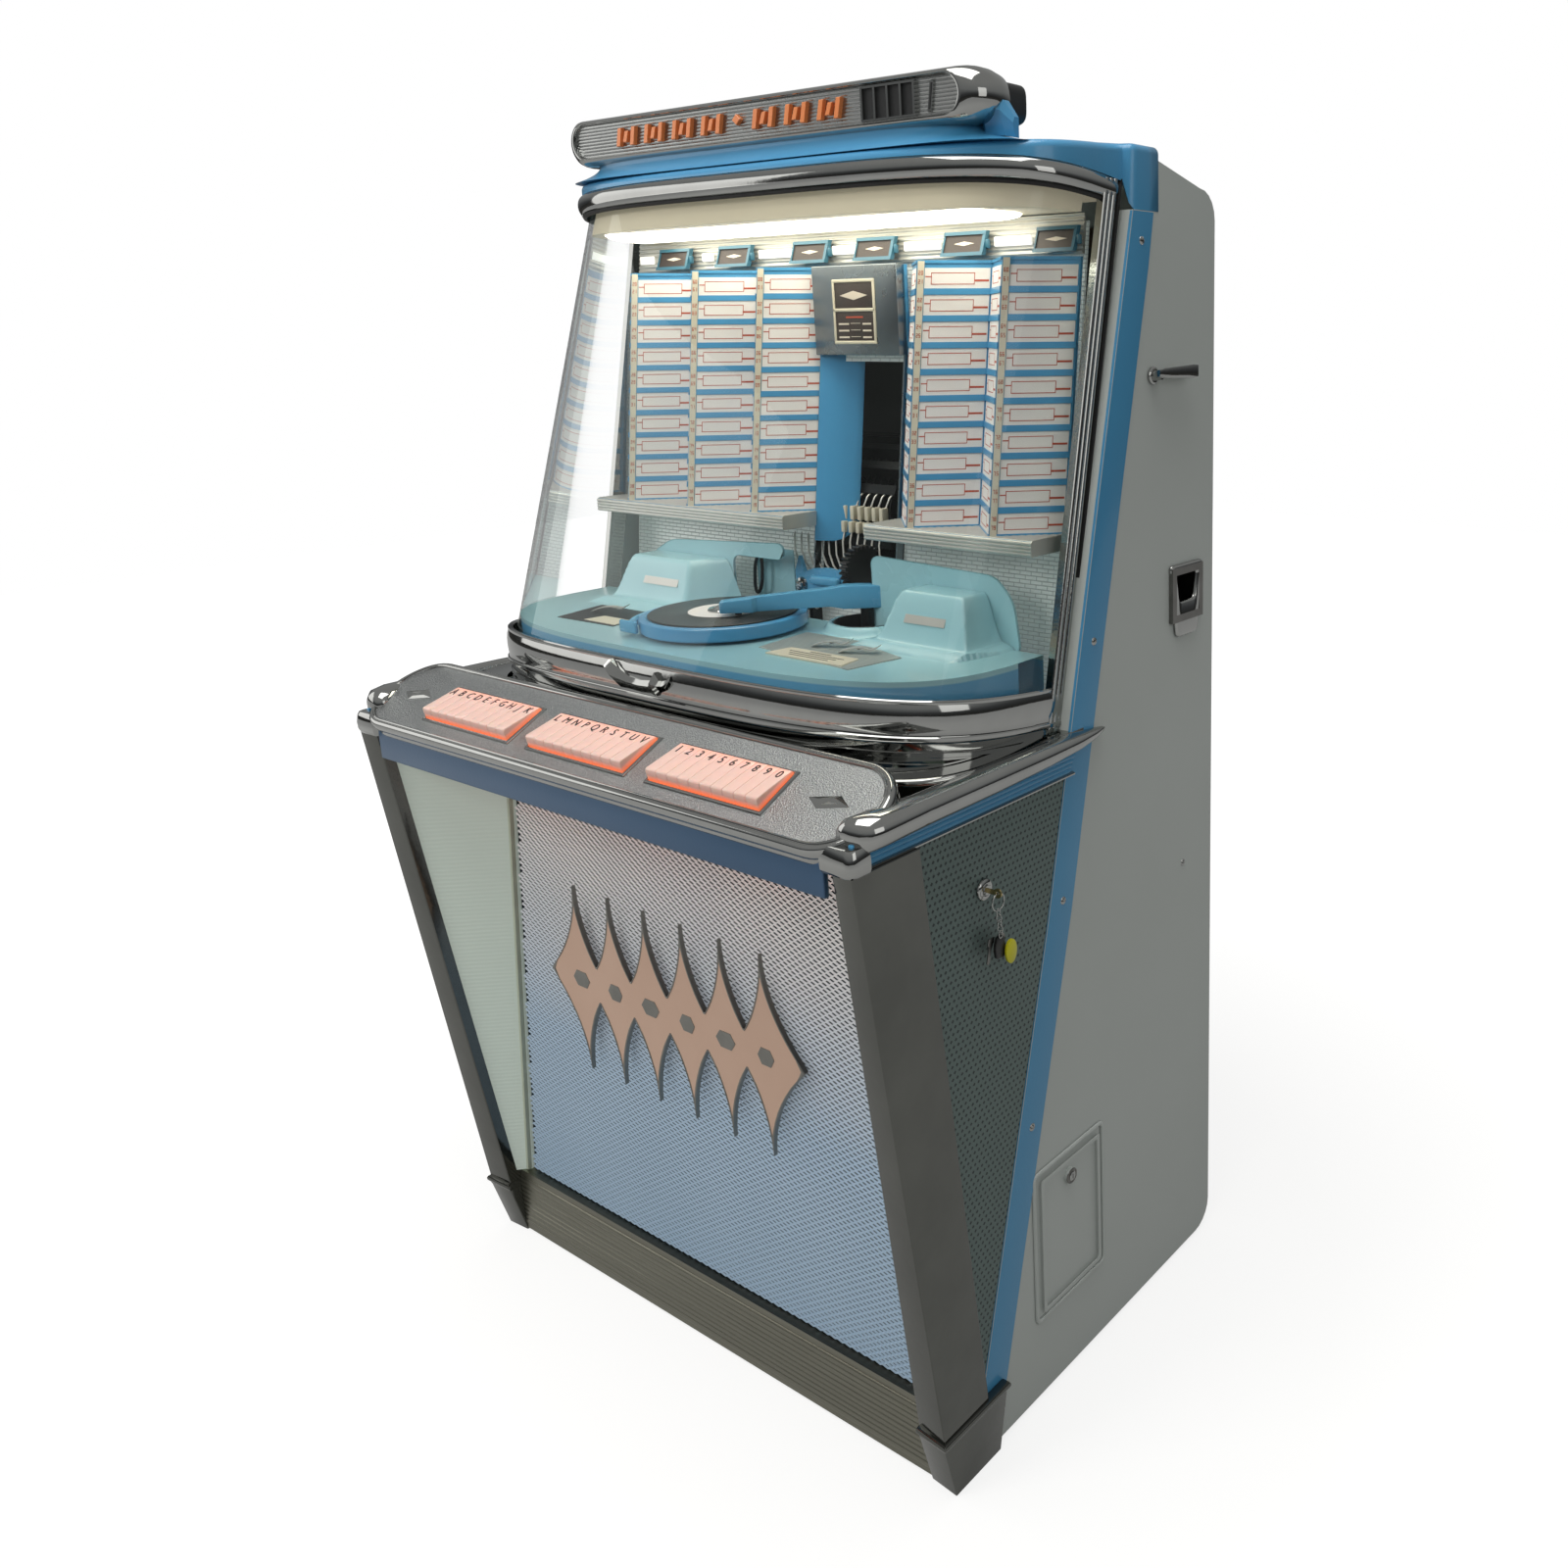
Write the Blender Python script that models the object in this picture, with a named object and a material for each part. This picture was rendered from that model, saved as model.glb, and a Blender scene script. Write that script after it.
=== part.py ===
"""Coin-operated record player in a floor-standing cabinet, as an assembly of separate pieces.

Metres, +Z up, front towards -Y, +X to the viewer's right.
The origin is on the floor, under the middle of the object's box.
"""
import math

import bmesh
import bpy
from mathutils import Matrix, Vector

# Fits shared by every piece
GAP = 0.0003
OVERRUN = 0.02
LAP = 0.001

# Cabinet of painted board
CABINET_WIDTH = 0.832
CABINET_WALL = 0.018
CABINET_BACK_Y = 0.330
CABINET_FLOOR_Z = 0.006
CABINET_CORNER = 0.034
CROWN_Y = 0.206
CROWN_Z = 1.4205
CROWN_FALL = 0.022
SEAM_Z = 1.3665
SEAM_FRONT_Y = 0.153
SEAM_REAR_Y = 0.195
KNEE_Y = -0.026
KNEE_Z = 0.604
FOOT_LINE_Y = -0.187
SHELF_Z = 0.800
SHELF_FRONT_Y = 0.045
TRIM_WIDTH = 0.044
TRIM_PROUD = 0.0015
GLIDE_SIDE = 0.05
GLIDE_REACH = 0.075

# Rear door, hinged at its left edge seen from the front
DOOR_THICK = 0.012
DOOR_FIT = 0.0008
VENT_COUNT = 7
VENT_WIDTH = 0.42
VENT_HEIGHT = 0.010
VENT_PITCH = 0.030
VENT_LOW_Z = 0.980
DOOR_LOCK_RADIUS = 0.011
DOOR_LOCK_Z = 0.700
DOOR_LOCK_INSET = 0.060
DOOR_LOCK_PROUD = 0.003

# Cash door low on the right wall
CASH_FRONT_Y = -0.061
CASH_REAR_Y = 0.067
CASH_LOW_Z = 0.112
CASH_HIGH_Z = 0.300
CASH_THICK = 0.010
CASH_FIT = 0.0008
CASH_LOCK_RADIUS = 0.009
CASH_LOCK_DROP = 0.030
CASH_LOCK_PROUD = 0.005
CASH_BOX_DEEP = 0.150
CASH_BOX_WALL = 0.002

# Lid: plan curve, bands, mouldings, glass
LID_SLOPE_SHARE = 0.11
LID_INSET = 0.013
BAND_THICK = 0.008
LOW_BAND_FRONT_Y = -0.218
LOW_BAND_Z = 0.843
LOW_BAND_HEIGHT = 0.044
TOP_BAND_FRONT_Y = -0.025
LID_SEAL = 0.002
TOP_BAND_Z = 1.395
TOP_BAND_HEIGHT = 0.023
LOW_CURVE_SHARE = 3.5
TOP_CURVE_SHARE = 4.0
CURVE_STEPS = 20
GLASS_THICK = 0.004
GLASS_LAP = 0.012
GLASS_EASE = 0.005
MOULD_WIDTH = 0.024
MOULD_THICK = 0.011
HANDLE_WIDTH = 0.105
HANDLE_HEIGHT = 0.024
HANDLE_PROUD = 0.013
HANDLE_DROP = 0.012
LID_OPEN_DEGREES = 38.0

# Roof cowl and the sign housing on it
COWL_WALL = 0.005
COWL_TOP_Z = 1.436
COWL_FRONT_Z = 1.4275
COWL_FRONT_INSET = 0.006
COWL_ROUND = 0.014
SIGN_HALF_LENGTH = 0.343
SIGN_FRONT_Y = -0.012
SIGN_DEPTH = 0.095
SIGN_HEIGHT = 0.056
SIGN_MID_Z = 1.473
SIGN_TAIL_SHARE = 0.72
SIGN_LIP = 0.006
SIGN_RECESS = 0.004
SIGN_BACK_DROP = 0.010
PEDESTAL_HALF = 0.315
PEDESTAL_FRONT_Y = -0.004
PEDESTAL_DEPTH = 0.085
COIN_SLOT_X = 0.275
COIN_SLOT_WIDTH = 0.0045
COIN_SLOT_HEIGHT = 0.030
COIN_SLOT_DEEP = 0.030
COIN_WINDOW_X = 0.222
COIN_WINDOW_WIDTH = 0.074
COIN_WINDOW_HEIGHT = 0.034
COIN_WINDOW_DEEP = 0.008
COIN_BARS = 4
COIN_BAR_WIDTH = 0.004

# Lamp tray under the cowl, inner backing panel and title boards
LAMP_INSET = 0.028
LAMP_FRONT_Y = 0.015
LAMP_REAR_Y = 0.145
LAMP_Z = 1.376
LAMP_THICK = 0.008
LAMP_TUBE_RADIUS = 0.011
LAMP_TUBE_HALF = 0.300
LAMP_TUBE_Y = 0.070
PANEL_INSET = 0.024
PANEL_LOW_Y = 0.051
PANEL_NOTCH_Z = 0.872
PANEL_TOP_Y = 0.123
PANEL_TOP_Z = 1.355
PANEL_THICK = 0.004
WINDOW_LOW_Z = 0.945
WINDOW_TOP_Z = 1.205
BOARD_TOP_Z = 1.318
BOARD_LOW_Z = 1.020
BOARD_TOOTH = 0.1225
BOARD_DEPTH = 0.058
LEFT_TEETH = 3
RIGHT_TEETH = 2
BOARD_THICK = 0.004
BOARD_ROWS = 10
BOARD_INSET = 0.002
BOARD_BACK_GAP = 0.002
RAIL_HEIGHT = 0.016
CARD_HALF = 0.057
CARD_HEIGHT = 0.104
CARD_THICK = 0.016

# Mechanism tray, turntable, arms and record magazine
TRAY_Z = 0.878
TRAY_THICK = 0.003
TRAY_RISE = 0.014
TRAY_MARGIN = 0.006
TRAY_STEP_SIDE = 0.075
TRAY_STEP_FRONT = 0.045
HUMP_WIDTH = 0.100
HUMP_DEPTH = 0.060
HUMP_HEIGHT = 0.050
HUMP_SLANT = 0.016
WELL_RADIUS = 0.030
WELL_LIP = 0.006
TABLE_X = -0.025
TABLE_Y = -0.075
TABLE_RADIUS = 0.098
TABLE_HEIGHT = 0.018
TABLE_LIFT = 0.010
RECORD_RADIUS = 0.0875
RECORD_THICK = 0.002
SPINDLE_RADIUS = 0.006
HUB_RADIUS = 0.019
HUB_HEIGHT = 0.006
SHAFT_RADIUS = 0.008
BOW_CLEAR = 0.003
BOW_WIDTH = 0.010
BOW_HEIGHT = 0.010
BOW_LIFT = 0.006
BOW_AXLE_Y = 0.046
BOW_AXLE_HALF = 0.030
BOW_AXLE_RADIUS = 0.006
BOW_BLOCK = 0.030
ARM_PIVOT_X = 0.122
ARM_PIVOT_Y = 0.017
ARM_WIDTH = 0.018
ARM_HEIGHT = 0.016
ARM_HEAD = 0.030
ARM_RISE = 0.046
ARM_POST_RADIUS = 0.008
MAGAZINE_X = 0.010
MAGAZINE_Y = 0.201
MAGAZINE_Z = 1.000
MAGAZINE_RADIUS = 0.110
MAGAZINE_CORE = 0.045
MAGAZINE_HALF = 0.085
MAGAZINE_TEETH = 20
TOOTH_SHARE = 0.35
YOKE_THICK = 0.006
YOKE_GAP = 0.004
YOKE_HALF_DEPTH = 0.030
BASE_HALF = 0.155
BASE_THICK = 0.006
BASE_DROP = 0.008
ARM_CLEAR = 0.003
BOW_STEPS = 18
BOW_START = 90.0
BOW_END = 240.0

# Console: frame, grained panel, key banks
CONSOLE_TILT = 28.0
CONSOLE_FRONT_Y = -0.307
CONSOLE_FRONT_Z = 0.797
STADIUM_RADIUS = 0.050
STADIUM_MID = 0.031
PLATE_THICK = 0.003
RIM_WIDTH = 0.009
RIM_PROUD = 0.002
NOSE_DEEP = 0.024
FASCIA_LOW_Z = 0.735
FASCIA_Y = -0.319
FASCIA_INSET = 0.040
BODY_PROUD = 0.002
LEDGE_TOP_Z = 0.812
LEDGE_THICK = 0.006
GROOVE_IN = 0.004
BODY_WALL = 0.006
WING_OUT = 0.006
WING_Z = 0.801
WING_RADIUS = 0.017
WING_TUCK_SHARE = 0.1
WING_FRONT_Y = -0.295
WING_TIP_Y = 0.081
WING_TRIM_LOW_Z = 0.766
WING_TRIM_PROUD = 0.012
KEY_PITCH = 0.01676
KEYS_PER_BANK = 10
BANK_GAP = 0.041
KEY_LENGTH = 0.052
KEY_FRONT_RISE = 0.015
KEY_REAR_RISE = 0.006
KEY_DEEP = 0.016
KEY_SIDE_GAP = 0.0007
KEY_SLOT_GAP = 0.0004
KEY_TRAVEL = 0.005

# Front: pillars with feet, grille, badge, kick rail, side boxes, baffle
PILLAR_OUT = 0.010
PILLAR_TOP_Y = -0.322
PILLAR_TOP_Z = 0.764
PILLAR_FOOT_Y = -0.239
PILLAR_FOOT_Z = 0.085
PILLAR_FRONT_TOP = 0.030
PILLAR_FRONT_FOOT = 0.041
PILLAR_SIDE_TOP = 0.090
PILLAR_SIDE_FOOT = 0.074
COLLAR_HEIGHT = 0.012
COLLAR_PROUD = 0.004
COLLAR_REAR_Y = -0.130
FOOT_BASE_FRONT_Y = -0.221
FOOT_BASE_REAR_Y = -0.145
FOOT_BASE_IN = 0.003
GRILLE_Y = -0.208
GRILLE_THICK = 0.003
GRILLE_LOW_HALF = 0.370
GRILLE_TOP_HALF = 0.292
GRILLE_LOW_Z = 0.101
GRILLE_TOP_Z = 0.730
SHEET = 0.003
SIDE_PANEL_BACK = 0.018
KICK_Y = -0.219
KICK_THICK = 0.014
KICK_LOW_Z = 0.004
KICK_TOP_Z = 0.100
BADGE_HALF = 0.232
BADGE_MID_Z = 0.456
BADGE_SPIKE = 0.126
BADGE_VALLEY = 0.025
BADGE_SPIKES = 6
BADGE_WAIST_SHARE = 0.24
BADGE_WAIST = 0.045
BADGE_THICK = 0.007
BADGE_STAND_OFF = 0.010
BADGE_PIN_RADIUS = 0.004
BAFFLE_GAP = 0.018
BAFFLE_THICK = 0.012
WOOFER_X = 0.0
WOOFER_Z = 0.300
WOOFER_RADIUS = 0.125
TWEETER_X = 0.215
TWEETER_Z = 0.600
TWEETER_RADIUS = 0.060
CONE_DEPTH = 0.050
MAGNET_SHARE = 0.45

# Lock with its key, coin return, coin works, amplifier
LOCK_Y = -0.132
LOCK_Z = 0.683
LOCK_RADIUS = 0.009
LOCK_PROUD = 0.004
LOCK_BODY = 0.020
KEY_BLADE = 0.004
KEY_BOW = 0.0173
KEY_BOW_THICK = 0.0022
LEVER_Y = 0.191
LEVER_Z = 1.190
LEVER_LENGTH = 0.070
LEVER_HEIGHT = 0.012
LEVER_THICK = 0.010
LEVER_SHAFT_RADIUS = 0.006
LEVER_OPEN_DEGREES = 25.0
CUP_FRONT_Y = 0.227
CUP_REAR_Y = 0.297
CUP_LOW_Z = 0.895
CUP_TOP_Z = 0.962
CUP_LIP = 0.006
CUP_DEPTH = 0.046
CUP_WALL = 0.003
CHUTE_SIDE = 0.030
COIN_TOP_Z = 1.330
COIN_BODY_LOW_Z = 1.000
COIN_BODY_HIGH_Z = 1.150
COIN_BODY_DEPTH = 0.090
COIN_BODY_WIDTH = 0.060
AMP_X = -0.060
AMP_Y = 0.115
AMP_WIDTH = 0.420
AMP_DEPTH = 0.200
AMP_HEIGHT = 0.060
VALVE_RADIUS = 0.014
VALVE_HEIGHT = 0.070
VALVES = 4
TRANSFORMER = 0.075

for item in list(bpy.data.objects):
    bpy.data.objects.remove(item, do_unlink=True)


def paint(name, red, green, blue, roughness, metallic):
    """A plain surface of one colour."""
    surface = bpy.data.materials.new(name)
    surface.use_nodes = True
    shader = surface.node_tree.nodes["Principled BSDF"]
    shader.inputs["Base Color"].default_value = (red, green, blue, 1)
    shader.inputs["Roughness"].default_value = roughness
    shader.inputs["Metallic"].default_value = metallic
    return surface


WHITE = paint("white_paint", 0.78, 0.80, 0.76, 0.45, 0)
BLUE = paint("blue_paint", 0.07, 0.29, 0.47, 0.35, 0)
AQUA = paint("aqua_paint", 0.36, 0.63, 0.68, 0.4, 0)
CHROME = paint("chrome_plate", 0.75, 0.75, 0.74, 0.12, 1)
ALUMINIUM = paint("aluminium", 0.62, 0.62, 0.60, 0.35, 1)
GLASS = paint("clear_glass", 0.85, 0.9, 0.9, 0.05, 0)
SALMON = paint("salmon_plastic", 0.85, 0.42, 0.28, 0.35, 0)
BEIGE = paint("beige_enamel", 0.68, 0.47, 0.37, 0.4, 0)
BLACK = paint("black_plastic", 0.02, 0.02, 0.02, 0.4, 0)
STEEL = paint("plated_steel", 0.5, 0.5, 0.48, 0.35, 1)
BOARD = paint("fibreboard", 0.16, 0.10, 0.06, 0.8, 0)


def outward(mesh):
    bmesh.ops.recalc_face_normals(mesh, faces=mesh.faces)
    return mesh


def loft(rings):
    """A closed body through rings of equal count, with a flat cap at each end."""
    mesh = bmesh.new()
    rows = [[mesh.verts.new(point) for point in ring] for ring in rings]
    count = len(rows[0])
    for low, high in zip(rows, rows[1:]):
        for index in range(count):
            after = (index + 1) % count
            mesh.faces.new((low[index], low[after], high[after], high[index]))
    mesh.faces.new(list(reversed(rows[0])))
    mesh.faces.new(rows[-1])
    return outward(mesh)


def box(low, high):
    """A box between two corners."""
    corners = [(low[0], low[1]), (high[0], low[1]), (high[0], high[1]), (low[0], high[1])]
    return loft([[(x, y, z) for x, y in corners] for z in (low[2], high[2])])


def prism(axis, outline, low, high):
    """An outline pushed along an axis: the outline's pairs are the other two axes in order."""
    def place(pair, level):
        values = list(pair)
        values.insert(axis, level)
        return tuple(values)
    return loft([[place(pair, level) for pair in outline] for level in (low, high)])


def rod(start, end, radius, sides=16, end_radius=None):
    """A round bar or cone between two points."""
    start, end = Vector(start), Vector(end)
    along = end - start
    turn = along.to_track_quat("Z", "Y").to_matrix().to_4x4()
    mesh = bmesh.new()
    bmesh.ops.create_cone(
        mesh, cap_ends=True, segments=sides, radius1=radius,
        radius2=radius if end_radius is None else end_radius, depth=along.length,
        matrix=Matrix.Translation((start + end) / 2) @ turn)
    return outward(mesh)


def make_object(name, mesh, surface):
    data = bpy.data.meshes.new(name)
    mesh.to_mesh(data)
    mesh.free()
    data.materials.append(surface)
    thing = bpy.data.objects.new(name, data)
    bpy.context.scene.collection.objects.link(thing)
    return thing


def piece(name, surface, base, joined=(), cut=(), sharp=35):
    """One solid: a base body, bodies joined to it, then bodies cut from it, in that order."""
    thing = make_object(name, base, surface)
    tools = []
    for operation, meshes in (("UNION", joined), ("DIFFERENCE", cut)):
        for mesh in meshes:
            tool = make_object(name + "_tool", mesh, surface)
            tool.hide_render = True
            tool.display_type = "WIRE"
            step = thing.modifiers.new(operation, "BOOLEAN")
            step.operation = operation
            step.solver = "EXACT"
            step.object = tool
            tools.append(tool)
    if tools:
        bpy.context.view_layer.update()
        shape = thing.evaluated_get(bpy.context.evaluated_depsgraph_get())
        solid = bpy.data.meshes.new_from_object(shape)
        thing.modifiers.clear()
        old = thing.data
        thing.data = solid
        bpy.data.meshes.remove(old)
        for tool in tools:
            data = tool.data
            bpy.data.objects.remove(tool, do_unlink=True)
            bpy.data.meshes.remove(data)
        solid.name = name
    thing.data.shade_smooth()
    thing.data.set_sharp_from_angle(angle=math.radians(sharp))
    return thing


def arc(middle, radius, start, end, steps):
    """Points on an arc, angles in degrees."""
    turns = [math.radians(start + (end - start) * step / steps) for step in range(steps + 1)]
    return [(middle[0] + radius * math.cos(turn), middle[1] + radius * math.sin(turn)) for turn in turns]


def front_line(z):
    """The cabinet's front edge: it leans back, with a slight knee."""
    if z < KNEE_Z:
        share = (z - CABINET_FLOOR_Z) / (KNEE_Z - CABINET_FLOOR_Z)
        return FOOT_LINE_Y + (KNEE_Y - FOOT_LINE_Y) * share
    return KNEE_Y + (SEAM_FRONT_Y - KNEE_Y) * (z - KNEE_Z) / (SEAM_Z - KNEE_Z)


HALF = CABINET_WIDTH / 2
SIDE_FACE_X = HALF - GAP
INSIDE = HALF - CABINET_WALL
LID_HALF_WIDTH = HALF - LID_INSET
LAMP_HALF = LID_HALF_WIDTH - LAMP_INSET
PANEL_HALF = LID_HALF_WIDTH - PANEL_INSET
BOARD_HALF = PANEL_HALF - BOARD_INSET
STADIUM_HALF = HALF
BODY_HALF = HALF + BODY_PROUD
WING_X = BODY_HALF + WING_OUT
PILLAR_X = HALF + PILLAR_OUT
FASCIA_HALF = PILLAR_X - FASCIA_INSET
FLOOR_TOP_Z = CABINET_FLOOR_Z + CABINET_WALL
REAR_TOP_Z = CROWN_Z - CROWN_FALL
DOOR_HEAD_Z = REAR_TOP_Z - CABINET_CORNER
CHUTE_X = INSIDE - CHUTE_SIDE
CHUTE_Y = CUP_FRONT_Y - CHUTE_SIDE


def side_outline():
    """The cabinet's outline seen from the side, with its two rear corners rounded."""
    middle_y = CABINET_BACK_Y - CABINET_CORNER
    rear = arc((middle_y, CABINET_FLOOR_Z + CABINET_CORNER), CABINET_CORNER, -90, 0, 5)
    top = arc((middle_y, DOOR_HEAD_Z), CABINET_CORNER, 0, 90, 5)
    front = [(SEAM_REAR_Y, SEAM_Z), (SEAM_FRONT_Y, SEAM_Z), (KNEE_Y, KNEE_Z),
             (front_line(CABINET_FLOOR_Z), CABINET_FLOOR_Z)]
    return rear + top + [(CROWN_Y, CROWN_Z)] + front


def cabinet():
    """Side walls, floor, top board, shelf, trim strips and rear glides, glued as one carcass."""
    far = CABINET_BACK_Y + OVERRUN
    hollow = [(-far, FLOOR_TOP_Z), (far, FLOOR_TOP_Z), (far, DOOR_HEAD_Z),
              (CABINET_BACK_Y - CABINET_CORNER, DOOR_HEAD_Z), (CROWN_Y, CROWN_Z - CABINET_WALL),
              (SEAM_REAR_Y - LAP, CROWN_Z), (-far, CROWN_Z)]
    shelf = box((-INSIDE - LAP, SHELF_FRONT_Y, SHELF_Z - CABINET_WALL),
                (INSIDE + LAP, CABINET_BACK_Y - DOOR_THICK - CABINET_WALL, SHELF_Z))
    strip = [(front_line(z), z) for z in (CABINET_FLOOR_Z, KNEE_Z, SEAM_Z)]
    strip += [(y + TRIM_WIDTH, z) for y, z in reversed(strip)]
    strip[3] = (SEAM_REAR_Y, SEAM_Z)
    strips = [prism(0, strip, side * (HALF - LAP), side * (HALF + TRIM_PROUD)) for side in (-1, 1)]
    glide_y = CABINET_BACK_Y - CABINET_CORNER
    glides = [box((min(side * (INSIDE - GLIDE_SIDE), side * INSIDE), glide_y - GLIDE_SIDE, 0),
                  (max(side * (INSIDE - GLIDE_SIDE), side * INSIDE), glide_y, FLOOR_TOP_Z - LAP))
              for side in (-1, 1)]
    cash_hole = box((INSIDE - OVERRUN, CASH_FRONT_Y, CASH_LOW_Z), (HALF + OVERRUN, CASH_REAR_Y, CASH_HIGH_Z))
    cup_hole = box((INSIDE - OVERRUN, CUP_FRONT_Y + CUP_LIP - GAP, CUP_LOW_Z + CUP_LIP - GAP),
                   (HALF + OVERRUN, CUP_REAR_Y - CUP_LIP + GAP, CUP_TOP_Z - CUP_LIP + GAP))
    lever_hole = rod((INSIDE - OVERRUN, LEVER_Y, LEVER_Z), (HALF + OVERRUN, LEVER_Y, LEVER_Z),
                     LEVER_SHAFT_RADIUS + GAP, 12)
    chute_hole = box((CHUTE_X - CHUTE_SIDE / 2 - GAP, CHUTE_Y - GAP, SHELF_Z - CABINET_WALL - OVERRUN),
                     (INSIDE, CHUTE_Y + CHUTE_SIDE + GAP, SHELF_Z + OVERRUN))
    piece("cabinet_shell", WHITE, prism(0, side_outline(), -HALF, HALF),
          cut=[prism(0, hollow, -INSIDE, INSIDE)])
    shell = bpy.data.objects["cabinet_shell"]
    body = bmesh.new()
    body.from_mesh(shell.data)
    bpy.data.objects.remove(shell, do_unlink=True)
    piece("cabinet_shell", WHITE, body, [shelf] + strips + glides,
          [cash_hole, cup_hole, lever_hole, chute_hole])


def rear_door():
    """A board door with a row of vent slots and a cam lock, inset between the side walls."""
    left, right = -INSIDE + DOOR_FIT, INSIDE - DOOR_FIT
    inner = CABINET_BACK_Y - DOOR_THICK
    low, high = FLOOR_TOP_Z + DOOR_FIT, DOOR_HEAD_Z - DOOR_FIT
    slots = []
    for row in range(VENT_COUNT):
        z = VENT_LOW_Z + row * VENT_PITCH
        slots.append(box((-VENT_WIDTH / 2, inner - OVERRUN, z),
                         (VENT_WIDTH / 2, CABINET_BACK_Y + OVERRUN, z + VENT_HEIGHT)))
    lock = rod((right - DOOR_LOCK_INSET, CABINET_BACK_Y - LAP, DOOR_LOCK_Z),
               (right - DOOR_LOCK_INSET, CABINET_BACK_Y + DOOR_LOCK_PROUD, DOOR_LOCK_Z),
               DOOR_LOCK_RADIUS)
    piece("rear_door", BOARD, box((left, inner, low), (right, CABINET_BACK_Y, high)), [lock], slots)


def cash_door():
    """A steel door hinged along its bottom edge, with a cam lock near its top."""
    low = (HALF - CASH_THICK, CASH_FRONT_Y + CASH_FIT, CASH_LOW_Z + CASH_FIT)
    high = (HALF, CASH_REAR_Y - CASH_FIT, CASH_HIGH_Z - CASH_FIT)
    middle = (CASH_FRONT_Y + CASH_REAR_Y) / 2
    lock_z = CASH_HIGH_Z - CASH_LOCK_DROP
    lock = rod((HALF - LAP, middle, lock_z), (HALF + CASH_LOCK_PROUD, middle, lock_z), CASH_LOCK_RADIUS)
    piece("cash_door", WHITE, box(low, high), [lock])


def coin_unit():
    """Coin mechanism, chutes, return cup through the side wall, and the cash box they fill."""
    body_x = INSIDE - GAP - COIN_BODY_WIDTH
    body = box((body_x, CHUTE_Y - CHUTE_SIDE, COIN_BODY_LOW_Z),
               (INSIDE - GAP, CHUTE_Y - CHUTE_SIDE + COIN_BODY_DEPTH, COIN_BODY_HIGH_Z))
    left, right = CHUTE_X - CHUTE_SIDE / 2, CHUTE_X + CHUTE_SIDE / 2
    box_top = CASH_HIGH_Z
    upper = box((left, CHUTE_Y, COIN_BODY_HIGH_Z - LAP), (right, CHUTE_Y + CHUTE_SIDE, COIN_TOP_Z))
    lower = box((left, CHUTE_Y, box_top), (right, CHUTE_Y + CHUTE_SIDE, COIN_BODY_LOW_Z + LAP))
    run = box((left, CASH_FRONT_Y + CHUTE_SIDE, box_top), (right, CHUTE_Y + LAP, box_top + CHUTE_SIDE))
    cup = box((INSIDE - CUP_DEPTH, CUP_FRONT_Y + CUP_LIP, CUP_LOW_Z + CUP_LIP),
              (HALF + TRIM_PROUD, CUP_REAR_Y - CUP_LIP, CUP_TOP_Z - CUP_LIP))
    lip = box((HALF + GAP, CUP_FRONT_Y, CUP_LOW_Z), (HALF + CUP_LIP, CUP_REAR_Y, CUP_TOP_Z))
    neck = box((INSIDE - CUP_DEPTH, CUP_FRONT_Y, CUP_TOP_Z - CUP_LIP - LAP),
               (INSIDE - GAP, CUP_REAR_Y - CUP_LIP, COIN_BODY_LOW_Z + LAP))
    hollow = box((INSIDE - CUP_DEPTH + CUP_WALL, CUP_FRONT_Y + CUP_LIP + CUP_WALL, CUP_LOW_Z + CUP_LIP + CUP_WALL),
                 (HALF + OVERRUN, CUP_REAR_Y - CUP_LIP - CUP_WALL, CUP_TOP_Z - CUP_LIP - CUP_WALL))
    inner_x = INSIDE - CASH_BOX_DEEP
    till = box((inner_x, CASH_FRONT_Y + CASH_FIT, CASH_LOW_Z), (INSIDE - GAP, CASH_REAR_Y - CASH_FIT, box_top + LAP))
    wall = CASH_BOX_WALL
    till_hollow = box((inner_x + wall, CASH_FRONT_Y + CASH_FIT + wall, CASH_LOW_Z + wall),
                      (HALF, CASH_REAR_Y - CASH_FIT - wall, box_top - wall))
    stand = box((inner_x, CASH_FRONT_Y + CASH_FIT, FLOOR_TOP_Z + GAP),
                (inner_x + CHUTE_SIDE, CASH_REAR_Y - CASH_FIT, CASH_LOW_Z + LAP))
    piece("coin_unit", STEEL, body, [upper, lower, run, cup, lip, neck, till, stand], [hollow, till_hollow])


def coin_return_lever():
    """A chrome wing lever on a shaft through the side wall."""
    outer = HALF + LEVER_HEIGHT
    wing = [(LEVER_Y - LEVER_HEIGHT, LEVER_Z - LEVER_HEIGHT / 2), (LEVER_Y + LEVER_LENGTH, LEVER_Z - LEVER_HEIGHT / 4),
            (LEVER_Y + LEVER_LENGTH, LEVER_Z + LEVER_HEIGHT / 4), (LEVER_Y - LEVER_HEIGHT, LEVER_Z + LEVER_HEIGHT)]
    shaft = rod((INSIDE - LEVER_HEIGHT, LEVER_Y, LEVER_Z), (outer + LAP, LEVER_Y, LEVER_Z), LEVER_SHAFT_RADIUS, 12)
    piece("coin_return_lever", CHROME, prism(0, wing, outer, outer + LEVER_THICK), [shaft])


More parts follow.
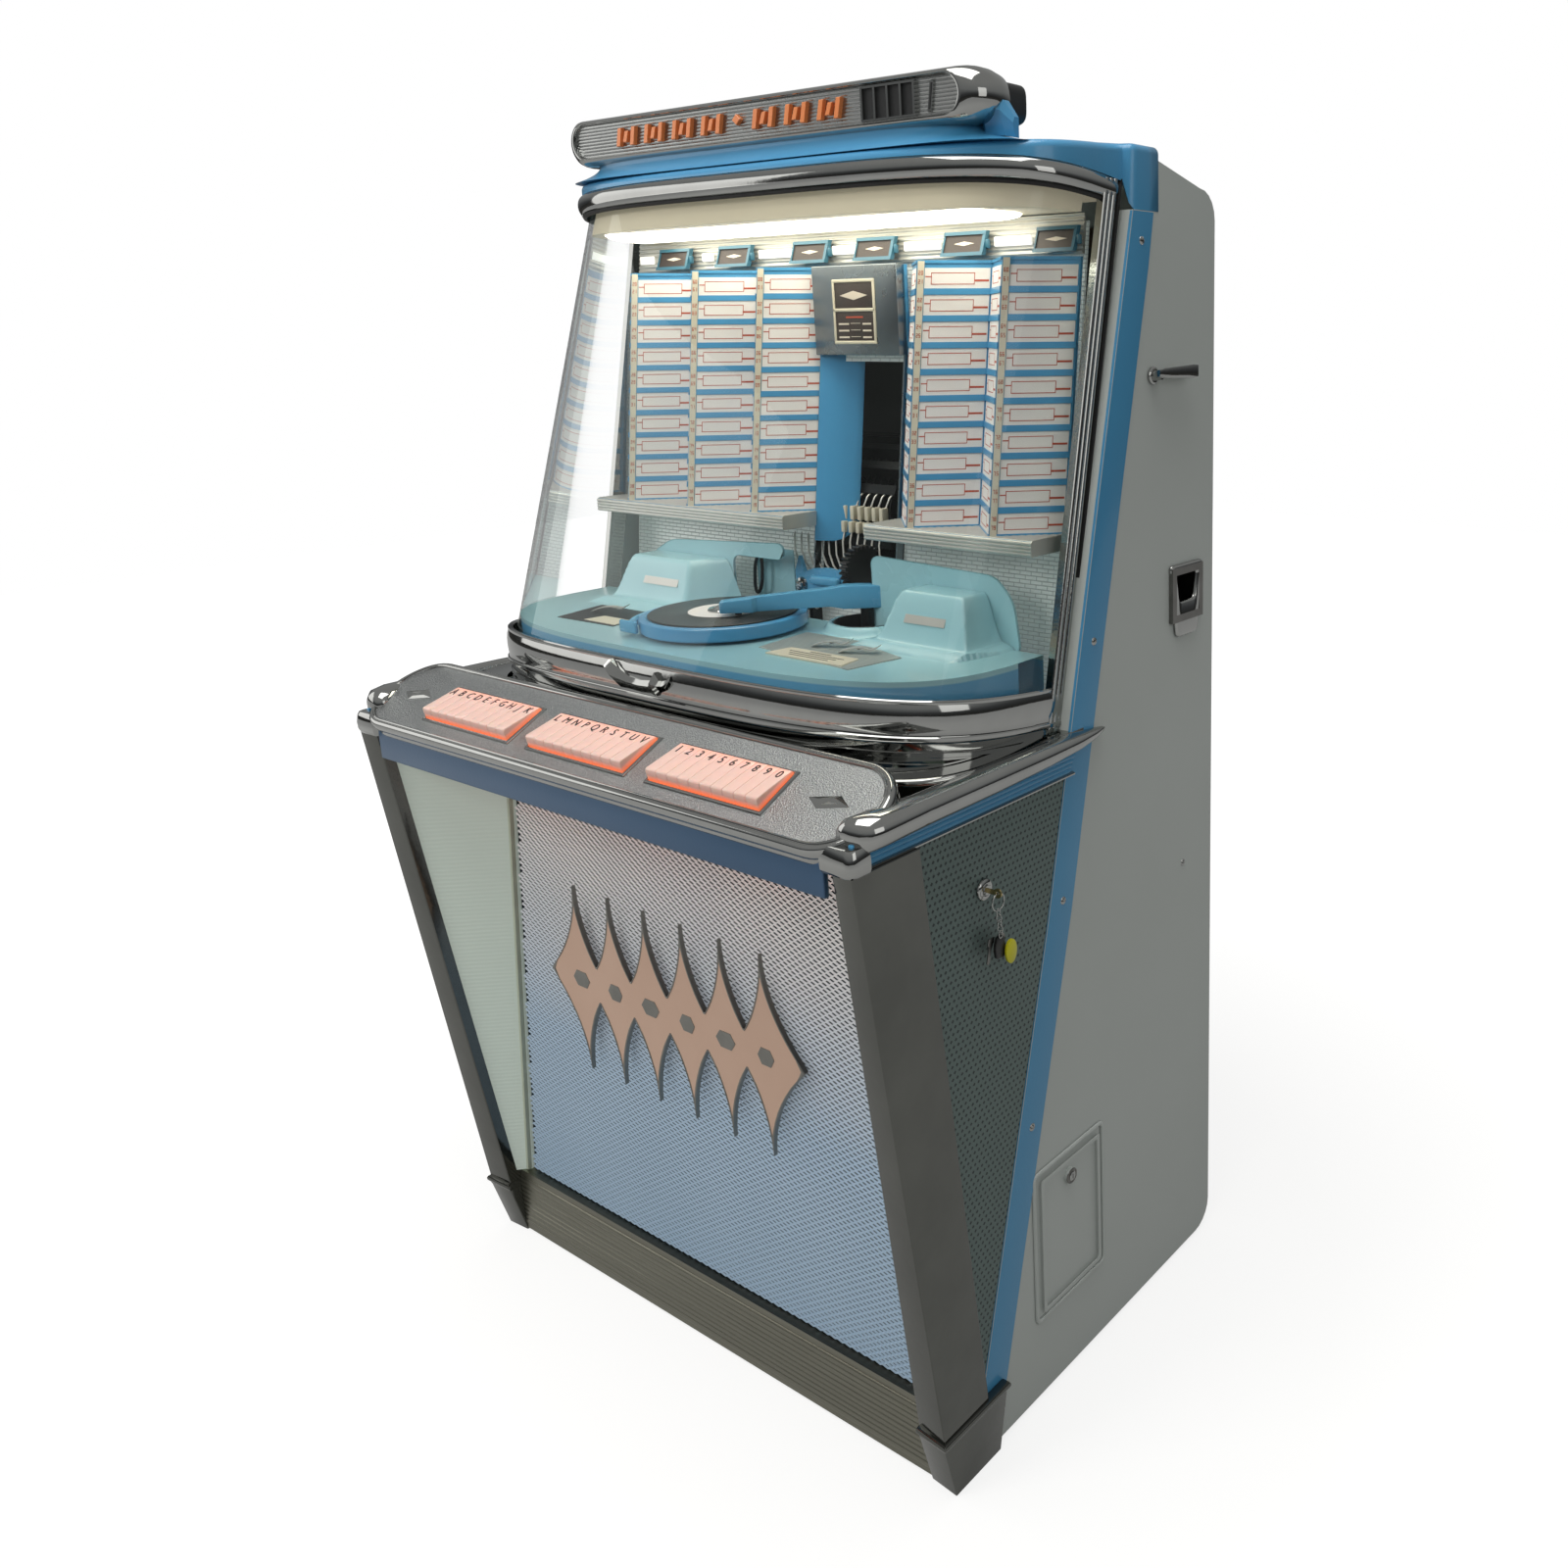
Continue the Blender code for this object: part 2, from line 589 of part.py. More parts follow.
def side_lock():
    """A chrome cylinder lock in the right side grille, with its key in it."""
    outer = SIDE_FACE_X + LOCK_PROUD
    barrel = rod((SIDE_FACE_X - LOCK_BODY, LOCK_Y, LOCK_Z), (SIDE_FACE_X + GAP + LAP, LOCK_Y, LOCK_Z), LOCK_RADIUS)
    cap = rod((SIDE_FACE_X + GAP, LOCK_Y, LOCK_Z), (outer, LOCK_Y, LOCK_Z), LOCK_RADIUS * 1.3)
    half = KEY_BOW_THICK / 2
    blade = box((outer - LAP, LOCK_Y - half, LOCK_Z - KEY_BOW / 4), (outer + KEY_BLADE + LAP, LOCK_Y + half, LOCK_Z + KEY_BOW / 4))
    bow_x = outer + KEY_BLADE + KEY_BOW / 2
    bow = rod((bow_x, LOCK_Y - half, LOCK_Z), (bow_x, LOCK_Y + half, LOCK_Z), KEY_BOW / 2, 20)
    hole = rod((bow_x, LOCK_Y - OVERRUN, LOCK_Z), (bow_x, LOCK_Y + OVERRUN, LOCK_Z), KEY_BOW / 5, 12)
    piece("side_lock", CHROME, barrel, [cap, blade, bow], [hole])



TOP_BAND_REAR_Y = SEAM_FRONT_Y - LID_SEAL
LOW_BAND_REAR_Y = front_line(LEDGE_TOP_Z) - LID_SEAL


def lid_curve(half, front, rear, power, steps):
    """Plan of the lid: a rounded U from the left rear end round the front to the right rear end."""
    points = []
    for step in range(steps + 1):
        turn = math.pi * step / steps
        side, ahead = -math.cos(turn), math.sin(turn)
        x = half * math.copysign(abs(side) ** (2 / power), side)
        points.append((x, rear - (rear - front) * ahead ** (2 / power)))
    return points


def lid_z(y, front, level):
    """The lid's bands fall slightly towards the rear."""
    return level - LID_SLOPE_SHARE * (y - front)


def band(half, front, rear, power, level, height, thick, lift=0.0):
    """A bent strip along the lid's plan curve, from level to level + height."""
    outer = lid_curve(half, front, rear, power, CURVE_STEPS)
    inner = lid_curve(half - thick, front + thick, rear, power, CURVE_STEPS)
    rings = []
    for (ox, oy), (ix, iy) in zip(outer, inner):
        low_o, low_i = lid_z(oy, front, level), lid_z(iy, front, level)
        rings.append([(ox, oy, low_o), (ox, oy + lift, low_o + height), (ix, iy + lift, low_i + height), (ix, iy, low_i)])
    return loft(rings)


def lid_frame():
    """Chrome top and bottom bands joined by a fluted moulding at each side, with a pull handle."""
    low = band(LID_HALF_WIDTH, LOW_BAND_FRONT_Y, LOW_BAND_REAR_Y, LOW_CURVE_SHARE, LOW_BAND_Z, LOW_BAND_HEIGHT, BAND_THICK)
    top = band(LID_HALF_WIDTH, TOP_BAND_FRONT_Y, TOP_BAND_REAR_Y, TOP_CURVE_SHARE, TOP_BAND_Z, TOP_BAND_HEIGHT, BAND_THICK)
    low_z = lid_z(LOW_BAND_REAR_Y - MOULD_WIDTH, LOW_BAND_FRONT_Y, LOW_BAND_Z) + LAP
    top_z = lid_z(TOP_BAND_REAR_Y, TOP_BAND_FRONT_Y, TOP_BAND_Z) + TOP_BAND_HEIGHT - LAP
    bars = []
    for side in (-1, 1):
        rings = []
        for y, z in ((LOW_BAND_REAR_Y, low_z), (TOP_BAND_REAR_Y, top_z)):
            inner, outer = side * (LID_HALF_WIDTH - MOULD_THICK), side * (LID_HALF_WIDTH + LAP)
            rings.append([(inner, y - MOULD_WIDTH, z), (outer, y - MOULD_WIDTH, z), (outer, y, z), (inner, y, z)])
        bars.append(loft(rings))
    front = LOW_BAND_FRONT_Y
    mid_z = LOW_BAND_Z + LOW_BAND_HEIGHT - HANDLE_DROP
    wing = [(-HANDLE_WIDTH / 2, mid_z), (-HANDLE_WIDTH / 4, mid_z - HANDLE_HEIGHT / 3), (0, mid_z - HANDLE_HEIGHT),
            (HANDLE_WIDTH / 4, mid_z - HANDLE_HEIGHT / 3), (HANDLE_WIDTH / 2, mid_z),
            (HANDLE_WIDTH / 4, mid_z + HANDLE_HEIGHT / 6), (-HANDLE_WIDTH / 4, mid_z + HANDLE_HEIGHT / 6)]
    handle = prism(1, wing, front - HANDLE_PROUD, front + BAND_THICK / 2)
    piece("lid_frame", CHROME, low, [top] + bars + [handle])


def lid_glass():
    """One bent sheet of glass inside the bands, from band to band and between the mouldings."""
    half = LID_HALF_WIDTH - MOULD_THICK - GAP
    clear = MOULD_WIDTH / 2
    lean = (TOP_BAND_FRONT_Y - LOW_BAND_FRONT_Y) / (TOP_BAND_Z - LOW_BAND_Z)
    rows = []
    for level_share in (0, 1):
        front = LOW_BAND_FRONT_Y if level_share == 0 else TOP_BAND_FRONT_Y + lean * GLASS_LAP
        front += BAND_THICK + GAP + GLASS_EASE * (1 + level_share) / 2
        rear = (LOW_BAND_REAR_Y if level_share == 0 else TOP_BAND_REAR_Y) - clear
        power = LOW_CURVE_SHARE if level_share == 0 else TOP_CURVE_SHARE
        level = LOW_BAND_Z + LOW_BAND_HEIGHT - GLASS_LAP if level_share == 0 else TOP_BAND_Z + GLASS_LAP
        wide = half - GLASS_EASE * (1 + level_share) / 2
        outer = lid_curve(wide, front, rear, power, CURVE_STEPS)
        inner = lid_curve(wide - GLASS_THICK, front + GLASS_THICK, rear, power, CURVE_STEPS)
        rows.append(([(x, y, lid_z(y, front, level)) for x, y in outer],
                     [(x, y, lid_z(y, front, level)) for x, y in inner]))
    (low_out, low_in), (top_out, top_in) = rows
    piece("lid_glass", GLASS, loft([list(ring) for ring in zip(low_out, top_out, top_in, low_in)]))


COWL_FRONT_Y = TOP_BAND_FRONT_Y + COWL_FRONT_INSET
COWL_HALF_CURVE = LID_HALF_WIDTH - COWL_FRONT_INSET


def cowl_section(x, front, drop):
    """The cowl's section at x, seen from the side: roof, rear wall and the skirt beside the band."""
    base = lid_z(front, TOP_BAND_FRONT_Y, TOP_BAND_Z) + TOP_BAND_HEIGHT + GAP
    base_rear = lid_z(SEAM_FRONT_Y, TOP_BAND_FRONT_Y, TOP_BAND_Z) + TOP_BAND_HEIGHT + GAP
    share = (front - COWL_FRONT_Y) / (CROWN_Y - COWL_FRONT_Y)
    shoulder = COWL_FRONT_Z + (COWL_TOP_Z - COWL_FRONT_Z) * share - drop
    return [(x, front, base), (x, front, shoulder), (x, CROWN_Y - COWL_ROUND, COWL_TOP_Z - drop),
            (x, CROWN_Y - GAP, COWL_TOP_Z - COWL_ROUND / 2 - drop), (x, CROWN_Y - GAP, CROWN_Z),
            (x, SEAM_REAR_Y - GAP, SEAM_Z + GAP), (x, SEAM_FRONT_Y, SEAM_Z + GAP), (x, SEAM_FRONT_Y, base_rear)]


def roof_cowl():
    """A sheet-metal cowl over the lid, with side skirts and the pedestal that carries the sign."""
    curve = lid_curve(COWL_HALF_CURVE, COWL_FRONT_Y, SEAM_FRONT_Y, TOP_CURVE_SHARE, CURVE_STEPS)
    rings = [cowl_section(-HALF, SEAM_FRONT_Y - LAP, COWL_ROUND / 2)]
    rings += [cowl_section(x, min(y, SEAM_FRONT_Y - LAP), 0) for x, y in curve]
    rings += [cowl_section(HALF, SEAM_FRONT_Y - LAP, COWL_ROUND / 2)]
    low = SEAM_Z - OVERRUN
    wall = COWL_WALL
    inner = lid_curve(INSIDE - LID_SEAL - wall, COWL_FRONT_Y + wall, SEAM_FRONT_Y, TOP_CURVE_SHARE, CURVE_STEPS)
    hollow = []
    for x, y in inner:
        front = min(y, SEAM_FRONT_Y - LAP)
        rear = SEAM_REAR_Y - GAP - wall
        share = (front - COWL_FRONT_Y) / (CROWN_Y - COWL_FRONT_Y)
        shoulder = COWL_FRONT_Z + (COWL_TOP_Z - COWL_FRONT_Z) * share - wall
        hollow.append([(x, front, low), (x, front, shoulder), (x, rear, COWL_TOP_Z - wall - COWL_ROUND / 2), (x, rear, low)])
    top = SIGN_MID_Z - SIGN_HEIGHT / 2 - GAP
    feet = []
    for z, spread in ((COWL_FRONT_Z - wall / 2, COWL_ROUND), (top, 0)):
        feet.append([(x * (PEDESTAL_HALF + spread), y, z) for x, y in (
            (-1, PEDESTAL_FRONT_Y), (1, PEDESTAL_FRONT_Y), (1, PEDESTAL_FRONT_Y + PEDESTAL_DEPTH + spread),
            (-1, PEDESTAL_FRONT_Y + PEDESTAL_DEPTH + spread))])
    piece("roof_cowl", BLUE, loft(rings), [loft(feet)], [loft(hollow)])


def stadium(half, height, middle_z, y):
    """A round-ended outline in a plane square to Y."""
    radius = height / 2
    right = arc((half - radius, middle_z), radius, -90, 90, 8)
    left = arc((radius - half, middle_z), radius, 90, 270, 8)
    return [(x, y, z) for x, z in right + left]


def sign_housing():
    """A round-ended torpedo housing with a raised lip, a sunk front panel and the coin entry."""
    tail = SIGN_HEIGHT * SIGN_TAIL_SHARE
    low = SIGN_MID_Z - SIGN_HEIGHT / 2
    front, back = SIGN_FRONT_Y, SIGN_FRONT_Y + SIGN_DEPTH
    rings = [stadium(SIGN_HALF_LENGTH - SIGN_LIP / 2, SIGN_HEIGHT - SIGN_LIP / 2, SIGN_MID_Z, front),
             stadium(SIGN_HALF_LENGTH, SIGN_HEIGHT, SIGN_MID_Z, front + SIGN_LIP),
             stadium(SIGN_HALF_LENGTH - SIGN_LIP, SIGN_HEIGHT, SIGN_MID_Z, (front + back) / 2),
             stadium(SIGN_HALF_LENGTH - tail, tail, low + tail / 2, back)]
    sunk_half, sunk_height = SIGN_HALF_LENGTH - SIGN_LIP, SIGN_HEIGHT - 2 * SIGN_LIP
    sunk = loft([stadium(sunk_half, sunk_height, SIGN_MID_Z, y) for y in (front - OVERRUN, front + SIGN_RECESS)])
    slot = box((COIN_SLOT_X, front, SIGN_MID_Z - COIN_SLOT_HEIGHT / 2),
               (COIN_SLOT_X + COIN_SLOT_WIDTH, front + COIN_SLOT_DEEP, SIGN_MID_Z + COIN_SLOT_HEIGHT / 2))
    pane = COIN_WINDOW_WIDTH / COIN_BARS
    panes = []
    for index in range(COIN_BARS):
        x = COIN_WINDOW_X - COIN_WINDOW_WIDTH / 2 + index * pane
        panes.append(box((x, front, SIGN_MID_Z - COIN_WINDOW_HEIGHT / 2),
                         (x + pane - COIN_BAR_WIDTH, front + SIGN_RECESS + COIN_WINDOW_DEEP, SIGN_MID_Z + COIN_WINDOW_HEIGHT / 2)))
    piece("sign_housing", CHROME, loft(rings), cut=[sunk, slot] + panes)


def lamp_tray():
    """A white tray with a lamp tube, hung from the cowl by two posts."""
    plan = lid_curve(LAMP_HALF, LAMP_FRONT_Y, LAMP_REAR_Y, TOP_CURVE_SHARE, CURVE_STEPS)
    tray = prism(2, plan, LAMP_Z, LAMP_Z + LAMP_THICK)
    tube = rod((-LAMP_TUBE_HALF, LAMP_TUBE_Y, LAMP_Z), (LAMP_TUBE_HALF, LAMP_TUBE_Y, LAMP_Z), LAMP_TUBE_RADIUS, 12)
    share = (LAMP_TUBE_Y - COWL_FRONT_Y) / (CROWN_Y - COWL_FRONT_Y)
    roof = COWL_FRONT_Z - COWL_WALL + (COWL_TOP_Z - COWL_ROUND / 2 - COWL_FRONT_Z) * share - GAP
    posts = [rod((side * LAMP_TUBE_HALF / 2, LAMP_TUBE_Y, LAMP_Z + LAMP_THICK - LAP),
                 (side * LAMP_TUBE_HALF / 2, LAMP_TUBE_Y, roof), LAMP_TUBE_RADIUS / 2, 10) for side in (-1, 1)]
    piece("lamp_tray", WHITE, tray, [tube] + posts)


def panel_y(z):
    """Front face of the leaning inner panel."""
    return PANEL_LOW_Y + (PANEL_TOP_Y - PANEL_LOW_Y) * (z - SHELF_Z) / (PANEL_TOP_Z - SHELF_Z)


GROUP_LEFT_END = -BOARD_HALF + LEFT_TEETH * BOARD_TOOTH
GROUP_RIGHT_START = BOARD_HALF - RIGHT_TEETH * BOARD_TOOTH
CARD_X = (GROUP_LEFT_END + GROUP_RIGHT_START) / 2


def inner_panel():
    """A leaning stamped panel behind the title boards, with a window onto the magazine."""
    low, high = SHELF_Z + GAP, PANEL_TOP_Z
    section = [(panel_y(low), low), (panel_y(high), high), (panel_y(high) + PANEL_THICK, high), (panel_y(low) + PANEL_THICK, low)]
    window = box((GROUP_LEFT_END, PANEL_LOW_Y - OVERRUN, WINDOW_LOW_Z), (GROUP_RIGHT_START, PANEL_TOP_Y + OVERRUN, WINDOW_TOP_Z))
    notch = box((-BASE_HALF - LID_SEAL, PANEL_LOW_Y - OVERRUN, SHELF_Z - OVERRUN), (BASE_HALF + LID_SEAL, PANEL_TOP_Y, PANEL_NOTCH_Z))
    piece("inner_panel", ALUMINIUM, prism(0, section, -PANEL_HALF, PANEL_HALF), cut=[window, notch])


def zigzag(start, teeth, z):
    """Plan of a folded title board at height z: front tips and rear valleys at 45 degrees or so."""
    rear = panel_y(z) - BOARD_BACK_GAP
    front_points, back_points = [], []
    for index in range(2 * teeth + 1):
        x = start + index * BOARD_TOOTH / 2
        y = rear - BOARD_THICK - (BOARD_DEPTH if index % 2 else 0)
        front_points.append((x, y, z))
        back_points.append((x, y + BOARD_THICK, z))
    return front_points + list(reversed(back_points))


def title_rack():
    """Folded title boards on a rail across their foot, and the card holder between the two groups."""
    boards = [loft([zigzag(start, teeth, z) for z in (BOARD_LOW_Z, BOARD_TOP_Z)])
              for start, teeth in ((-BOARD_HALF, LEFT_TEETH), (GROUP_RIGHT_START, RIGHT_TEETH))]
    rail_y = panel_y(BOARD_LOW_Z) - BOARD_BACK_GAP
    rails = [box((low - LAP, rail_y - BOARD_DEPTH - 2 * BOARD_THICK, BOARD_LOW_Z - RAIL_HEIGHT), (high + LAP, rail_y - LAP, BOARD_LOW_Z + LAP))
             for low, high in ((-BOARD_HALF, GROUP_LEFT_END), (GROUP_RIGHT_START, BOARD_HALF))]
    card_low = BOARD_TOP_Z - CARD_HEIGHT
    back = panel_y(card_low) - BOARD_BACK_GAP - LAP
    head = box((GROUP_LEFT_END - LAP, back - BOARD_THICK, card_low), (GROUP_RIGHT_START + LAP, back, BOARD_TOP_Z - LAP))
    card = box((CARD_X - CARD_HALF, back - CARD_THICK, card_low + LAP), (CARD_X + CARD_HALF, back - LAP, BOARD_TOP_Z - 2 * LAP))
    pins = [rod((x, panel_y(z) - BOARD_BACK_GAP - BOARD_THICK / 2, z), (x, panel_y(z - BOARD_THICK) - GAP, z), BOARD_THICK, 8)
            for x in (-BOARD_HALF + BOARD_TOOTH, GROUP_RIGHT_START + BOARD_TOOTH) for z in (BOARD_LOW_Z + RAIL_HEIGHT,)]
    piece("title_rack", BLUE, boards[0], [boards[1]] + rails + [head, card] + pins)


TRAY_TOP_Z = TRAY_Z + TRAY_THICK
PLATEAU_Z = TRAY_TOP_Z + TRAY_RISE
TRAY_FRONT_Y = LOW_BAND_FRONT_Y + BAND_THICK + GLASS_THICK + TRAY_MARGIN
TRAY_HALF = LID_HALF_WIDTH - BAND_THICK - GLASS_THICK - TRAY_MARGIN
TRAY_REAR_Y = LOW_BAND_REAR_Y
BASE_TOP_Z = TRAY_Z - BASE_DROP


def mechanism_tray():
    """A pressed cover with a raised deck, two rear humps and holes for the shafts."""
    outer = lid_curve(TRAY_HALF, TRAY_FRONT_Y, TRAY_REAR_Y, LOW_CURVE_SHARE, CURVE_STEPS)
    inner = lid_curve(TRAY_HALF - TRAY_THICK, TRAY_FRONT_Y + TRAY_THICK, TRAY_REAR_Y + OVERRUN, LOW_CURVE_SHARE, CURVE_STEPS)
    skirt = prism(2, outer, LEDGE_TOP_Z + GAP, TRAY_TOP_Z)
    hollow = prism(2, inner, LEDGE_TOP_Z - OVERRUN, TRAY_Z)
    deck_rear, hump_rear = TRAY_REAR_Y - LAP, TRAY_REAR_Y - 2 * LAP
    side, front = TRAY_HALF - TRAY_STEP_SIDE, TRAY_FRONT_Y + TRAY_STEP_FRONT
    rings = []
    for z, inset in ((TRAY_TOP_Z - LAP, 0), (PLATEAU_Z, TRAY_RISE / 2)):
        x, y, cut = side - inset, front + inset, TRAY_STEP_SIDE
        rings.append([(-x, deck_rear, z), (-x, y + cut, z), (-x + cut, y, z), (x - cut / 2, y, z), (x, y + cut / 2, z), (x, deck_rear, z)])
    humps = []
    for sign in (-1, 1):
        near, far = side - HUMP_WIDTH, side - TRAY_RISE
        lows = [(near, TRAY_REAR_Y - HUMP_DEPTH), (far, TRAY_REAR_Y - HUMP_DEPTH), (far, hump_rear), (near, hump_rear)]
        tops = [(near + HUMP_SLANT, TRAY_REAR_Y - HUMP_DEPTH + HUMP_SLANT), (far - HUMP_SLANT, TRAY_REAR_Y - HUMP_DEPTH + HUMP_SLANT),
                (far - HUMP_SLANT, hump_rear), (near + HUMP_SLANT, hump_rear)]
        humps.append(loft([[(sign * x, y, PLATEAU_Z - LAP) for x, y in lows],
                           [(sign * x, y, PLATEAU_Z + HUMP_HEIGHT) for x, y in tops]]))
    holes = [rod((x, y, LEDGE_TOP_Z), (x, y, PLATEAU_Z + OVERRUN), radius, 16)
             for x, y, radius in ((TABLE_X, TABLE_Y, SHAFT_RADIUS + WELL_LIP / 2), (ARM_PIVOT_X, ARM_PIVOT_Y, WELL_RADIUS))]
    bow_half = BOW_AXLE_HALF + WELL_LIP
    bow_hole = box((TABLE_X - bow_half, BOW_AXLE_Y - SHAFT_RADIUS - WELL_LIP, LEDGE_TOP_Z), (TABLE_X + bow_half, TRAY_REAR_Y + OVERRUN, PLATEAU_Z + OVERRUN))
    piece("mechanism_tray", AQUA, skirt, [loft(rings)] + humps, [hollow, bow_hole] + holes)


AXLE_Z = PLATEAU_Z + BOW_LIFT + BOW_HEIGHT / 2
TABLE_LOW_Z = PLATEAU_Z + BOW_LIFT / 2


def mechanism_base():
    """The chassis: plate, legs to the shelf, spindle boss, arm post, bow bracket, magazine yokes."""
    low_z = BASE_TOP_Z - BASE_THICK
    front = TABLE_Y - TABLE_RADIUS / 2
    back = MAGAZINE_Y + YOKE_HALF_DEPTH
    plate = box((-BASE_HALF, front, low_z), (BASE_HALF, back, BASE_TOP_Z))
    legs = [box((min(sign * BASE_HALF, sign * (BASE_HALF - GLIDE_SIDE)), SHELF_FRONT_Y + BASE_THICK, SHELF_Z + GAP),
                (max(sign * BASE_HALF, sign * (BASE_HALF - GLIDE_SIDE)), back, low_z + LAP)) for sign in (-1, 1)]
    boss = rod((TABLE_X, TABLE_Y, BASE_TOP_Z - LAP), (TABLE_X, TABLE_Y, TABLE_LOW_Z - GAP), SHAFT_RADIUS, 14)
    post = rod((ARM_PIVOT_X, ARM_PIVOT_Y, BASE_TOP_Z - LAP), (ARM_PIVOT_X, ARM_PIVOT_Y, ARM_LOW_Z - GAP), ARM_POST_RADIUS, 14)
    ears = []
    for sign in (-1, 1):
        near = TABLE_X + sign * (BOW_AXLE_HALF - BASE_THICK)
        far = TABLE_X + sign * BOW_AXLE_HALF
        ears.append(box((min(near, far), BOW_AXLE_Y - SHAFT_RADIUS, BASE_TOP_Z - LAP), (max(near, far), BOW_AXLE_Y + SHAFT_RADIUS, AXLE_Z + SHAFT_RADIUS)))
    bore = rod((TABLE_X - BOW_AXLE_HALF - OVERRUN, BOW_AXLE_Y, AXLE_Z), (TABLE_X + BOW_AXLE_HALF + OVERRUN, BOW_AXLE_Y, AXLE_Z), BOW_AXLE_RADIUS + GAP, 12)
    yokes = []
    for sign in (-1, 1):
        near = MAGAZINE_X + sign * (MAGAZINE_HALF + YOKE_GAP)
        far = near + sign * YOKE_THICK
        yokes.append(box((min(near, far), MAGAZINE_Y - YOKE_HALF_DEPTH, BASE_TOP_Z - LAP), (max(near, far), back, MAGAZINE_Z + YOKE_HALF_DEPTH / 2)))
    shaft_bore = rod((MAGAZINE_X - MAGAZINE_HALF - OVERRUN, MAGAZINE_Y, MAGAZINE_Z), (MAGAZINE_X + MAGAZINE_HALF + OVERRUN, MAGAZINE_Y, MAGAZINE_Z), SHAFT_RADIUS + GAP, 12)
    pit = box((MAGAZINE_X - MAGAZINE_HALF - YOKE_GAP, MAGAZINE_Y - MAGAZINE_RADIUS - YOKE_GAP, SHELF_Z), (MAGAZINE_X + MAGAZINE_HALF + YOKE_GAP, back + OVERRUN, BASE_TOP_Z + OVERRUN))
    piece("mechanism_base", STEEL, plate, legs + [boss, post] + ears + yokes, [bore, shaft_bore, pit])


ARM_LOW_Z = TABLE_LOW_Z + TABLE_HEIGHT + RECORD_THICK + ARM_CLEAR


def turntable():
    """A cast platter on its spindle with a record lying on it."""
    low = TABLE_LOW_Z
    top = low + TABLE_HEIGHT
    parts = [rod((TABLE_X, TABLE_Y, top - LAP), (TABLE_X, TABLE_Y, top + RECORD_THICK), RECORD_RADIUS, 40),
             rod((TABLE_X, TABLE_Y, top), (TABLE_X, TABLE_Y, top + RECORD_THICK + HUB_HEIGHT), HUB_RADIUS, 20, SPINDLE_RADIUS)]
    piece("turntable", BLUE, rod((TABLE_X, TABLE_Y, low), (TABLE_X, TABLE_Y, top), TABLE_RADIUS, 40), parts)


def tonearm():
    """A pressed arm on a vertical pivot, reaching over the record to its head."""
    reach = Vector((TABLE_X - ARM_PIVOT_X + ARM_HEAD, TABLE_Y - ARM_PIVOT_Y - ARM_WIDTH, 0))
    along = reach.normalized()
    across = Vector((-along.y, along.x, 0))
    pivot = Vector((ARM_PIVOT_X, ARM_PIVOT_Y, ARM_LOW_Z))
    rings = []
    for share, wide, tall in ((0, 1.0, 1.4), (0.25, 1.0, 1.5), (0.8, 0.7, 1.0), (0.82, 1.2, 0.9), (1.0, 1.0, 0.8)):
        middle = pivot + reach * share - along * ARM_WIDTH * (1 - share)
        half, height = across * ARM_WIDTH / 2 * wide, Vector((0, 0, ARM_HEIGHT * tall))
        rings.append([middle - half, middle + half, middle + half + height, middle - half + height])
    piece("tonearm", BLUE, loft(rings))


def gripper_arm():
    """A bow round the turntable that lifts a record, pivoted on an axle behind it."""
    inner = TABLE_RADIUS + BOW_CLEAR
    outer = inner + BOW_WIDTH
    low, high = AXLE_Z - BOW_HEIGHT / 2, AXLE_Z + BOW_HEIGHT / 2
    rings = []
    for step in range(BOW_STEPS + 1):
        turn = math.radians(BOW_START + (BOW_END - BOW_START) * step / BOW_STEPS)
        ring = []
        for radius, z in ((inner, low), (outer, low), (outer, high), (inner, high)):
            ring.append((TABLE_X + radius * math.cos(turn), TABLE_Y + radius * math.sin(turn), z))
        rings.append(ring)
    turn = math.radians(BOW_END)
    block_x, block_y = TABLE_X + outer * math.cos(turn), TABLE_Y + outer * math.sin(turn)
    block = box((block_x - BOW_BLOCK / 2, block_y, low), (block_x + BOW_BLOCK / 2, block_y + BOW_WIDTH / 2, high + BOW_HEIGHT / 2))
    inside_ear = BOW_AXLE_HALF - BASE_THICK - GAP
    axle = rod((TABLE_X - BOW_AXLE_HALF, BOW_AXLE_Y, AXLE_Z), (TABLE_X + BOW_AXLE_HALF, BOW_AXLE_Y, AXLE_Z), BOW_AXLE_RADIUS, 12)
    hub = rod((TABLE_X - inside_ear, BOW_AXLE_Y, AXLE_Z), (TABLE_X + inside_ear, BOW_AXLE_Y, AXLE_Z), SHAFT_RADIUS, 14)
    yoke = box((TABLE_X - inside_ear, TABLE_Y + inner, low), (TABLE_X + inside_ear, BOW_AXLE_Y, high))
    piece("gripper_arm", BLUE, loft(rings), [block, yoke, hub, axle])


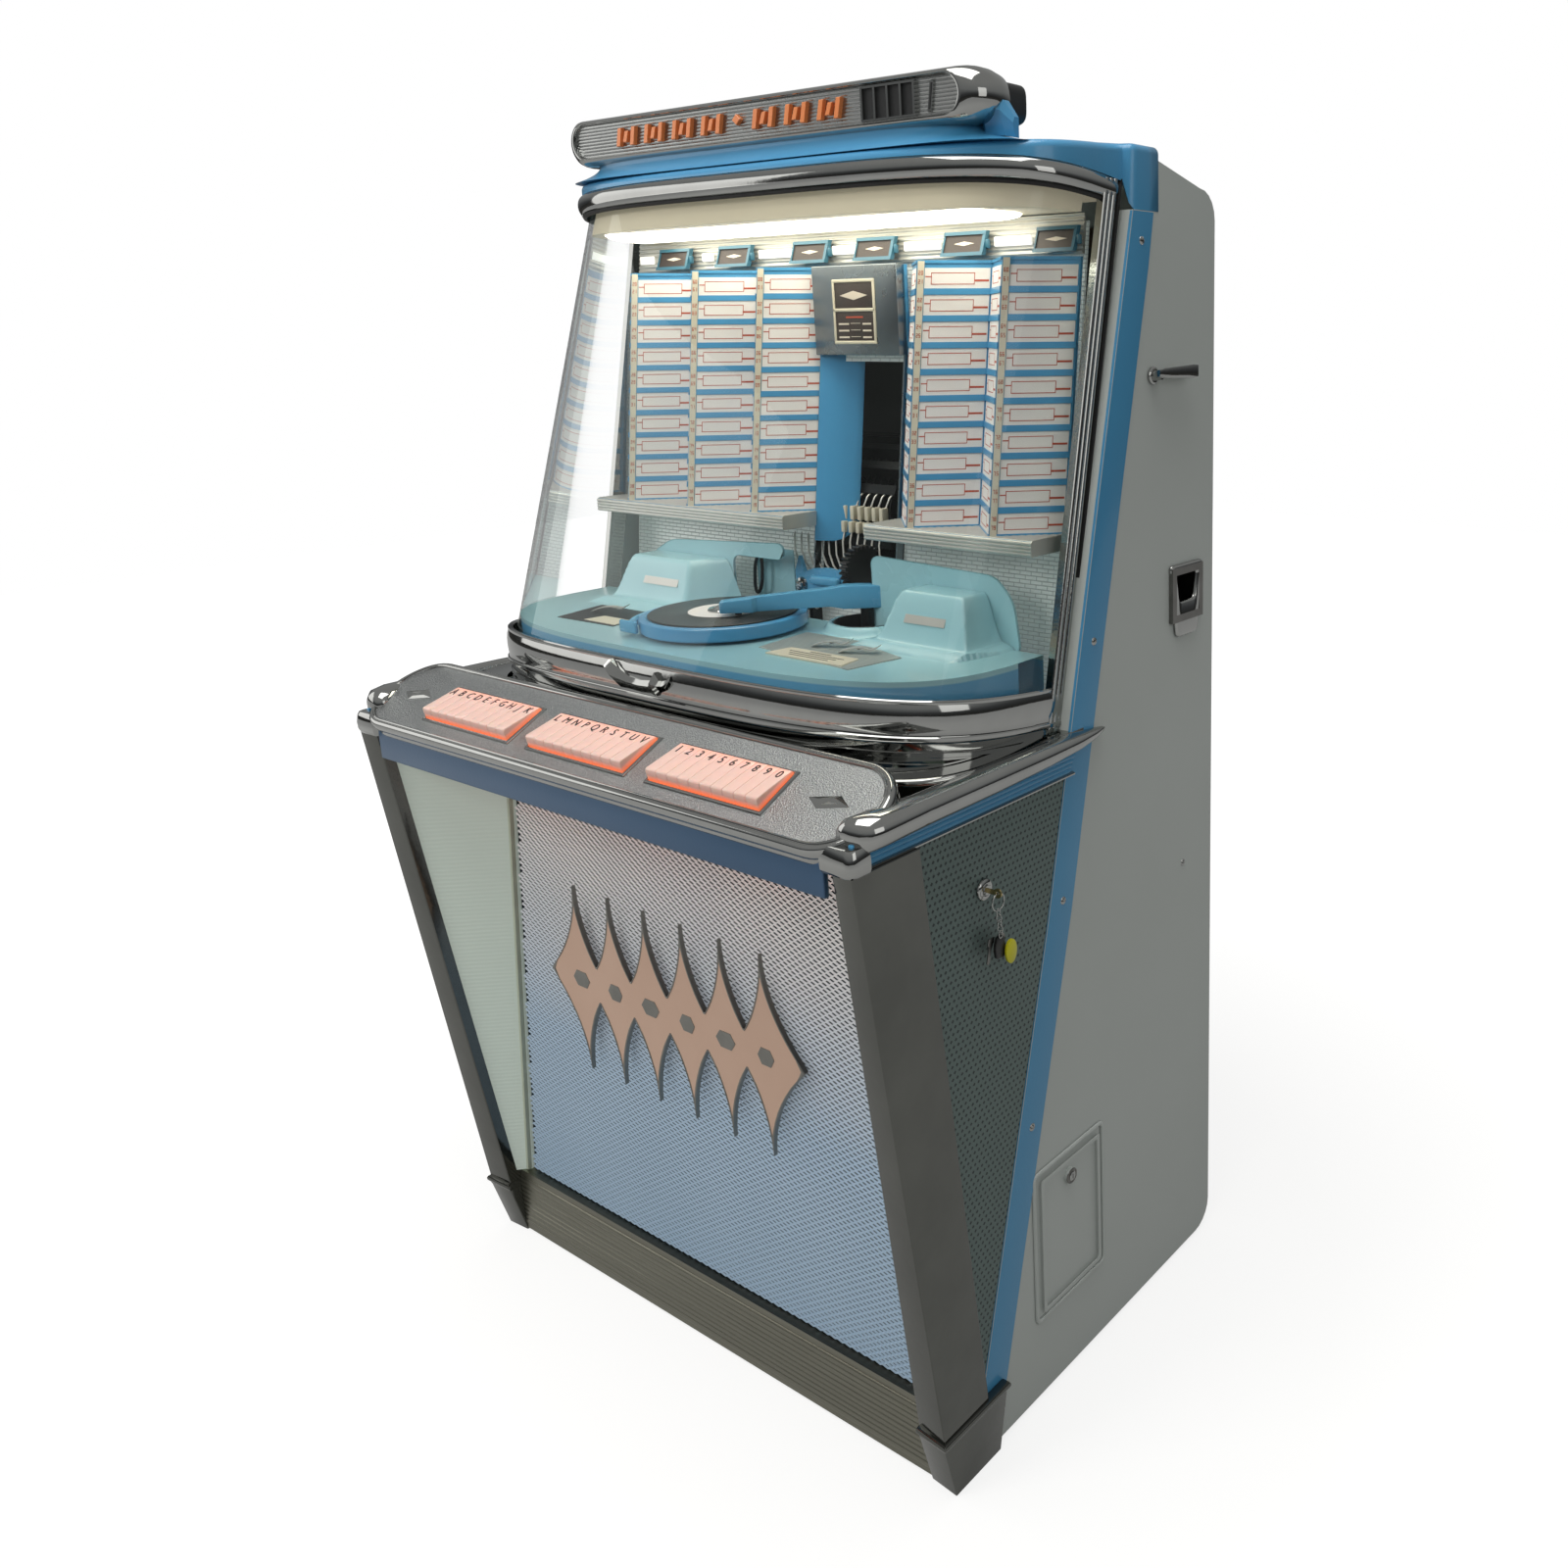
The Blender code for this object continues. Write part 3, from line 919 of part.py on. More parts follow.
def record_magazine():
    """A drum on a sideways shaft with a slot for each record round it."""
    outline = []
    for tooth in range(MAGAZINE_TEETH):
        for share, radius in ((0, MAGAZINE_CORE), (0.5 - TOOTH_SHARE / 2, MAGAZINE_CORE), (0.5 - TOOTH_SHARE / 2, MAGAZINE_RADIUS), (0.5 + TOOTH_SHARE / 2, MAGAZINE_RADIUS), (0.5 + TOOTH_SHARE / 2, MAGAZINE_CORE)):
            turn = math.tau * (tooth + share) / MAGAZINE_TEETH
            outline.append((MAGAZINE_Y + radius * math.cos(turn), MAGAZINE_Z + radius * math.sin(turn)))
    drum = prism(0, outline, MAGAZINE_X - MAGAZINE_HALF, MAGAZINE_X + MAGAZINE_HALF)
    end = MAGAZINE_HALF + YOKE_GAP + YOKE_THICK
    shaft = rod((MAGAZINE_X - end, MAGAZINE_Y, MAGAZINE_Z), (MAGAZINE_X + end, MAGAZINE_Y, MAGAZINE_Z), SHAFT_RADIUS, 12)
    piece("record_magazine", STEEL, drum, [shaft])


TILT = math.radians(CONSOLE_TILT)


def tilted(x, along, above):
    """A point on the console's slope: along runs up the slope, above is square to it."""
    return (x, CONSOLE_FRONT_Y + along * math.cos(TILT) - above * math.sin(TILT),
            CONSOLE_FRONT_Z + along * math.sin(TILT) + above * math.cos(TILT))


def slope_stadium(half, radius, low, high):
    """A round-ended block on the console's slope, between two heights above it."""
    right = arc((half - radius, STADIUM_MID), radius, -90, 90, 8)
    left = arc((radius - half, STADIUM_MID), radius, 90, 270, 8)
    return loft([[tilted(x, along, above) for x, along in right + left] for above in (low, high)])


def slope_box(low, high):
    """A box on the console's slope."""
    corners = [(low[0], low[1]), (high[0], low[1]), (high[0], high[1]), (low[0], high[1])]
    return loft([[tilted(x, along, above) for x, along in corners] for above in (low[2], high[2])])


BANK_WIDTH = KEYS_PER_BANK * KEY_PITCH
BANKS = [(index - 1) * (BANK_WIDTH + BANK_GAP) for index in range(3)]
REACH = HALF + TRIM_PROUD + GAP
RIM_HALF = STADIUM_HALF + RIM_WIDTH


def behind_front():
    """Everything behind the cabinet's front edges, so that what meets them keeps its gap."""
    line = [(front_line(z) - GAP, z) for z in (-OVERRUN, CABINET_FLOOR_Z, KNEE_Z, SEAM_Z)]
    return prism(0, line + [(CABINET_BACK_Y, SEAM_Z), (CABINET_BACK_Y, -OVERRUN)], -REACH, REACH)


def wing(sign):
    """A bullet-shaped chrome wing along the side, tapering to its tip."""
    rings = []
    length = WING_TIP_Y - WING_FRONT_Y
    for share, fat in ((0, 1.0), (0.3, 1.0), (0.6, 0.82), (0.85, 0.5), (1.0, 0.2)):
        radius = WING_RADIUS * fat
        x = sign * (WING_X - (WING_RADIUS - radius) * WING_TUCK_SHARE)
        y = WING_FRONT_Y + length * share
        rings.append([(x + a, y, WING_Z + b) for a, b in arc((0, 0), radius, 0, 330, 11)])
    return loft(rings)


def console_frame():
    """The chrome console casting: nose, fascia, side trims, wings and the ledge under the lid."""
    nose = slope_stadium(RIM_HALF, STADIUM_RADIUS + RIM_WIDTH, -NOSE_DEEP, RIM_PROUD)
    seat = slope_stadium(STADIUM_HALF + GAP, STADIUM_RADIUS + GAP, -PLATE_THICK - GAP, NOSE_DEEP)
    inner_half = STADIUM_HALF - RIM_WIDTH
    hollow = slope_stadium(inner_half, STADIUM_RADIUS - RIM_WIDTH, -NOSE_DEEP - OVERRUN, NOSE_DEEP)
    back_y = tilted(0, STADIUM_MID + STADIUM_RADIUS + RIM_WIDTH, 0)[1]
    front_z = tilted(0, STADIUM_MID - STADIUM_RADIUS, 0)[2]
    wall = BODY_WALL
    fascia = box((-FASCIA_HALF, FASCIA_Y, FASCIA_LOW_Z), (FASCIA_HALF, FASCIA_Y + wall, front_z))
    sides = [box((min(sign * BODY_HALF, sign * (BODY_HALF - wall)), FASCIA_Y, WING_TRIM_LOW_Z),
                 (max(sign * BODY_HALF, sign * (BODY_HALF - wall)), SHELF_FRONT_Y, WING_Z)) for sign in (-1, 1)]
    ledge = box((-BODY_HALF, back_y - wall, LEDGE_TOP_Z - LEDGE_THICK), (BODY_HALF, SHELF_FRONT_Y, LEDGE_TOP_Z))
    bridge = box((-inner_half, back_y - wall, LEDGE_TOP_Z - LEDGE_THICK), (inner_half, LOW_BAND_FRONT_Y + GROOVE_IN + wall / 2, LEDGE_TOP_Z + 2 * LEDGE_THICK))
    rise = LOW_BAND_Z - LEDGE_TOP_Z - GAP
    groove = band(LID_HALF_WIDTH - GROOVE_IN, LOW_BAND_FRONT_Y + GROOVE_IN, LOW_BAND_REAR_Y, LOW_CURVE_SHARE,
                  LOW_BAND_Z - rise - GAP - LID_SLOPE_SHARE * GROOVE_IN, rise, BAND_THICK)
    bay = prism(2, lid_curve(TRAY_HALF - 2 * TRAY_THICK, TRAY_FRONT_Y + 2 * TRAY_THICK, SHELF_FRONT_Y + OVERRUN, LOW_CURVE_SHARE, CURVE_STEPS),
                FASCIA_LOW_Z, WING_Z + OVERRUN + wall)
    piece("console_frame", CHROME, nose, [fascia] + sides + [wing(-1), wing(1), ledge, bridge, groove],
          [hollow, seat, bay, behind_front()])


def console_panel():
    """A grained cast panel with an opening for each bank of keys."""
    plate = slope_stadium(STADIUM_HALF, STADIUM_RADIUS, -PLATE_THICK, 0)
    holes = [slope_box((middle - BANK_WIDTH / 2 - KEY_SLOT_GAP, -KEY_SLOT_GAP, -OVERRUN),
                       (middle + BANK_WIDTH / 2 + KEY_SLOT_GAP, KEY_LENGTH + KEY_SLOT_GAP, OVERRUN)) for middle in BANKS]
    piece("console_panel", ALUMINIUM, plate, cut=holes)


def keys():
    """Thirty wedge-shaped keys in three banks, each sliding square to the console's slope."""
    names = ["abcdefghjk", "lmnpqrstuv", "1234567890"]
    for middle, bank in zip(BANKS, names):
        for index, mark in enumerate(bank):
            left = middle - BANK_WIDTH / 2 + index * KEY_PITCH + KEY_SIDE_GAP / 2
            right = left + KEY_PITCH - KEY_SIDE_GAP
            round_off = KEY_FRONT_RISE / 5
            section = [(0, -KEY_DEEP), (KEY_LENGTH, -KEY_DEEP), (KEY_LENGTH, KEY_REAR_RISE), (2 * round_off, KEY_FRONT_RISE),
                       (round_off, KEY_FRONT_RISE - round_off / 2), (round_off / 2, KEY_FRONT_RISE - 2 * round_off)]
            piece("key_" + mark, SALMON, loft([[tilted(x, along, above) for along, above in section] for x in (left, right)]))


def pillar_ring(z):
    """The pillar's plan at height z: it widens in front and narrows at the side going down."""
    share = (z - PILLAR_FOOT_Z) / (PILLAR_TOP_Z - PILLAR_FOOT_Z)
    edge = PILLAR_FOOT_Y + (PILLAR_TOP_Y - PILLAR_FOOT_Y) * share
    front = PILLAR_FRONT_FOOT + (PILLAR_FRONT_TOP - PILLAR_FRONT_FOOT) * share
    side = PILLAR_SIDE_FOOT + (PILLAR_SIDE_TOP - PILLAR_SIDE_FOOT) * share
    return edge, PILLAR_X - front, edge + side


def pillar(name, sign):
    """A chrome pillar leaning forward, with its collar and tapered foot."""
    rings = []
    for z in (PILLAR_FOOT_Z - LAP, PILLAR_TOP_Z):
        edge, inner, rear = pillar_ring(z)
        rings.append([(sign * inner, edge + COLLAR_PROUD, z), (sign * PILLAR_X, edge, z), (sign * PILLAR_X, rear, z), (sign * inner, rear, z)])
    edge, inner, rear = pillar_ring(PILLAR_FOOT_Z)
    collar = box((min(sign * inner, sign * (PILLAR_X + COLLAR_PROUD)), edge - COLLAR_PROUD, PILLAR_FOOT_Z - COLLAR_HEIGHT),
                 (max(sign * inner, sign * (PILLAR_X + COLLAR_PROUD)), COLLAR_REAR_Y, PILLAR_FOOT_Z))
    foot = []
    for z, front, back, tuck in ((0, FOOT_BASE_FRONT_Y, FOOT_BASE_REAR_Y, FOOT_BASE_IN), (PILLAR_FOOT_Z - COLLAR_HEIGHT + LAP, edge, COLLAR_REAR_Y - COLLAR_PROUD, 0)):
        foot.append([(sign * inner, front, z), (sign * (PILLAR_X - tuck), front, z), (sign * (PILLAR_X - tuck), back, z), (sign * inner, back, z)])
    piece(name, CHROME, loft(rings), [collar, loft(foot)], [behind_front()])


def grille_half(z):
    """Half the grille's width: it narrows going up, as the light panels widen."""
    return GRILLE_LOW_HALF + (GRILLE_TOP_HALF - GRILLE_LOW_HALF) * (z - GRILLE_LOW_Z) / (GRILLE_TOP_Z - GRILLE_LOW_Z)


def front_grille():
    """The mesh panel in front of the loudspeakers, standing on the kick rail."""
    low, top = GRILLE_LOW_Z, GRILLE_TOP_Z
    outline = [(-grille_half(low), low), (grille_half(low), low), (grille_half(top), top), (-grille_half(top), top)]
    piece("front_grille", STEEL, prism(1, outline, GRILLE_Y, GRILLE_Y + GRILLE_THICK))


def kick_rail():
    """A ribbed aluminium rail between the feet."""
    half = PILLAR_X - PILLAR_FRONT_FOOT - GAP
    piece("kick_rail", ALUMINIUM, box((-half, KICK_Y, KICK_LOW_Z), (half, KICK_Y + KICK_THICK, KICK_TOP_Z)))


def badge():
    """A flat star band with a point at each end and a row of spikes above and below, on two pins."""
    tips = []
    pitch = 2 * (BADGE_HALF - BADGE_SPIKE / 2) / (BADGE_SPIKES - 1)
    first = -pitch * (BADGE_SPIKES - 1) / 2
    waist = pitch * BADGE_WAIST_SHARE
    for index in range(BADGE_SPIKES):
        x = first + index * pitch
        tips += [(x - waist, BADGE_WAIST), (x, BADGE_SPIKE), (x + waist, BADGE_WAIST)]
        if index < BADGE_SPIKES - 1:
            tips.append((x + pitch / 2, BADGE_VALLEY))
    outline = [(-BADGE_HALF, BADGE_MID_Z)] + [(x, BADGE_MID_Z + z) for x, z in tips]
    outline += [(BADGE_HALF, BADGE_MID_Z)] + [(x, BADGE_MID_Z - z) for x, z in reversed(tips)]
    back = GRILLE_Y - BADGE_STAND_OFF
    pins = [rod((sign * BADGE_HALF / 2, back - LAP, BADGE_MID_Z), (sign * BADGE_HALF / 2, GRILLE_Y - GAP, BADGE_MID_Z), BADGE_PIN_RADIUS, 10)
            for sign in (-1, 1)]
    piece("badge", BEIGE, prism(1, outline, back - BADGE_THICK, back), pins)


def side_box(name, sign):
    """The fixed side enclosure: outer grille sheet, web behind the pillar and the lit inner panel."""
    rings = []
    for z in (KICK_TOP_Z, WING_TRIM_LOW_Z - GAP):
        edge, inner, rear = pillar_ring(z)
        web = rear + GAP
        end = max(front_line(z) - 2 * GAP, web + SHEET + LAP)
        lip = grille_half(z) + GAP
        start = edge + SIDE_PANEL_BACK
        outer = [(SIDE_FACE_X, end), (SIDE_FACE_X, web), (inner - GAP, web), (inner - GAP, start), (lip, GRILLE_Y), (lip, GRILLE_Y + BAFFLE_GAP - GAP)]
        back = [(lip + SHEET, GRILLE_Y + BAFFLE_GAP - GAP), (lip + SHEET, GRILLE_Y + SHEET), (inner - GAP - SHEET, start + SHEET),
                (inner - GAP - SHEET, web + SHEET), (SIDE_FACE_X - SHEET, web + SHEET), (SIDE_FACE_X - SHEET, end)]
        rings.append([(sign * x, y, z) for x, y in outer + back])
    cuts = [behind_front()]
    if sign > 0:
        cuts.append(rod((SIDE_FACE_X - OVERRUN, LOCK_Y, LOCK_Z), (SIDE_FACE_X + OVERRUN, LOCK_Y, LOCK_Z), LOCK_RADIUS + GAP, 16))
    piece(name, ALUMINIUM, loft(rings), cut=cuts)


def speaker_baffle():
    """A board standing behind the grille with a bass driver and two treble drivers."""
    front = GRILLE_Y + BAFFLE_GAP
    back = front + BAFFLE_THICK
    low, top = FLOOR_TOP_Z + GAP, GRILLE_TOP_Z
    inset = BAFFLE_THICK
    outline = [(-grille_half(low) + inset, low), (grille_half(low) - inset, low), (grille_half(top) - inset, top), (inset - grille_half(top), top)]
    drivers, bowls = [], []
    for x, z, radius in ((WOOFER_X, WOOFER_Z, WOOFER_RADIUS), (-TWEETER_X, TWEETER_Z, TWEETER_RADIUS), (TWEETER_X, TWEETER_Z, TWEETER_RADIUS)):
        depth = CONE_DEPTH * radius / WOOFER_RADIUS
        magnet = radius * MAGNET_SHARE
        drivers.append(rod((x, back - LAP, z), (x, back + depth, z), radius, 24, magnet))
        drivers.append(rod((x, back + depth - LAP, z), (x, back + 2 * depth, z), magnet, 16))
        bowls.append(rod((x, front - LAP, z), (x, back + depth - LAP, z), radius - SHEET, 24, magnet / 2))
    piece("speaker_baffle", BOARD, prism(1, outline, front, back), drivers, bowls)


def amplifier():
    """A valve amplifier on the cabinet floor."""
    low = FLOOR_TOP_Z + GAP
    top = low + AMP_HEIGHT
    left, front = AMP_X - AMP_WIDTH / 2, AMP_Y - AMP_DEPTH / 2
    chassis = box((left, front, low), (left + AMP_WIDTH, front + AMP_DEPTH, top))
    pitch = AMP_WIDTH / (VALVES + 2)
    parts = [rod((left + (index + 0.5) * pitch, AMP_Y, top - LAP), (left + (index + 0.5) * pitch, AMP_Y, top + VALVE_HEIGHT), VALVE_RADIUS, 14)
             for index in range(VALVES)]
    start = left + (VALVES + 0.25) * pitch
    parts.append(box((start, AMP_Y - TRANSFORMER / 2, top - LAP), (start + TRANSFORMER, AMP_Y + TRANSFORMER / 2, top + TRANSFORMER)))
    piece("amplifier", STEEL, chassis, parts)


cabinet()
rear_door()
cash_door()
coin_unit()
coin_return_lever()
side_lock()
roof_cowl()
sign_housing()
lid_frame()
lid_glass()
lamp_tray()
inner_panel()
title_rack()
mechanism_tray()
mechanism_base()
turntable()
tonearm()
gripper_arm()
record_magazine()
console_frame()
console_panel()
keys()
front_grille()
kick_rail()
badge()
pillar("pillar_left", -1)
pillar("pillar_right", 1)
side_box("side_box_left", -1)
side_box("side_box_right", 1)
speaker_baffle()
amplifier()
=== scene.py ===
"""Looks of the coin-operated record player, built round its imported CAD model."""
import math

import bpy
import numpy as np
from mathutils import Matrix, Vector


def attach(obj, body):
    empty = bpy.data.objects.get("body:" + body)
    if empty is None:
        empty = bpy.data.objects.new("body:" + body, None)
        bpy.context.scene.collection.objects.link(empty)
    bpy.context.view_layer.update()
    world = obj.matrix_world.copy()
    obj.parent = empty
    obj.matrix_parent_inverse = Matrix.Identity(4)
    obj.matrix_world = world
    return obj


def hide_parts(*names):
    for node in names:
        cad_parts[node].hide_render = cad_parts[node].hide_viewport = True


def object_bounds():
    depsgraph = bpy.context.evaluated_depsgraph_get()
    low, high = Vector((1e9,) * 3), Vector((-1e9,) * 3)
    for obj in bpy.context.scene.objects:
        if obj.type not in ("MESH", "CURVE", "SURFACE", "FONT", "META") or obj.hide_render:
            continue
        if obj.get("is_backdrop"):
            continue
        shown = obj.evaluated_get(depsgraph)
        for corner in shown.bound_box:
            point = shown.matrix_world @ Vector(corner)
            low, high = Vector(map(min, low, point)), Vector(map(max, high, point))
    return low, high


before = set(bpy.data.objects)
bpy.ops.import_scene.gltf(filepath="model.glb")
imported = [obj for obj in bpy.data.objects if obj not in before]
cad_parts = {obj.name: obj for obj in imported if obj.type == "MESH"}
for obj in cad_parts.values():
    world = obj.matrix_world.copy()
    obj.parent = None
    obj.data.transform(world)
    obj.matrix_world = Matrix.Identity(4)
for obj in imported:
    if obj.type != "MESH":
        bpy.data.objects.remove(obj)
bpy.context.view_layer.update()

# The photograph's viewpoint: standing height, from the front right, slightly off the lens axis.
camera_data = bpy.data.cameras.new("viewpoint")
camera_data.lens = 30.56
camera_data.shift_x, camera_data.shift_y = -0.22, -0.08
camera_data.clip_start = 0.01
viewpoint = bpy.data.objects.new("viewpoint", camera_data)
bpy.context.collection.objects.link(viewpoint)
viewpoint.matrix_world = (Matrix.Translation((1.254, -1.1021, 1.2424)) @ Matrix.Rotation(math.radians(34.0), 4, "Z")
                          @ Matrix.Rotation(math.radians(90 - 13.95), 4, "X") @ Matrix.Rotation(math.radians(-0.48),
                          4, "Z"))
bpy.context.scene.camera = viewpoint
bpy.context.scene.view_settings.view_transform = "Standard"


# A wide white studio floor, and soft lamps from the front, side and above. The camera sees the
# backdrop as plain white; the object is lit by the lamps and a grey room.
def linear(code):
    """Red, green and blue in linear light from an sRGB hex code: each channel is raised to the sRGB curve's power."""
    values = np.array([int(code[i:i + 2], 16) for i in (1, 3, 5)]) / 255
    curve = np.where(values <= 0.04045, values / 12.92, ((values + 0.055) / 1.055) ** 2.4)
    return (*curve.tolist(), 1.0)


def add(tree, kind, feeds=None, **settings):
    """Adds a node, sets its properties, and fills each named or numbered input with a value or a link."""
    made = tree.nodes.new("ShaderNode" + kind)
    for name, value in settings.items():
        setattr(made, name, value)
    for name, value in (feeds or {}).items():
        if isinstance(value, bpy.types.NodeSocket):
            tree.links.new(value, made.inputs[name])
        else:
            made.inputs[name].default_value = value
    return made


def blank(name):
    """A material with an empty tree and its output node."""
    material = bpy.data.materials.new(name)
    material.use_nodes = True
    material.node_tree.nodes.clear()
    return material, material.node_tree, add(material.node_tree, "OutputMaterial")


def grid_faces(rows, columns, wrap_rows, wrap_columns):
    """Quads between neighbouring points of a grid: each joins (r, c), (r, c+1), (r+1, c+1) and (r+1, c)."""
    r = np.arange(rows if wrap_rows else rows - 1)[:, None]
    c = np.arange(columns if wrap_columns else columns - 1)[None, :]
    r2, c2 = (r + 1) % rows, (c + 1) % columns
    return np.stack([r * columns + c, r * columns + c2, r2 * columns + c2, r2 * columns + c], -1).reshape(-1, 4)


def surface(name, grid, material, wrap_rows=False, wrap_columns=False, caps=False, sharp=40.0):
    """A mesh object over a grid of points, with flat caps on the first and last rows when asked.
    Faces sharper than the given angle keep a crisp edge."""
    grid = np.asarray(grid, float)
    rows, columns = grid.shape[:2]
    faces = [tuple(f) for f in grid_faces(rows, columns, wrap_rows, wrap_columns).tolist()]
    if caps:
        faces += [tuple(range(columns))[::-1], tuple(range((rows - 1) * columns, rows * columns))]
    return body_of(name, grid.reshape(-1, 3), faces, material, sharp)


def body_of(name, points, faces, material, sharp=40.0):
    """A mesh object from points and faces, turned outwards where it is closed, smooth below the sharp angle."""
    mesh = bpy.data.meshes.new(name)
    mesh.from_pydata(np.asarray(points, float).tolist(), [], faces)
    mesh.update()
    volume = 0.0
    mesh.calc_loop_triangles()
    corners = np.array([v.co for v in mesh.vertices])
    triangles = np.array([t.vertices[:] for t in mesh.loop_triangles])
    a, b, c = (corners[triangles[:, i]] for i in range(3))
    volume = float(np.einsum("ij,ij->i", a - corners.mean(0),
            np.cross(b - corners.mean(0), c - corners.mean(0))).sum())
    if volume < 0:
        mesh.flip_normals()
    mesh.shade_smooth()
    mesh.set_sharp_from_angle(angle=math.radians(sharp))
    mesh.materials.append(material)
    made = bpy.data.objects.new(name, mesh)
    bpy.context.collection.objects.link(made)
    return made


floor_paper, tree, out = blank("studio_floor")
rays = add(tree, "LightPath")
seen = add(tree, "Math", {0: rays.outputs["Is Camera Ray"],
                          1: add(tree, "Math", {0: rays.outputs["Is Glossy Ray"], 1: 0.34,
                          2: rays.outputs["Is Transmission Ray"]}, operation="MULTIPLY_ADD").outputs[0]},
                          operation="MAXIMUM")
away = add(tree, "VectorMath", {0: add(tree, "TexCoord").outputs["Object"]}, operation="LENGTH")
glow = add(tree, "MapRange", {"Value": away.outputs["Value"], "From Min": 0.7, "From Max": 2.2, "To Min": 0.80,
        "To Max": 1.0})
lit = add(tree, "Math", {0: glow.outputs[0], 1: seen.outputs[0]}, operation="MULTIPLY")
shader = add(tree, "BsdfPrincipled",
             {"Base Color": linear("#8C8C8A"), "Roughness": 0.9, "Specular IOR Level": 0.0,
              "Emission Color": (1, 1, 1, 1), "Emission Strength": lit.outputs[0]})
tree.links.new(shader.outputs[0], out.inputs["Surface"])
floor = body_of("studio_floor", [(-7, -7, 0), (7, -7, 0), (7, 7, 0), (-7, 7, 0)], [(0, 1, 2, 3)], floor_paper)
floor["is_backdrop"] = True

room = bpy.data.worlds.new("studio_room")
bpy.context.scene.world = room
room.use_nodes = True
tree = room.node_tree
tree.nodes.clear()
rays = add(tree, "LightPath")
clear = add(tree, "Math", {0: rays.outputs["Is Camera Ray"], 1: rays.outputs["Is Transmission Ray"]},
            operation="MAXIMUM")
height = add(tree, "SeparateXYZ", {0: add(tree, "TexCoord").outputs["Generated"]})
bands = add(tree, "ValToRGB", {"Fac": add(tree, "MapRange",
        {"Value": height.outputs["Z"], "From Min": -1.0, "From Max": 1.0}).outputs[0]})
bands.color_ramp.elements[0].position, bands.color_ramp.elements[0].color = 0.30, linear("#8E8B84")
bands.color_ramp.elements[1].position, bands.color_ramp.elements[1].color = 0.80, linear("#E6E6E4")
for place, code in ((0.47, "#4A4A48"), (0.53, "#6E7072"), (0.62, "#C9CBCB")):
    step = bands.color_ramp.elements.new(place)
    step.color = linear(code)
grey_room = add(tree, "Background", {"Color": bands.outputs["Color"], "Strength": 0.47})
white_room = add(tree, "Background", {"Color": (1, 1, 1, 1), "Strength": 1.0})
mixed = add(tree, "MixShader", {"Fac": clear.outputs[0], 1: grey_room.outputs[0], 2: white_room.outputs[0]})
tree.links.new(mixed.outputs[0], add(tree, "OutputWorld").inputs["Surface"])

for name, place, aim, size, watts in (("key_softbox", (-1.1, -3.3, 2.7), (0, 0, 0.8), 1.6, 46),
        ("fill_softbox", (-2.8, -1.4, 1.6), (0, 0, 0.7), 1.8, 14),
                                      ("top_softbox", (0.2, -0.5, 3.3), (0, 0, 0.9), 2.0, 46),
                                      ("side_softbox", (3.4, -0.6, 1.9), (0, 0.1, 0.8), 1.6, 9)):
    lamp = bpy.data.lights.new(name, "AREA")
    lamp.shape, lamp.size, lamp.energy, lamp.color = "SQUARE", size, watts, (1.0, 0.985, 0.96)
    holder = bpy.data.objects.new(name, lamp)
    bpy.context.collection.objects.link(holder)
    toward = np.array(aim, float) - np.array(place, float)
    holder.visible_glossy = name != "key_softbox"
    holder.matrix_world = Matrix.Translation(place) @ Vector(toward).to_track_quat("-Z", "Y").to_matrix().to_4x4()


# Cabinet: a glued carcass of painted board, off-white, standing on rear glides. The paint was
# sprayed, so it has a faint orange peel and slightly yellowed patches.
def sprayed(name, code, shade, rough=0.38, metal=0.0, patch=3.0, peel=260.0, depth=0.0002, gloss=0.0, spread=0.5):
    """A coat whose colour drifts between two shades in large soft patches, with a fine peel in its relief."""
    material, tree, out = blank(name)
    place = add(tree, "TexCoord").outputs["Object"]
    patches = add(tree, "TexNoise", {"Vector": place, "Scale": patch, "Detail": 4.0, "Roughness": 0.6})
    drift = add(tree, "MapRange", {"Value": patches.outputs["Fac"], "From Min": 0.3, "From Max": 0.7,
            "To Max": spread})
    colour = add(tree, "Mix", {"Factor": drift.outputs[0], 6: linear(code), 7: linear(shade)}, data_type="RGBA")
    fine = add(tree, "TexNoise", {"Vector": place, "Scale": peel, "Detail": 2.0})
    relief = add(tree, "Bump", {"Height": fine.outputs["Fac"], "Strength": 0.5, "Distance": depth})
    sheen = add(tree, "MapRange", {"Value": patches.outputs["Fac"], "To Min": rough * 0.8, "To Max": rough * 1.25})
    shader = add(tree, "BsdfPrincipled",
                 {"Base Color": colour.outputs[2], "Roughness": sheen.outputs[0], "Metallic": metal,
                                          "Normal": relief.outputs[0], "Coat Weight": gloss, "Coat Roughness": 0.08})
    tree.links.new(shader.outputs[0], out.inputs["Surface"])
    return material


def dress(node, material):
    """Gives a CAD node's faces one finish."""
    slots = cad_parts[node].data.materials
    slots.clear()
    slots.append(material)


cream_paint = sprayed("cream_sprayed_paint", "#C6CCC9", "#BBC1BC", 0.42, patch=1.6)
dress("cabinet_shell", cream_paint)
fibreboard = sprayed("dark_fibreboard", "#4A3A2C", "#33281F", 0.85, patch=30.0, peel=900.0, depth=0.0006)
dress("rear_door", fibreboard)
dress("speaker_baffle", fibreboard)
zinc = sprayed("zinc_plated_steel", "#9C9C96", "#80807A", 0.4, 1.0, patch=18.0, peel=500.0)
for node in ("coin_unit", "amplifier", "record_magazine", "mechanism_base"):
    dress(node, zinc)

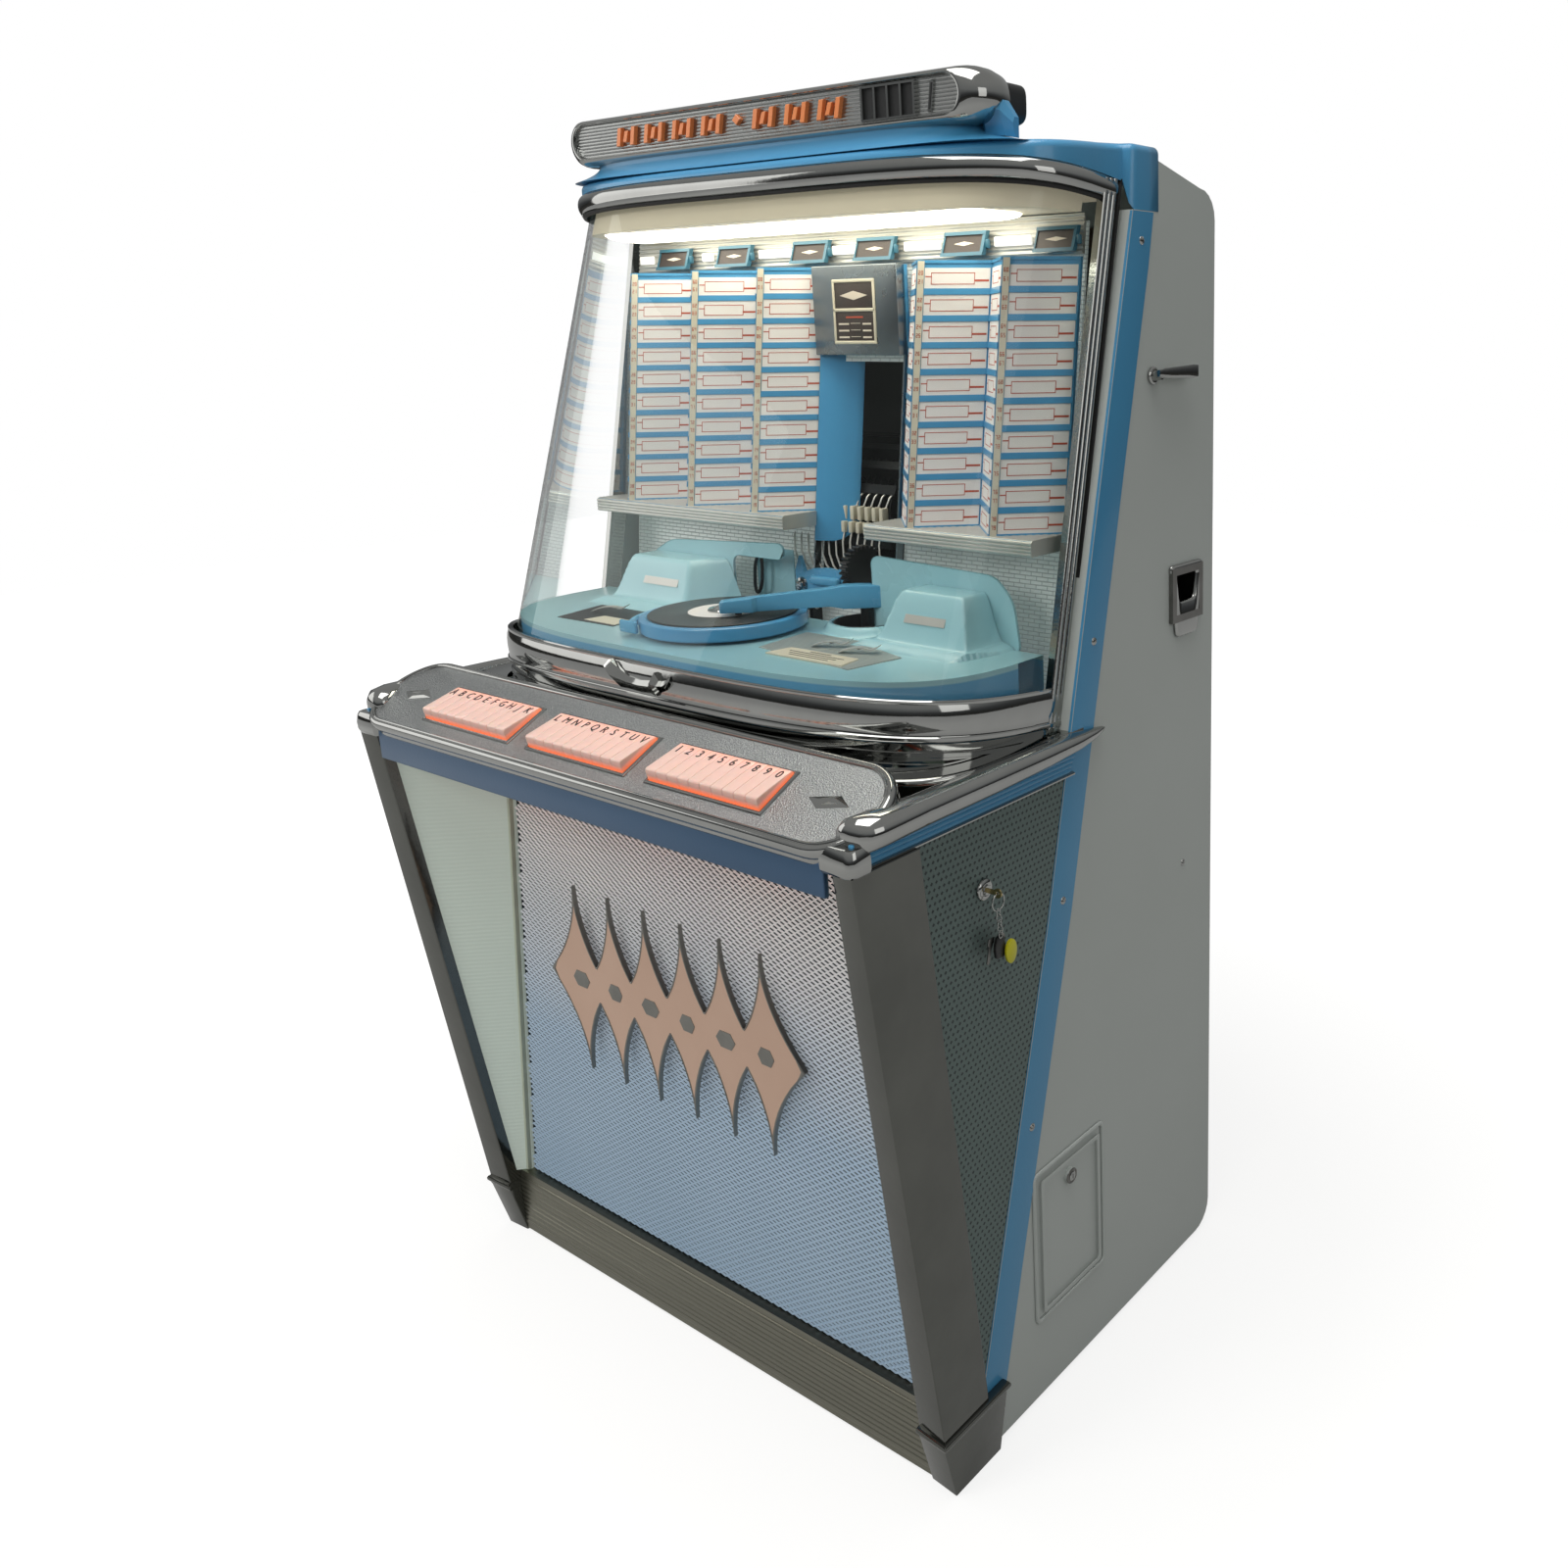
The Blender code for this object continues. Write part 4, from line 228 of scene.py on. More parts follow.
# Edge strips: a blue enamelled band wrapped on both front edges of the cabinet, held by small
# domed screws. It leans with the front edge and bends at the knee below the console.
HALF = 0.416
blue_enamel = sprayed("blue_enamel", "#4C99C6", "#3F88B6", 0.3, patch=2.5, gloss=0.35)
chrome = sprayed("chrome_plate", "#A9AAA8", "#999A98", 0.07, 1.0, patch=14.0, peel=60.0, depth=0.0001)


def keep(pieces, body, node=None):
    """Ties finished pieces to a body and, when given, hides the CAD node whose look they take over."""
    for made in pieces:
        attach(made, body)
        if node:
            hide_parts(node)


def front_edge(z):
    """The cabinet's leaning front edge: y falls on two straight lines that meet at the knee."""
    foot, knee, top = (-0.187, 0.006), (-0.026, 0.604), (0.153, 1.3665)
    return np.interp(z, (foot[1], knee[1], top[1]), (foot[0], knee[0], top[0]))


for sign, side in ((-1, "left"), (1, "right")):
    heights = np.concatenate([np.linspace(0.008, 0.604, 12), np.linspace(0.62, 1.3655, 14)])
    lead, trail = front_edge(heights), front_edge(heights) + 0.0445
    trail = np.minimum(trail, np.interp(heights, (0.0, 1.30, 1.3655), (9, 9, 0.1945)))
    ring = np.stack([np.stack([np.full_like(heights, sign * x), y, heights], -1) for x, y in (
        (HALF - 0.002, lead - 0.0004), (HALF + 0.0010, lead - 0.0004), (HALF + 0.0018, lead + 0.0016),
        (HALF + 0.0018, trail - 0.001),
        (HALF + 0.0004, trail), (HALF - 0.002, trail))], 1)
    strip = surface("edge_strip_" + side, ring, blue_enamel, wrap_columns=True, caps=True)
    keep([strip], "cabinet")


def domed_screw(name, centre, normal, radius, material, body, slit=True):
    """A domed screw head: rings whose radius falls as a quarter circle while they rise along the normal, with a
    cross slit dent."""
    normal = np.array(normal, float) / np.linalg.norm(normal)
    across = np.cross(normal, (0.0, 0.13, 1.0))
    across /= np.linalg.norm(across)
    up = np.cross(normal, across)
    turn = np.linspace(0, 2 * np.pi, 25)[:-1]
    rise = np.linspace(0, np.pi / 2, 7)
    rows = []
    for t in rise:
        r = radius * max(np.cos(t), 0.02)
        dent = 0.25 * radius * (np.minimum(abs(np.sin(turn)), abs(np.cos(turn))) < 0.2) * (t > 0.6) if slit else 0
        lift = radius * 0.45 * np.sin(t) - dent
        rows.append(np.array(centre) + r * (np.cos(turn)[:, None] * across + np.sin(turn)[:, None] * up)
                    + np.reshape(lift, (-1, 1)) * normal)
    made = surface(name, rows, material, wrap_columns=True, caps=True, sharp=50)
    keep([made], body)
    return made


for index, z in enumerate((0.37, 0.62, 0.905, 1.335)):
    for sign, side in ((-1, "left"), (1, "right")):
        domed_screw(f"strip_screw_{side}_{index}", (sign * (HALF + 0.0014), front_edge(z) + 0.024, z), (sign, 0, 0),
                    0.0048, chrome, "cabinet")
domed_screw("side_screw", (HALF, 0.26, 0.575), (1, 0, 0), 0.0045, chrome, "cabinet")


# Lid frame: two bent bands of chrome-plated zinc, the lower one deep and slightly bulged, the
# upper one a half round, with a pull crest cast in its middle and a fluted moulding up each
# side.
LID_HALF, LID_REAR = 0.403, 0.1511
LOW_FRONT, LOW_Z, LOW_REAR, LOW_POWER = -0.218, 0.843, 0.0272, 3.5
TOP_FRONT, TOP_Z, TOP_POWER = -0.025, 1.395, 4.0


def plan(half, front, rear, power, steps=140):
    """A rounded U seen from above: a superellipse whose sides run back to the rear, x = half*cos^(2/p), y =
    rear - depth*sin^(2/p)."""
    turn = np.linspace(0, np.pi, steps + 1)
    turn = turn - 0.12 * np.sin(4 * turn) / 2
    side, ahead = -np.cos(turn), np.clip(np.sin(turn), 0, 1)
    return np.stack([half * np.sign(side) * abs(side) ** (2 / power), rear - (rear - front) * ahead ** (2 / power)],
                    -1)


def bent_band(name, profile, half, front, rear, power, level, material, lean=0.0):
    """A strip bent along the lid's plan: each profile pair is how far inside the outline it lies and how high;
    all falls to the rear."""
    rings = []
    for inset, rise in profile:
        path = plan(half - inset, front + inset + lean * rise, rear, power)
        rings.append(np.column_stack([path, level + rise - 0.11 * (path[:, 1] - front)]))
    return surface(name, np.stack(rings, 1), material, wrap_columns=True, caps=True, sharp=32)


low_profile = [(0.0078, 0.0), (0.0012, 0.0), (0.0, 0.0012), (0.0, 0.0046), (0.0012, 0.0058), (0.0016, 0.0075),
               (0.0009, 0.013), (0.0004, 0.020),
               (0.0004, 0.027), (0.0010, 0.034), (0.0024, 0.0392), (0.0020, 0.0402), (0.0022, 0.0424),
               (0.0034, 0.0438), (0.0060, 0.0438), (0.0078, 0.0425)]
low_band = bent_band("lid_lower_band", low_profile, LID_HALF, LOW_FRONT, LOW_REAR, LOW_POWER, LOW_Z, chrome, 0.05)
angles = np.linspace(-0.45 * np.pi, 0.5 * np.pi, 12)
top_profile = [(0.0078, 0.0005), (0.0030, 0.0)] + [(0.0062 - 0.0062 * math.cos(a), 0.0115 + 0.0115 * math.sin(a))
        for a in angles] + [(0.0078, 0.0228)]
top_band = bent_band("lid_upper_band", top_profile, LID_HALF, TOP_FRONT, LID_REAR, TOP_POWER, TOP_Z, chrome)
rubber = sprayed("black_rubber_seal", "#161616", "#222221", 0.6, patch=40.0)
drip_profile = [(0.0080, -0.0035), (0.0050, -0.0035), (0.0042, -0.002), (0.0042, 0.0002), (0.0080, 0.0002)]
top_seal = bent_band("lid_upper_seal", drip_profile, LID_HALF, TOP_FRONT, LID_REAR, TOP_POWER, TOP_Z, rubber)
depth = np.concatenate([np.linspace(0, 1, 49)])
ribs = 0.0014 * abs(np.sin(depth * np.pi * 3)) ** 0.7
moulding_finish = sprayed("fluted_chrome", "#B4B5B3", "#A3A4A2", 0.09, 1.0, patch=10.0)
lid_pieces = [low_band, top_band]
for sign, side in ((-1, "left"), (1, "right")):
    rows = []
    for y, z in ((LOW_REAR - 0.0006, 0.8168), (LID_REAR - 0.0006, 1.398)):
        outer = np.stack([np.full(49, sign * (LID_HALF - 0.0008)) + sign * (ribs - 0.0012),
                          y - 0.0245 * (1 - depth), np.full(49, z)], -1)
        inner = [[sign * (LID_HALF - 0.0105), y, z], [sign * (LID_HALF - 0.0105), y - 0.0245, z]]
        rows.append(np.vstack([outer, inner]))
    lid_pieces.append(surface("lid_moulding_" + side, rows, moulding_finish, wrap_columns=True, caps=True, sharp=25))
    rows = [[(sign * x, y + dy, z) for x,
             dy in ((0.4045, 0.0002), (0.4045, 0.0017), (0.399, 0.0017), (0.399, 0.0002))]
            for y, z in ((LOW_REAR, 0.8168), (LID_REAR, 1.398))]
    seal = surface("lid_side_seal_" + side, rows, rubber, wrap_columns=True, caps=True)
    keep([seal], "lid")
keep([top_seal], "lid")


# Pull crest: a cast chrome wing on the lower band, raised at both ends into two facets, with a
# shallow dip between them.
def faceted(name, spine, material, body, sharp=20):
    """A cast bar built from rings: each row of the table gives x, the top, the middle edge's stand-off and the
    bottom."""
    rings = []
    for x, y, top, middle, bottom, proud in spine:
        rings.append([(x, y + 0.004, top), (x, y - proud * 0.35, top), (x, y - proud, middle),
                      (x, y - proud * 0.25, bottom), (x, y + 0.004, bottom)])
    made = surface(name, rings, material, wrap_columns=True, caps=True, sharp=sharp)
    keep([made], body)
    return made


crest_y = LOW_FRONT + 0.0025
crest = [(-0.0525, 0.880, 0.8775, 0.875, 0.002), (-0.050, 0.884, 0.878, 0.868, 0.012),
         (-0.041, 0.879, 0.869, 0.857, 0.013), (-0.036, 0.876, 0.866, 0.853, 0.009),
         (-0.020, 0.868, 0.862, 0.853, 0.006), (0.0, 0.866, 0.861, 0.852, 0.006),
         (0.018, 0.868, 0.862, 0.853, 0.006), (0.026, 0.876, 0.866, 0.851, 0.008),
         (0.029, 0.879, 0.868, 0.852, 0.013), (0.034, 0.870, 0.865, 0.856, 0.008),
         (0.047, 0.872, 0.867, 0.861, 0.009), (0.0525, 0.877, 0.872, 0.868, 0.003)]
faceted("lid_pull_crest", [(x, crest_y, top, middle, bottom, proud) for x, top, middle, bottom, proud in crest],
        chrome, "lid")
keep(lid_pieces, "lid", "lid_frame")

# Lid glass: one sheet of tempered glass bent round the front, held by the bands and the side
# mouldings. It reflects more where it is seen edge on, and keeps a faint green tint and a
# little dust.
glass, tree, out = blank("bent_glass")
edge_on = add(tree, "Fresnel", {"IOR": 1.42})
dust = add(tree, "TexNoise", {"Vector": add(tree, "TexCoord").outputs["Object"], "Scale": 5.0, "Detail": 6.0,
        "Roughness": 0.7})
haze = add(tree, "MapRange", {"Value": dust.outputs["Fac"], "From Min": 0.45, "From Max": 0.8, "To Min": 0.0,
        "To Max": 0.02})
mirror = add(tree, "Math", {0: edge_on.outputs[0], 1: 0.72, 2: haze.outputs[0]}, operation="MULTIPLY_ADD")
pane = add(tree, "BsdfPrincipled",
           {"Base Color": linear("#E8F0EE"), "Metallic": 1.0, "Roughness": 0.02, "Alpha": mirror.outputs[0]})
tree.links.new(pane.outputs[0], out.inputs["Surface"])
rows = []
for half, front, rear, power, level in ((0.3875, -0.2072, 0.0150, LOW_POWER, 0.8745),
        (0.3862, -0.0076, 0.139, TOP_POWER, 1.4065)):
    path = plan(half, front, rear, power)
    rows.append(np.column_stack([path, level - 0.11 * (path[:, 1] - front)]))
share = np.linspace(0, 1, 9)[:, None, None]
sheet = surface("lid_glass_sheet", np.asarray(rows[0])[None] * (1 - share) + np.asarray(rows[1])[None] * share, glass)
keep([sheet], "lid", "lid_glass")

# Roof cowl: one deep-drawn steel hood in blue enamel over the lamp, with skirts down both sides
# to the seam and a swept-up pedestal for the sign. It swings with the lid.
RIM_FRONT, COWL_REAR = -0.019, 0.2054
curve = plan(0.397, RIM_FRONT, 0.150, TOP_POWER, 120)
left = np.array([(-0.4165, COWL_REAR), (-0.4165, 0.185), (-0.4165, 0.166), (-0.4150, 0.1595), (-0.4110, 0.1550),
                 (-0.4040, 0.1535)])
rim = np.vstack([left, curve[1:-1], left[::-1] * (-1, 1)])
foot = 1.4183 - 0.11 * (rim[:, 1] - RIM_FRONT)
beside = np.clip((abs(rim[:, 0]) - 0.403) / 0.010, 0, 1)
foot = foot * (1 - beside) + 1.3669 * beside
crown = 1.4275 + 0.0075 * np.clip((rim[:, 1] - RIM_FRONT) / 0.17, 0, 1)
along = np.gradient(rim, axis=0)
inward = np.stack([-along[:, 1], along[:, 0]], -1) / np.linalg.norm(along, axis=1)[:, None]
inward *= np.where(np.sum(inward * (np.array([0, 0.20]) - rim), 1) > 0, 1, -1)[:, None]
ROLL = 0.0085
rows = [np.column_stack([rim + inward * 0.004, foot + 0.0004]), np.column_stack([rim, foot])]
rows += [np.column_stack([rim + inward * ROLL * (1 - np.cos(a)),
                          np.maximum(crown - ROLL + ROLL * np.sin(a), foot)]) for a in np.linspace(0, np.pi / 2, 8)]
edge = rows[-1]
for share in (0.06, 0.14, 0.24, 0.36, 0.5, 0.66, 0.83, 1.0):
    middle = np.column_stack([edge[:, 0] * 0.90, np.full(len(edge), 0.190)])
    flat = edge[:, :2] * (1 - share) + middle * share
    rows.append(np.column_stack([flat, edge[:, 2] + (1.4370 - edge[:, 2]) * (1 - (1 - share) ** 2)]))
back = rows[-1].copy()
for y, z in ((0.198, 1.4355), (0.2035, 1.4312), (COWL_REAR, 1.4245), (COWL_REAR, 1.421)):
    rows.append(np.column_stack([back[:, 0] * 1.0, np.full(len(back), y), np.full(len(back), z)]))
hood = surface("roof_hood", rows, blue_enamel, sharp=55)
hood.modifiers.new("sheet_steel", "SOLIDIFY").thickness = 0.0012
keep([hood], "lid", "roof_cowl")
rows = []
for t in np.linspace(0, 1, 12):
    spread = (1 - t) ** 2.4
    half, front, rear = 0.312 + 0.060 * spread, -0.0045 - 0.010 * spread, 0.084 + 0.055 * spread
    turn = np.linspace(0, 2 * np.pi, 97)[:-1]
    c, s = np.cos(turn), np.sin(turn)
    x = half * np.sign(c) * abs(c) ** (2 / 7)
    y = (front + rear) / 2 + (rear - front) / 2 * np.sign(s) * abs(s) ** (2 / 3.2)
    rows.append(np.column_stack([x, y, np.full(96, 1.4285 + 0.0200 * t)]))
pedestal = surface("sign_pedestal", rows, blue_enamel, wrap_columns=True, caps=True)
keep([pedestal], "lid", "roof_cowl")
faceted("pedestal_bracket", [(0.318, 0.030, 1.449, 1.446, 1.436, 0.004), (0.322, 0.030, 1.474, 1.462, 1.436, 0.012),
        (0.343, 0.034, 1.468, 1.458, 1.434, 0.012),
                             (0.352, 0.038, 1.452, 1.446, 1.432, 0.006)], blue_enamel, "lid")

# Sign housing: a chrome torpedo with a sunk, ribbed front panel, a coin window with four bars
# and the coin slot. Its letters are left off: seven plain groups of three slanted orange bars,
# and one lozenge, stand there.
SIGN_Z = 1.473


def race_track(half, tall, y, z=SIGN_Z, steps=20):
    """A round-ended outline: two half circles of the given height, joined by straight lines."""
    turn = np.linspace(-np.pi / 2, np.pi / 2, steps)
    r = tall / 2
    right = np.stack([half - r + r * np.cos(turn), np.full(steps, y), z + r * np.sin(turn)], -1)
    left = right[::-1] * (-1, 1, 1)
    return np.vstack([right, left])


rings = [race_track(*ring) for ring in ((0.316, 0.0385, -0.0060), (0.3165, 0.0395, -0.0110),
        (0.3185, 0.0415, -0.0120), (0.3220, 0.0445, -0.0112),
                                        (0.3280, 0.0485, -0.0080), (0.3350, 0.0525, -0.0020),
                                        (0.3400, 0.0550, 0.0060), (0.3428, 0.0560, 0.0150),
                                        (0.3425, 0.0558, 0.0300), (0.3380, 0.0535, 0.0480, 1.4722),
                                        (0.3260, 0.0470, 0.0660, 1.4705), (0.3080, 0.0370, 0.0780, 1.468),
                                        (0.2900, 0.0240, 0.0828, 1.466))]
torpedo = surface("sign_torpedo", rings, chrome, wrap_columns=True, caps=True, sharp=50)
ribbed_finish = sprayed("ribbed_die_cast", "#A9ABAA", "#969896", 0.24, 1.0, patch=12.0)
level = np.linspace(-0.0190, 0.0190, 121)
reach = 0.316 - 0.0193 + np.sqrt(np.maximum(0.0193 ** 2 - level ** 2, 0))
across = np.linspace(-1, 1, 41)[None, :]
relief = -0.0072 - 0.0006 * abs(np.sin(level / 0.0019 * np.pi / 2))
panel = np.stack([reach[:, None] * across, np.repeat(relief[:, None], 41, 1),
                  np.repeat(SIGN_Z + level[:, None], 41, 1)], -1)
sign_panel = surface("sign_ribbed_panel", panel, ribbed_finish, sharp=25)
orange = sprayed("orange_enamel_letters", "#E88A4E", "#D97B43", 0.35, patch=20.0, gloss=0.3)
keep((torpedo, sign_panel), "lid", "sign_housing")


def bevelled(name, outline, front, back, material, body, bevel=0.0008, lean=0.0):
    """A plate cut to an outline in X and Z, with a bevelled front edge: the outline shrinks towards its middle
    at the front."""
    outline = np.array(outline, float)
    centre = outline.mean(0)
    size = np.linalg.norm(outline - centre, axis=1)[:, None]
    small = centre + (outline - centre) * (1 - bevel / np.maximum(size, bevel * 2))
    rows = []
    for pairs, y in ((outline, back), (outline, front + bevel), (small, front)):
        rows.append(np.column_stack([pairs[:, 0], y + lean * (pairs[:, 1] - centre[1]), pairs[:, 1]]))
    made = surface(name, rows, material, wrap_columns=True, caps=True, sharp=25)
    keep([made], body)
    return made


for index, x in enumerate((-0.212, -0.160, -0.108, -0.056, -0.012, 0.032, 0.084, 0.136)):
    if index == 4:
        outline = [(x - 0.007, SIGN_Z + 0.002), (x, SIGN_Z - 0.004), (x + 0.007, SIGN_Z + 0.002), (x, SIGN_Z + 0.008)]
        bevelled("sign_lozenge", outline, -0.0128, -0.0074, orange, "lid")
        continue
    for part, shift in enumerate((-0.013, 0.0, 0.013)):
        tall = 0.0105 if part != 1 else 0.0065
        lean = 0.0026
        outline = [(x + shift - 0.0034 - lean, SIGN_Z - tall), (x + shift + 0.0034 - lean, SIGN_Z - tall),
                   (x + shift + 0.0034 + lean, SIGN_Z + tall),
                   (x + shift - 0.0034 + lean, SIGN_Z + tall)]
        bevelled(f"sign_bar_{index}_{part}", outline, -0.0128, -0.0074, orange, "lid")
# Near-black finish. In the coin window's panes, the coin slot and the cash door's keyway it is painted shade inside
# the openings; in the deck card's lines it is print.
dark = sprayed("black_print_and_painted_recess_shade", "#191A1B", "#232425", 0.5, patch=20.0)
for index in range(4):
    x = 0.185 + index * 0.0185
    pane_outline = [(x, SIGN_Z - 0.0155), (x + 0.0155, SIGN_Z - 0.0155), (x + 0.0155, SIGN_Z + 0.0155),
                    (x, SIGN_Z + 0.0155)]
    bevelled(f"coin_pane_{index}", pane_outline, -0.0086, -0.0070, dark, "lid", 0.0004)
for index in range(5):
    x = 0.1838 + index * 0.0185
    bar = [(x - 0.0015, SIGN_Z - 0.0170), (x + 0.0015, SIGN_Z - 0.0170), (x + 0.0015, SIGN_Z + 0.0170),
           (x - 0.0015, SIGN_Z + 0.0170)]
    bevelled(f"coin_window_bar_{index}", bar, -0.0115, -0.0072, chrome, "lid", 0.0010)
for name, z in (("top", 0.0165), ("foot", -0.0165)):
    bar = [(0.182, SIGN_Z + z - 0.0012), (0.2595, SIGN_Z + z - 0.0012), (0.2595, SIGN_Z + z + 0.0012),
           (0.182, SIGN_Z + z + 0.0012)]
    bevelled("coin_window_" + name, bar, -0.0112, -0.0072, chrome, "lid", 0.0008)
bevelled("coin_slot_plate", [(0.2745, SIGN_Z - 0.015), (0.2800, SIGN_Z - 0.015), (0.2845, SIGN_Z + 0.015),
        (0.2790, SIGN_Z + 0.015)], -0.0095, -0.0070, chrome, "lid")
bevelled("coin_slot_mouth", [(0.2762, SIGN_Z - 0.0125), (0.2783, SIGN_Z - 0.0125), (0.2825, SIGN_Z + 0.0125),
        (0.2804, SIGN_Z + 0.0125)], -0.0099, -0.0080, dark, "lid", 0.0002)
turn = np.linspace(0, 2 * np.pi, 41)[:-1]
tail = [np.column_stack([0.306 + wide * np.sign(np.cos(turn)) * abs(np.cos(turn)) ** 0.5, np.full(40, y),
                         1.470 + tall * np.sign(np.sin(turn)) * abs(np.sin(turn)) ** 0.5])
        for wide, tall, y in ((0.030, 0.021, 0.050), (0.030, 0.021, 0.076), (0.024, 0.016, 0.0828))]
tail_cap = surface("sign_tail_cap", tail, dark, wrap_columns=True, caps=True)
keep([tail_cap], "lid")

# Lamp tray: cream enamelled sheet with a warm fluorescent tube behind a frosted cover, hung
# under the cowl. Its reflector follows the lid's plan. The cream enamel is given a faint glow:
# painted light from the tube.
lamp_enamel_painted_glow = sprayed("white_lamp_enamel_painted_glow", "#C4BCA4", "#B8AF95", 0.4, patch=4.0)
lit_white = lamp_enamel_painted_glow.node_tree.nodes["Principled BSDF"]
# Painted light: the tray's enamel glows faintly, as if lit by the tube.
lit_white.inputs["Emission Color"].default_value = linear("#E9DFC4")
lit_white.inputs["Emission Strength"].default_value = 0.20
dress("lamp_tray", lamp_enamel_painted_glow)
tube_glow, tree, out = blank("glowing_tube_cover")
glow = add(tree, "BsdfPrincipled",
           {"Base Color": linear("#FFFDF4"), "Roughness": 0.5, "Emission Color": linear("#FFF6E2"),
            "Emission Strength": 5.0})
tree.links.new(glow.outputs[0], out.inputs["Surface"])
turn = np.linspace(np.pi, 2 * np.pi, 15)
cover = [np.column_stack([np.full(15, x), 0.056 + 0.046 * width * np.cos(turn),
                          1.3642 + 0.0088 * width * np.sin(turn)])
         for x, width in zip((-0.315, -0.3149, -0.310, -0.300, 0.300, 0.310, 0.3149, 0.315),
         (0.05, 0.6, 0.9, 1, 1, 0.9, 0.6, 0.05))]
cover = surface("lamp_cover", cover, tube_glow, wrap_columns=True, caps=True, sharp=60)
keep([cover], "lid")
ceiling = plan(0.374, -0.0160, 0.1180, TOP_POWER, 80)
under = surface("lamp_tray_reflector",
                [np.column_stack([ceiling * (inset, 1) + (0, forward), np.full(len(ceiling), z)])
                                        for inset, forward, z in ((0.999, 0.0004, 1.3642), (1.0, 0.0, 1.3646),
                                        (1.0, 0.0010, 1.3690), (0.998, 0.0090, 1.3930))],
                lamp_enamel_painted_glow, wrap_columns=True, caps=True, sharp=40)
keep([under], "lid")

# Console: a chrome-plated casting with a rolled rim round the key panel, a blue fascia in
# front, a flat ledge under the lid, and a wing along each side that runs out to a point.
TILT = math.radians(28.0)


def slope(x, along, above):
    """Points on the console's slope: along runs up the tilted panel and above stands square to it."""
    x, along, above = np.broadcast_arrays(np.asarray(x, float), along, above)
    return np.stack([x, -0.307 + along * math.cos(TILT) - above * math.sin(TILT),
                     0.797 + along * math.sin(TILT) + above * math.cos(TILT)], -1)


def oval(half, radius, steps=28):
    """The key panel's outline on the slope: two half circles joined by straight lines, as pairs of x and along."""
    turn = np.linspace(-np.pi / 2, np.pi / 2, steps)
    right = np.stack([half - radius + radius * np.cos(turn), 0.031 + radius * np.sin(turn)], -1)
    straight = np.linspace(0, 1, 30)[1:-1, None]
    top = right[-1] * (1 - straight) + right[-1] * (-1, 1) * straight
    left = right[::-1] * (-1, 1)
    foot = left[-1] * (1 - straight) + right[0] * straight
    return np.vstack([right, top, left, foot])


def oval_rings(name, profile, material, wrap=True):
    """A profile carried round the panel's outline: each pair is how far outside the outline and how far above
    the slope."""
    rows = []
    for out, above in profile:
        ring = oval(0.416 + out, 0.050 + out)
        rows.append(slope(ring[:, 0], ring[:, 1], above))
    return surface(name, rows, material, wrap_rows=wrap, wrap_columns=True, sharp=35)


rim_profile = [(-0.0012, -0.0030), (-0.0012, 0.0008), (-0.0004, 0.0020), (0.0008, 0.0024), (0.0018, 0.0018),
               (0.0024, 0.0008), (0.0040, 0.0012), (0.0060, 0.0008),
               (0.0078, -0.0008), (0.0088, -0.0036), (0.0090, -0.0075), (0.0082, -0.0115), (0.0066, -0.0140),
               (0.0062, -0.0158), (0.0070, -0.0180), (0.0068, -0.0215),
               (0.0050, -0.0240), (-0.0060, -0.0240), (-0.0060, -0.0030)]
rim_piece = oval_rings("console_rim", rim_profile, chrome)
console_parts = [rim_piece]
# Painted shade: the fascia's blue is a darker copy of the blue enamel, for the shade under the console's front.
fascia_blue_painted_shade = sprayed("blue_fascia_enamel_painted_shade", "#34597C", "#2F5374", 0.42, patch=3.0, gloss=0.3)


def slab(name, low, high, material, round_off=0.0012):
    """A plate with softly rounded edges: its outline in X and Z is a rounded box, drawn in slightly at both faces."""
    (x0, y0, z0), (x1, y1, z1) = low, high
    rows = []
    for y, inset in ((y0, round_off), (y0 + round_off * 0.3, round_off * 0.3), (y0 + round_off, 0),
                     (y1 - round_off, 0), (y1 - round_off * 0.3, round_off * 0.3), (y1, round_off)):
        a, b, c, d = x0 + inset, x1 - inset, z0 + inset, z1 - inset
        r = round_off
        rows.append([(a + r, y, c), (b - r, y, c), (b - r * 0.3, y, c + r * 0.3), (b, y, c + r), (b, y, d - r),
                     (b - r * 0.3, y, d - r * 0.3), (b - r, y, d),
                     (a + r, y, d), (a + r * 0.3, y, d - r * 0.3), (a, y, d - r), (a, y, c + r),
                     (a + r * 0.3, y, c + r * 0.3)])
    return surface(name, rows, material, wrap_columns=True, caps=True, sharp=50)


fascia = slab("console_fascia", (-0.387, -0.3196, 0.735), (0.387, -0.3130, 0.774), fascia_blue_painted_shade)
ledge_path = plan(0.4185, -0.2285, 0.045, 6.0)
ledge_rows = [np.column_stack([ledge_path * (k, 1) + (0, d), np.full(len(ledge_path), z)]) for k, d, z in (
    (1.0, 0.0, 0.8055), (1.0, 0.0, 0.8100), (0.998, 0.001, 0.8118), (0.992, 0.004, 0.8122), (0.93, 0.030, 0.8122))]
ledge = surface("console_ledge", ledge_rows, chrome, sharp=50)
bridge_rows = [slope(np.linspace(-0.372, 0.372, 40), a, b) for a, b in ((0.086, -0.002), (0.090, -0.004))]
bridge_rows += [np.column_stack([np.linspace(-0.372, 0.372, 40), np.full(40, y), np.full(40, z)]) for y,
                z in ((-0.2235, 0.826), (-0.2180, 0.8245), (-0.2120, 0.8235), (-0.2120, 0.810))]
bridge = surface("console_bridge", bridge_rows, chrome, sharp=40)
groove_profile = [(0.0035, 0.0), (0.0035, 0.0055), (0.0055, 0.0065), (0.0055, 0.0125), (0.0035, 0.0135),
                  (0.0035, 0.0180), (0.0055, 0.0190), (0.0055, 0.0275), (0.0110, 0.0275), (0.0110, 0.0)]
groove = bent_band("console_groove", groove_profile, LID_HALF, LOW_FRONT, 0.0180, LOW_POWER, 0.8135, chrome)
console_parts += [ledge, bridge]
turn = np.linspace(0, 2 * np.pi, 33)[:-1]
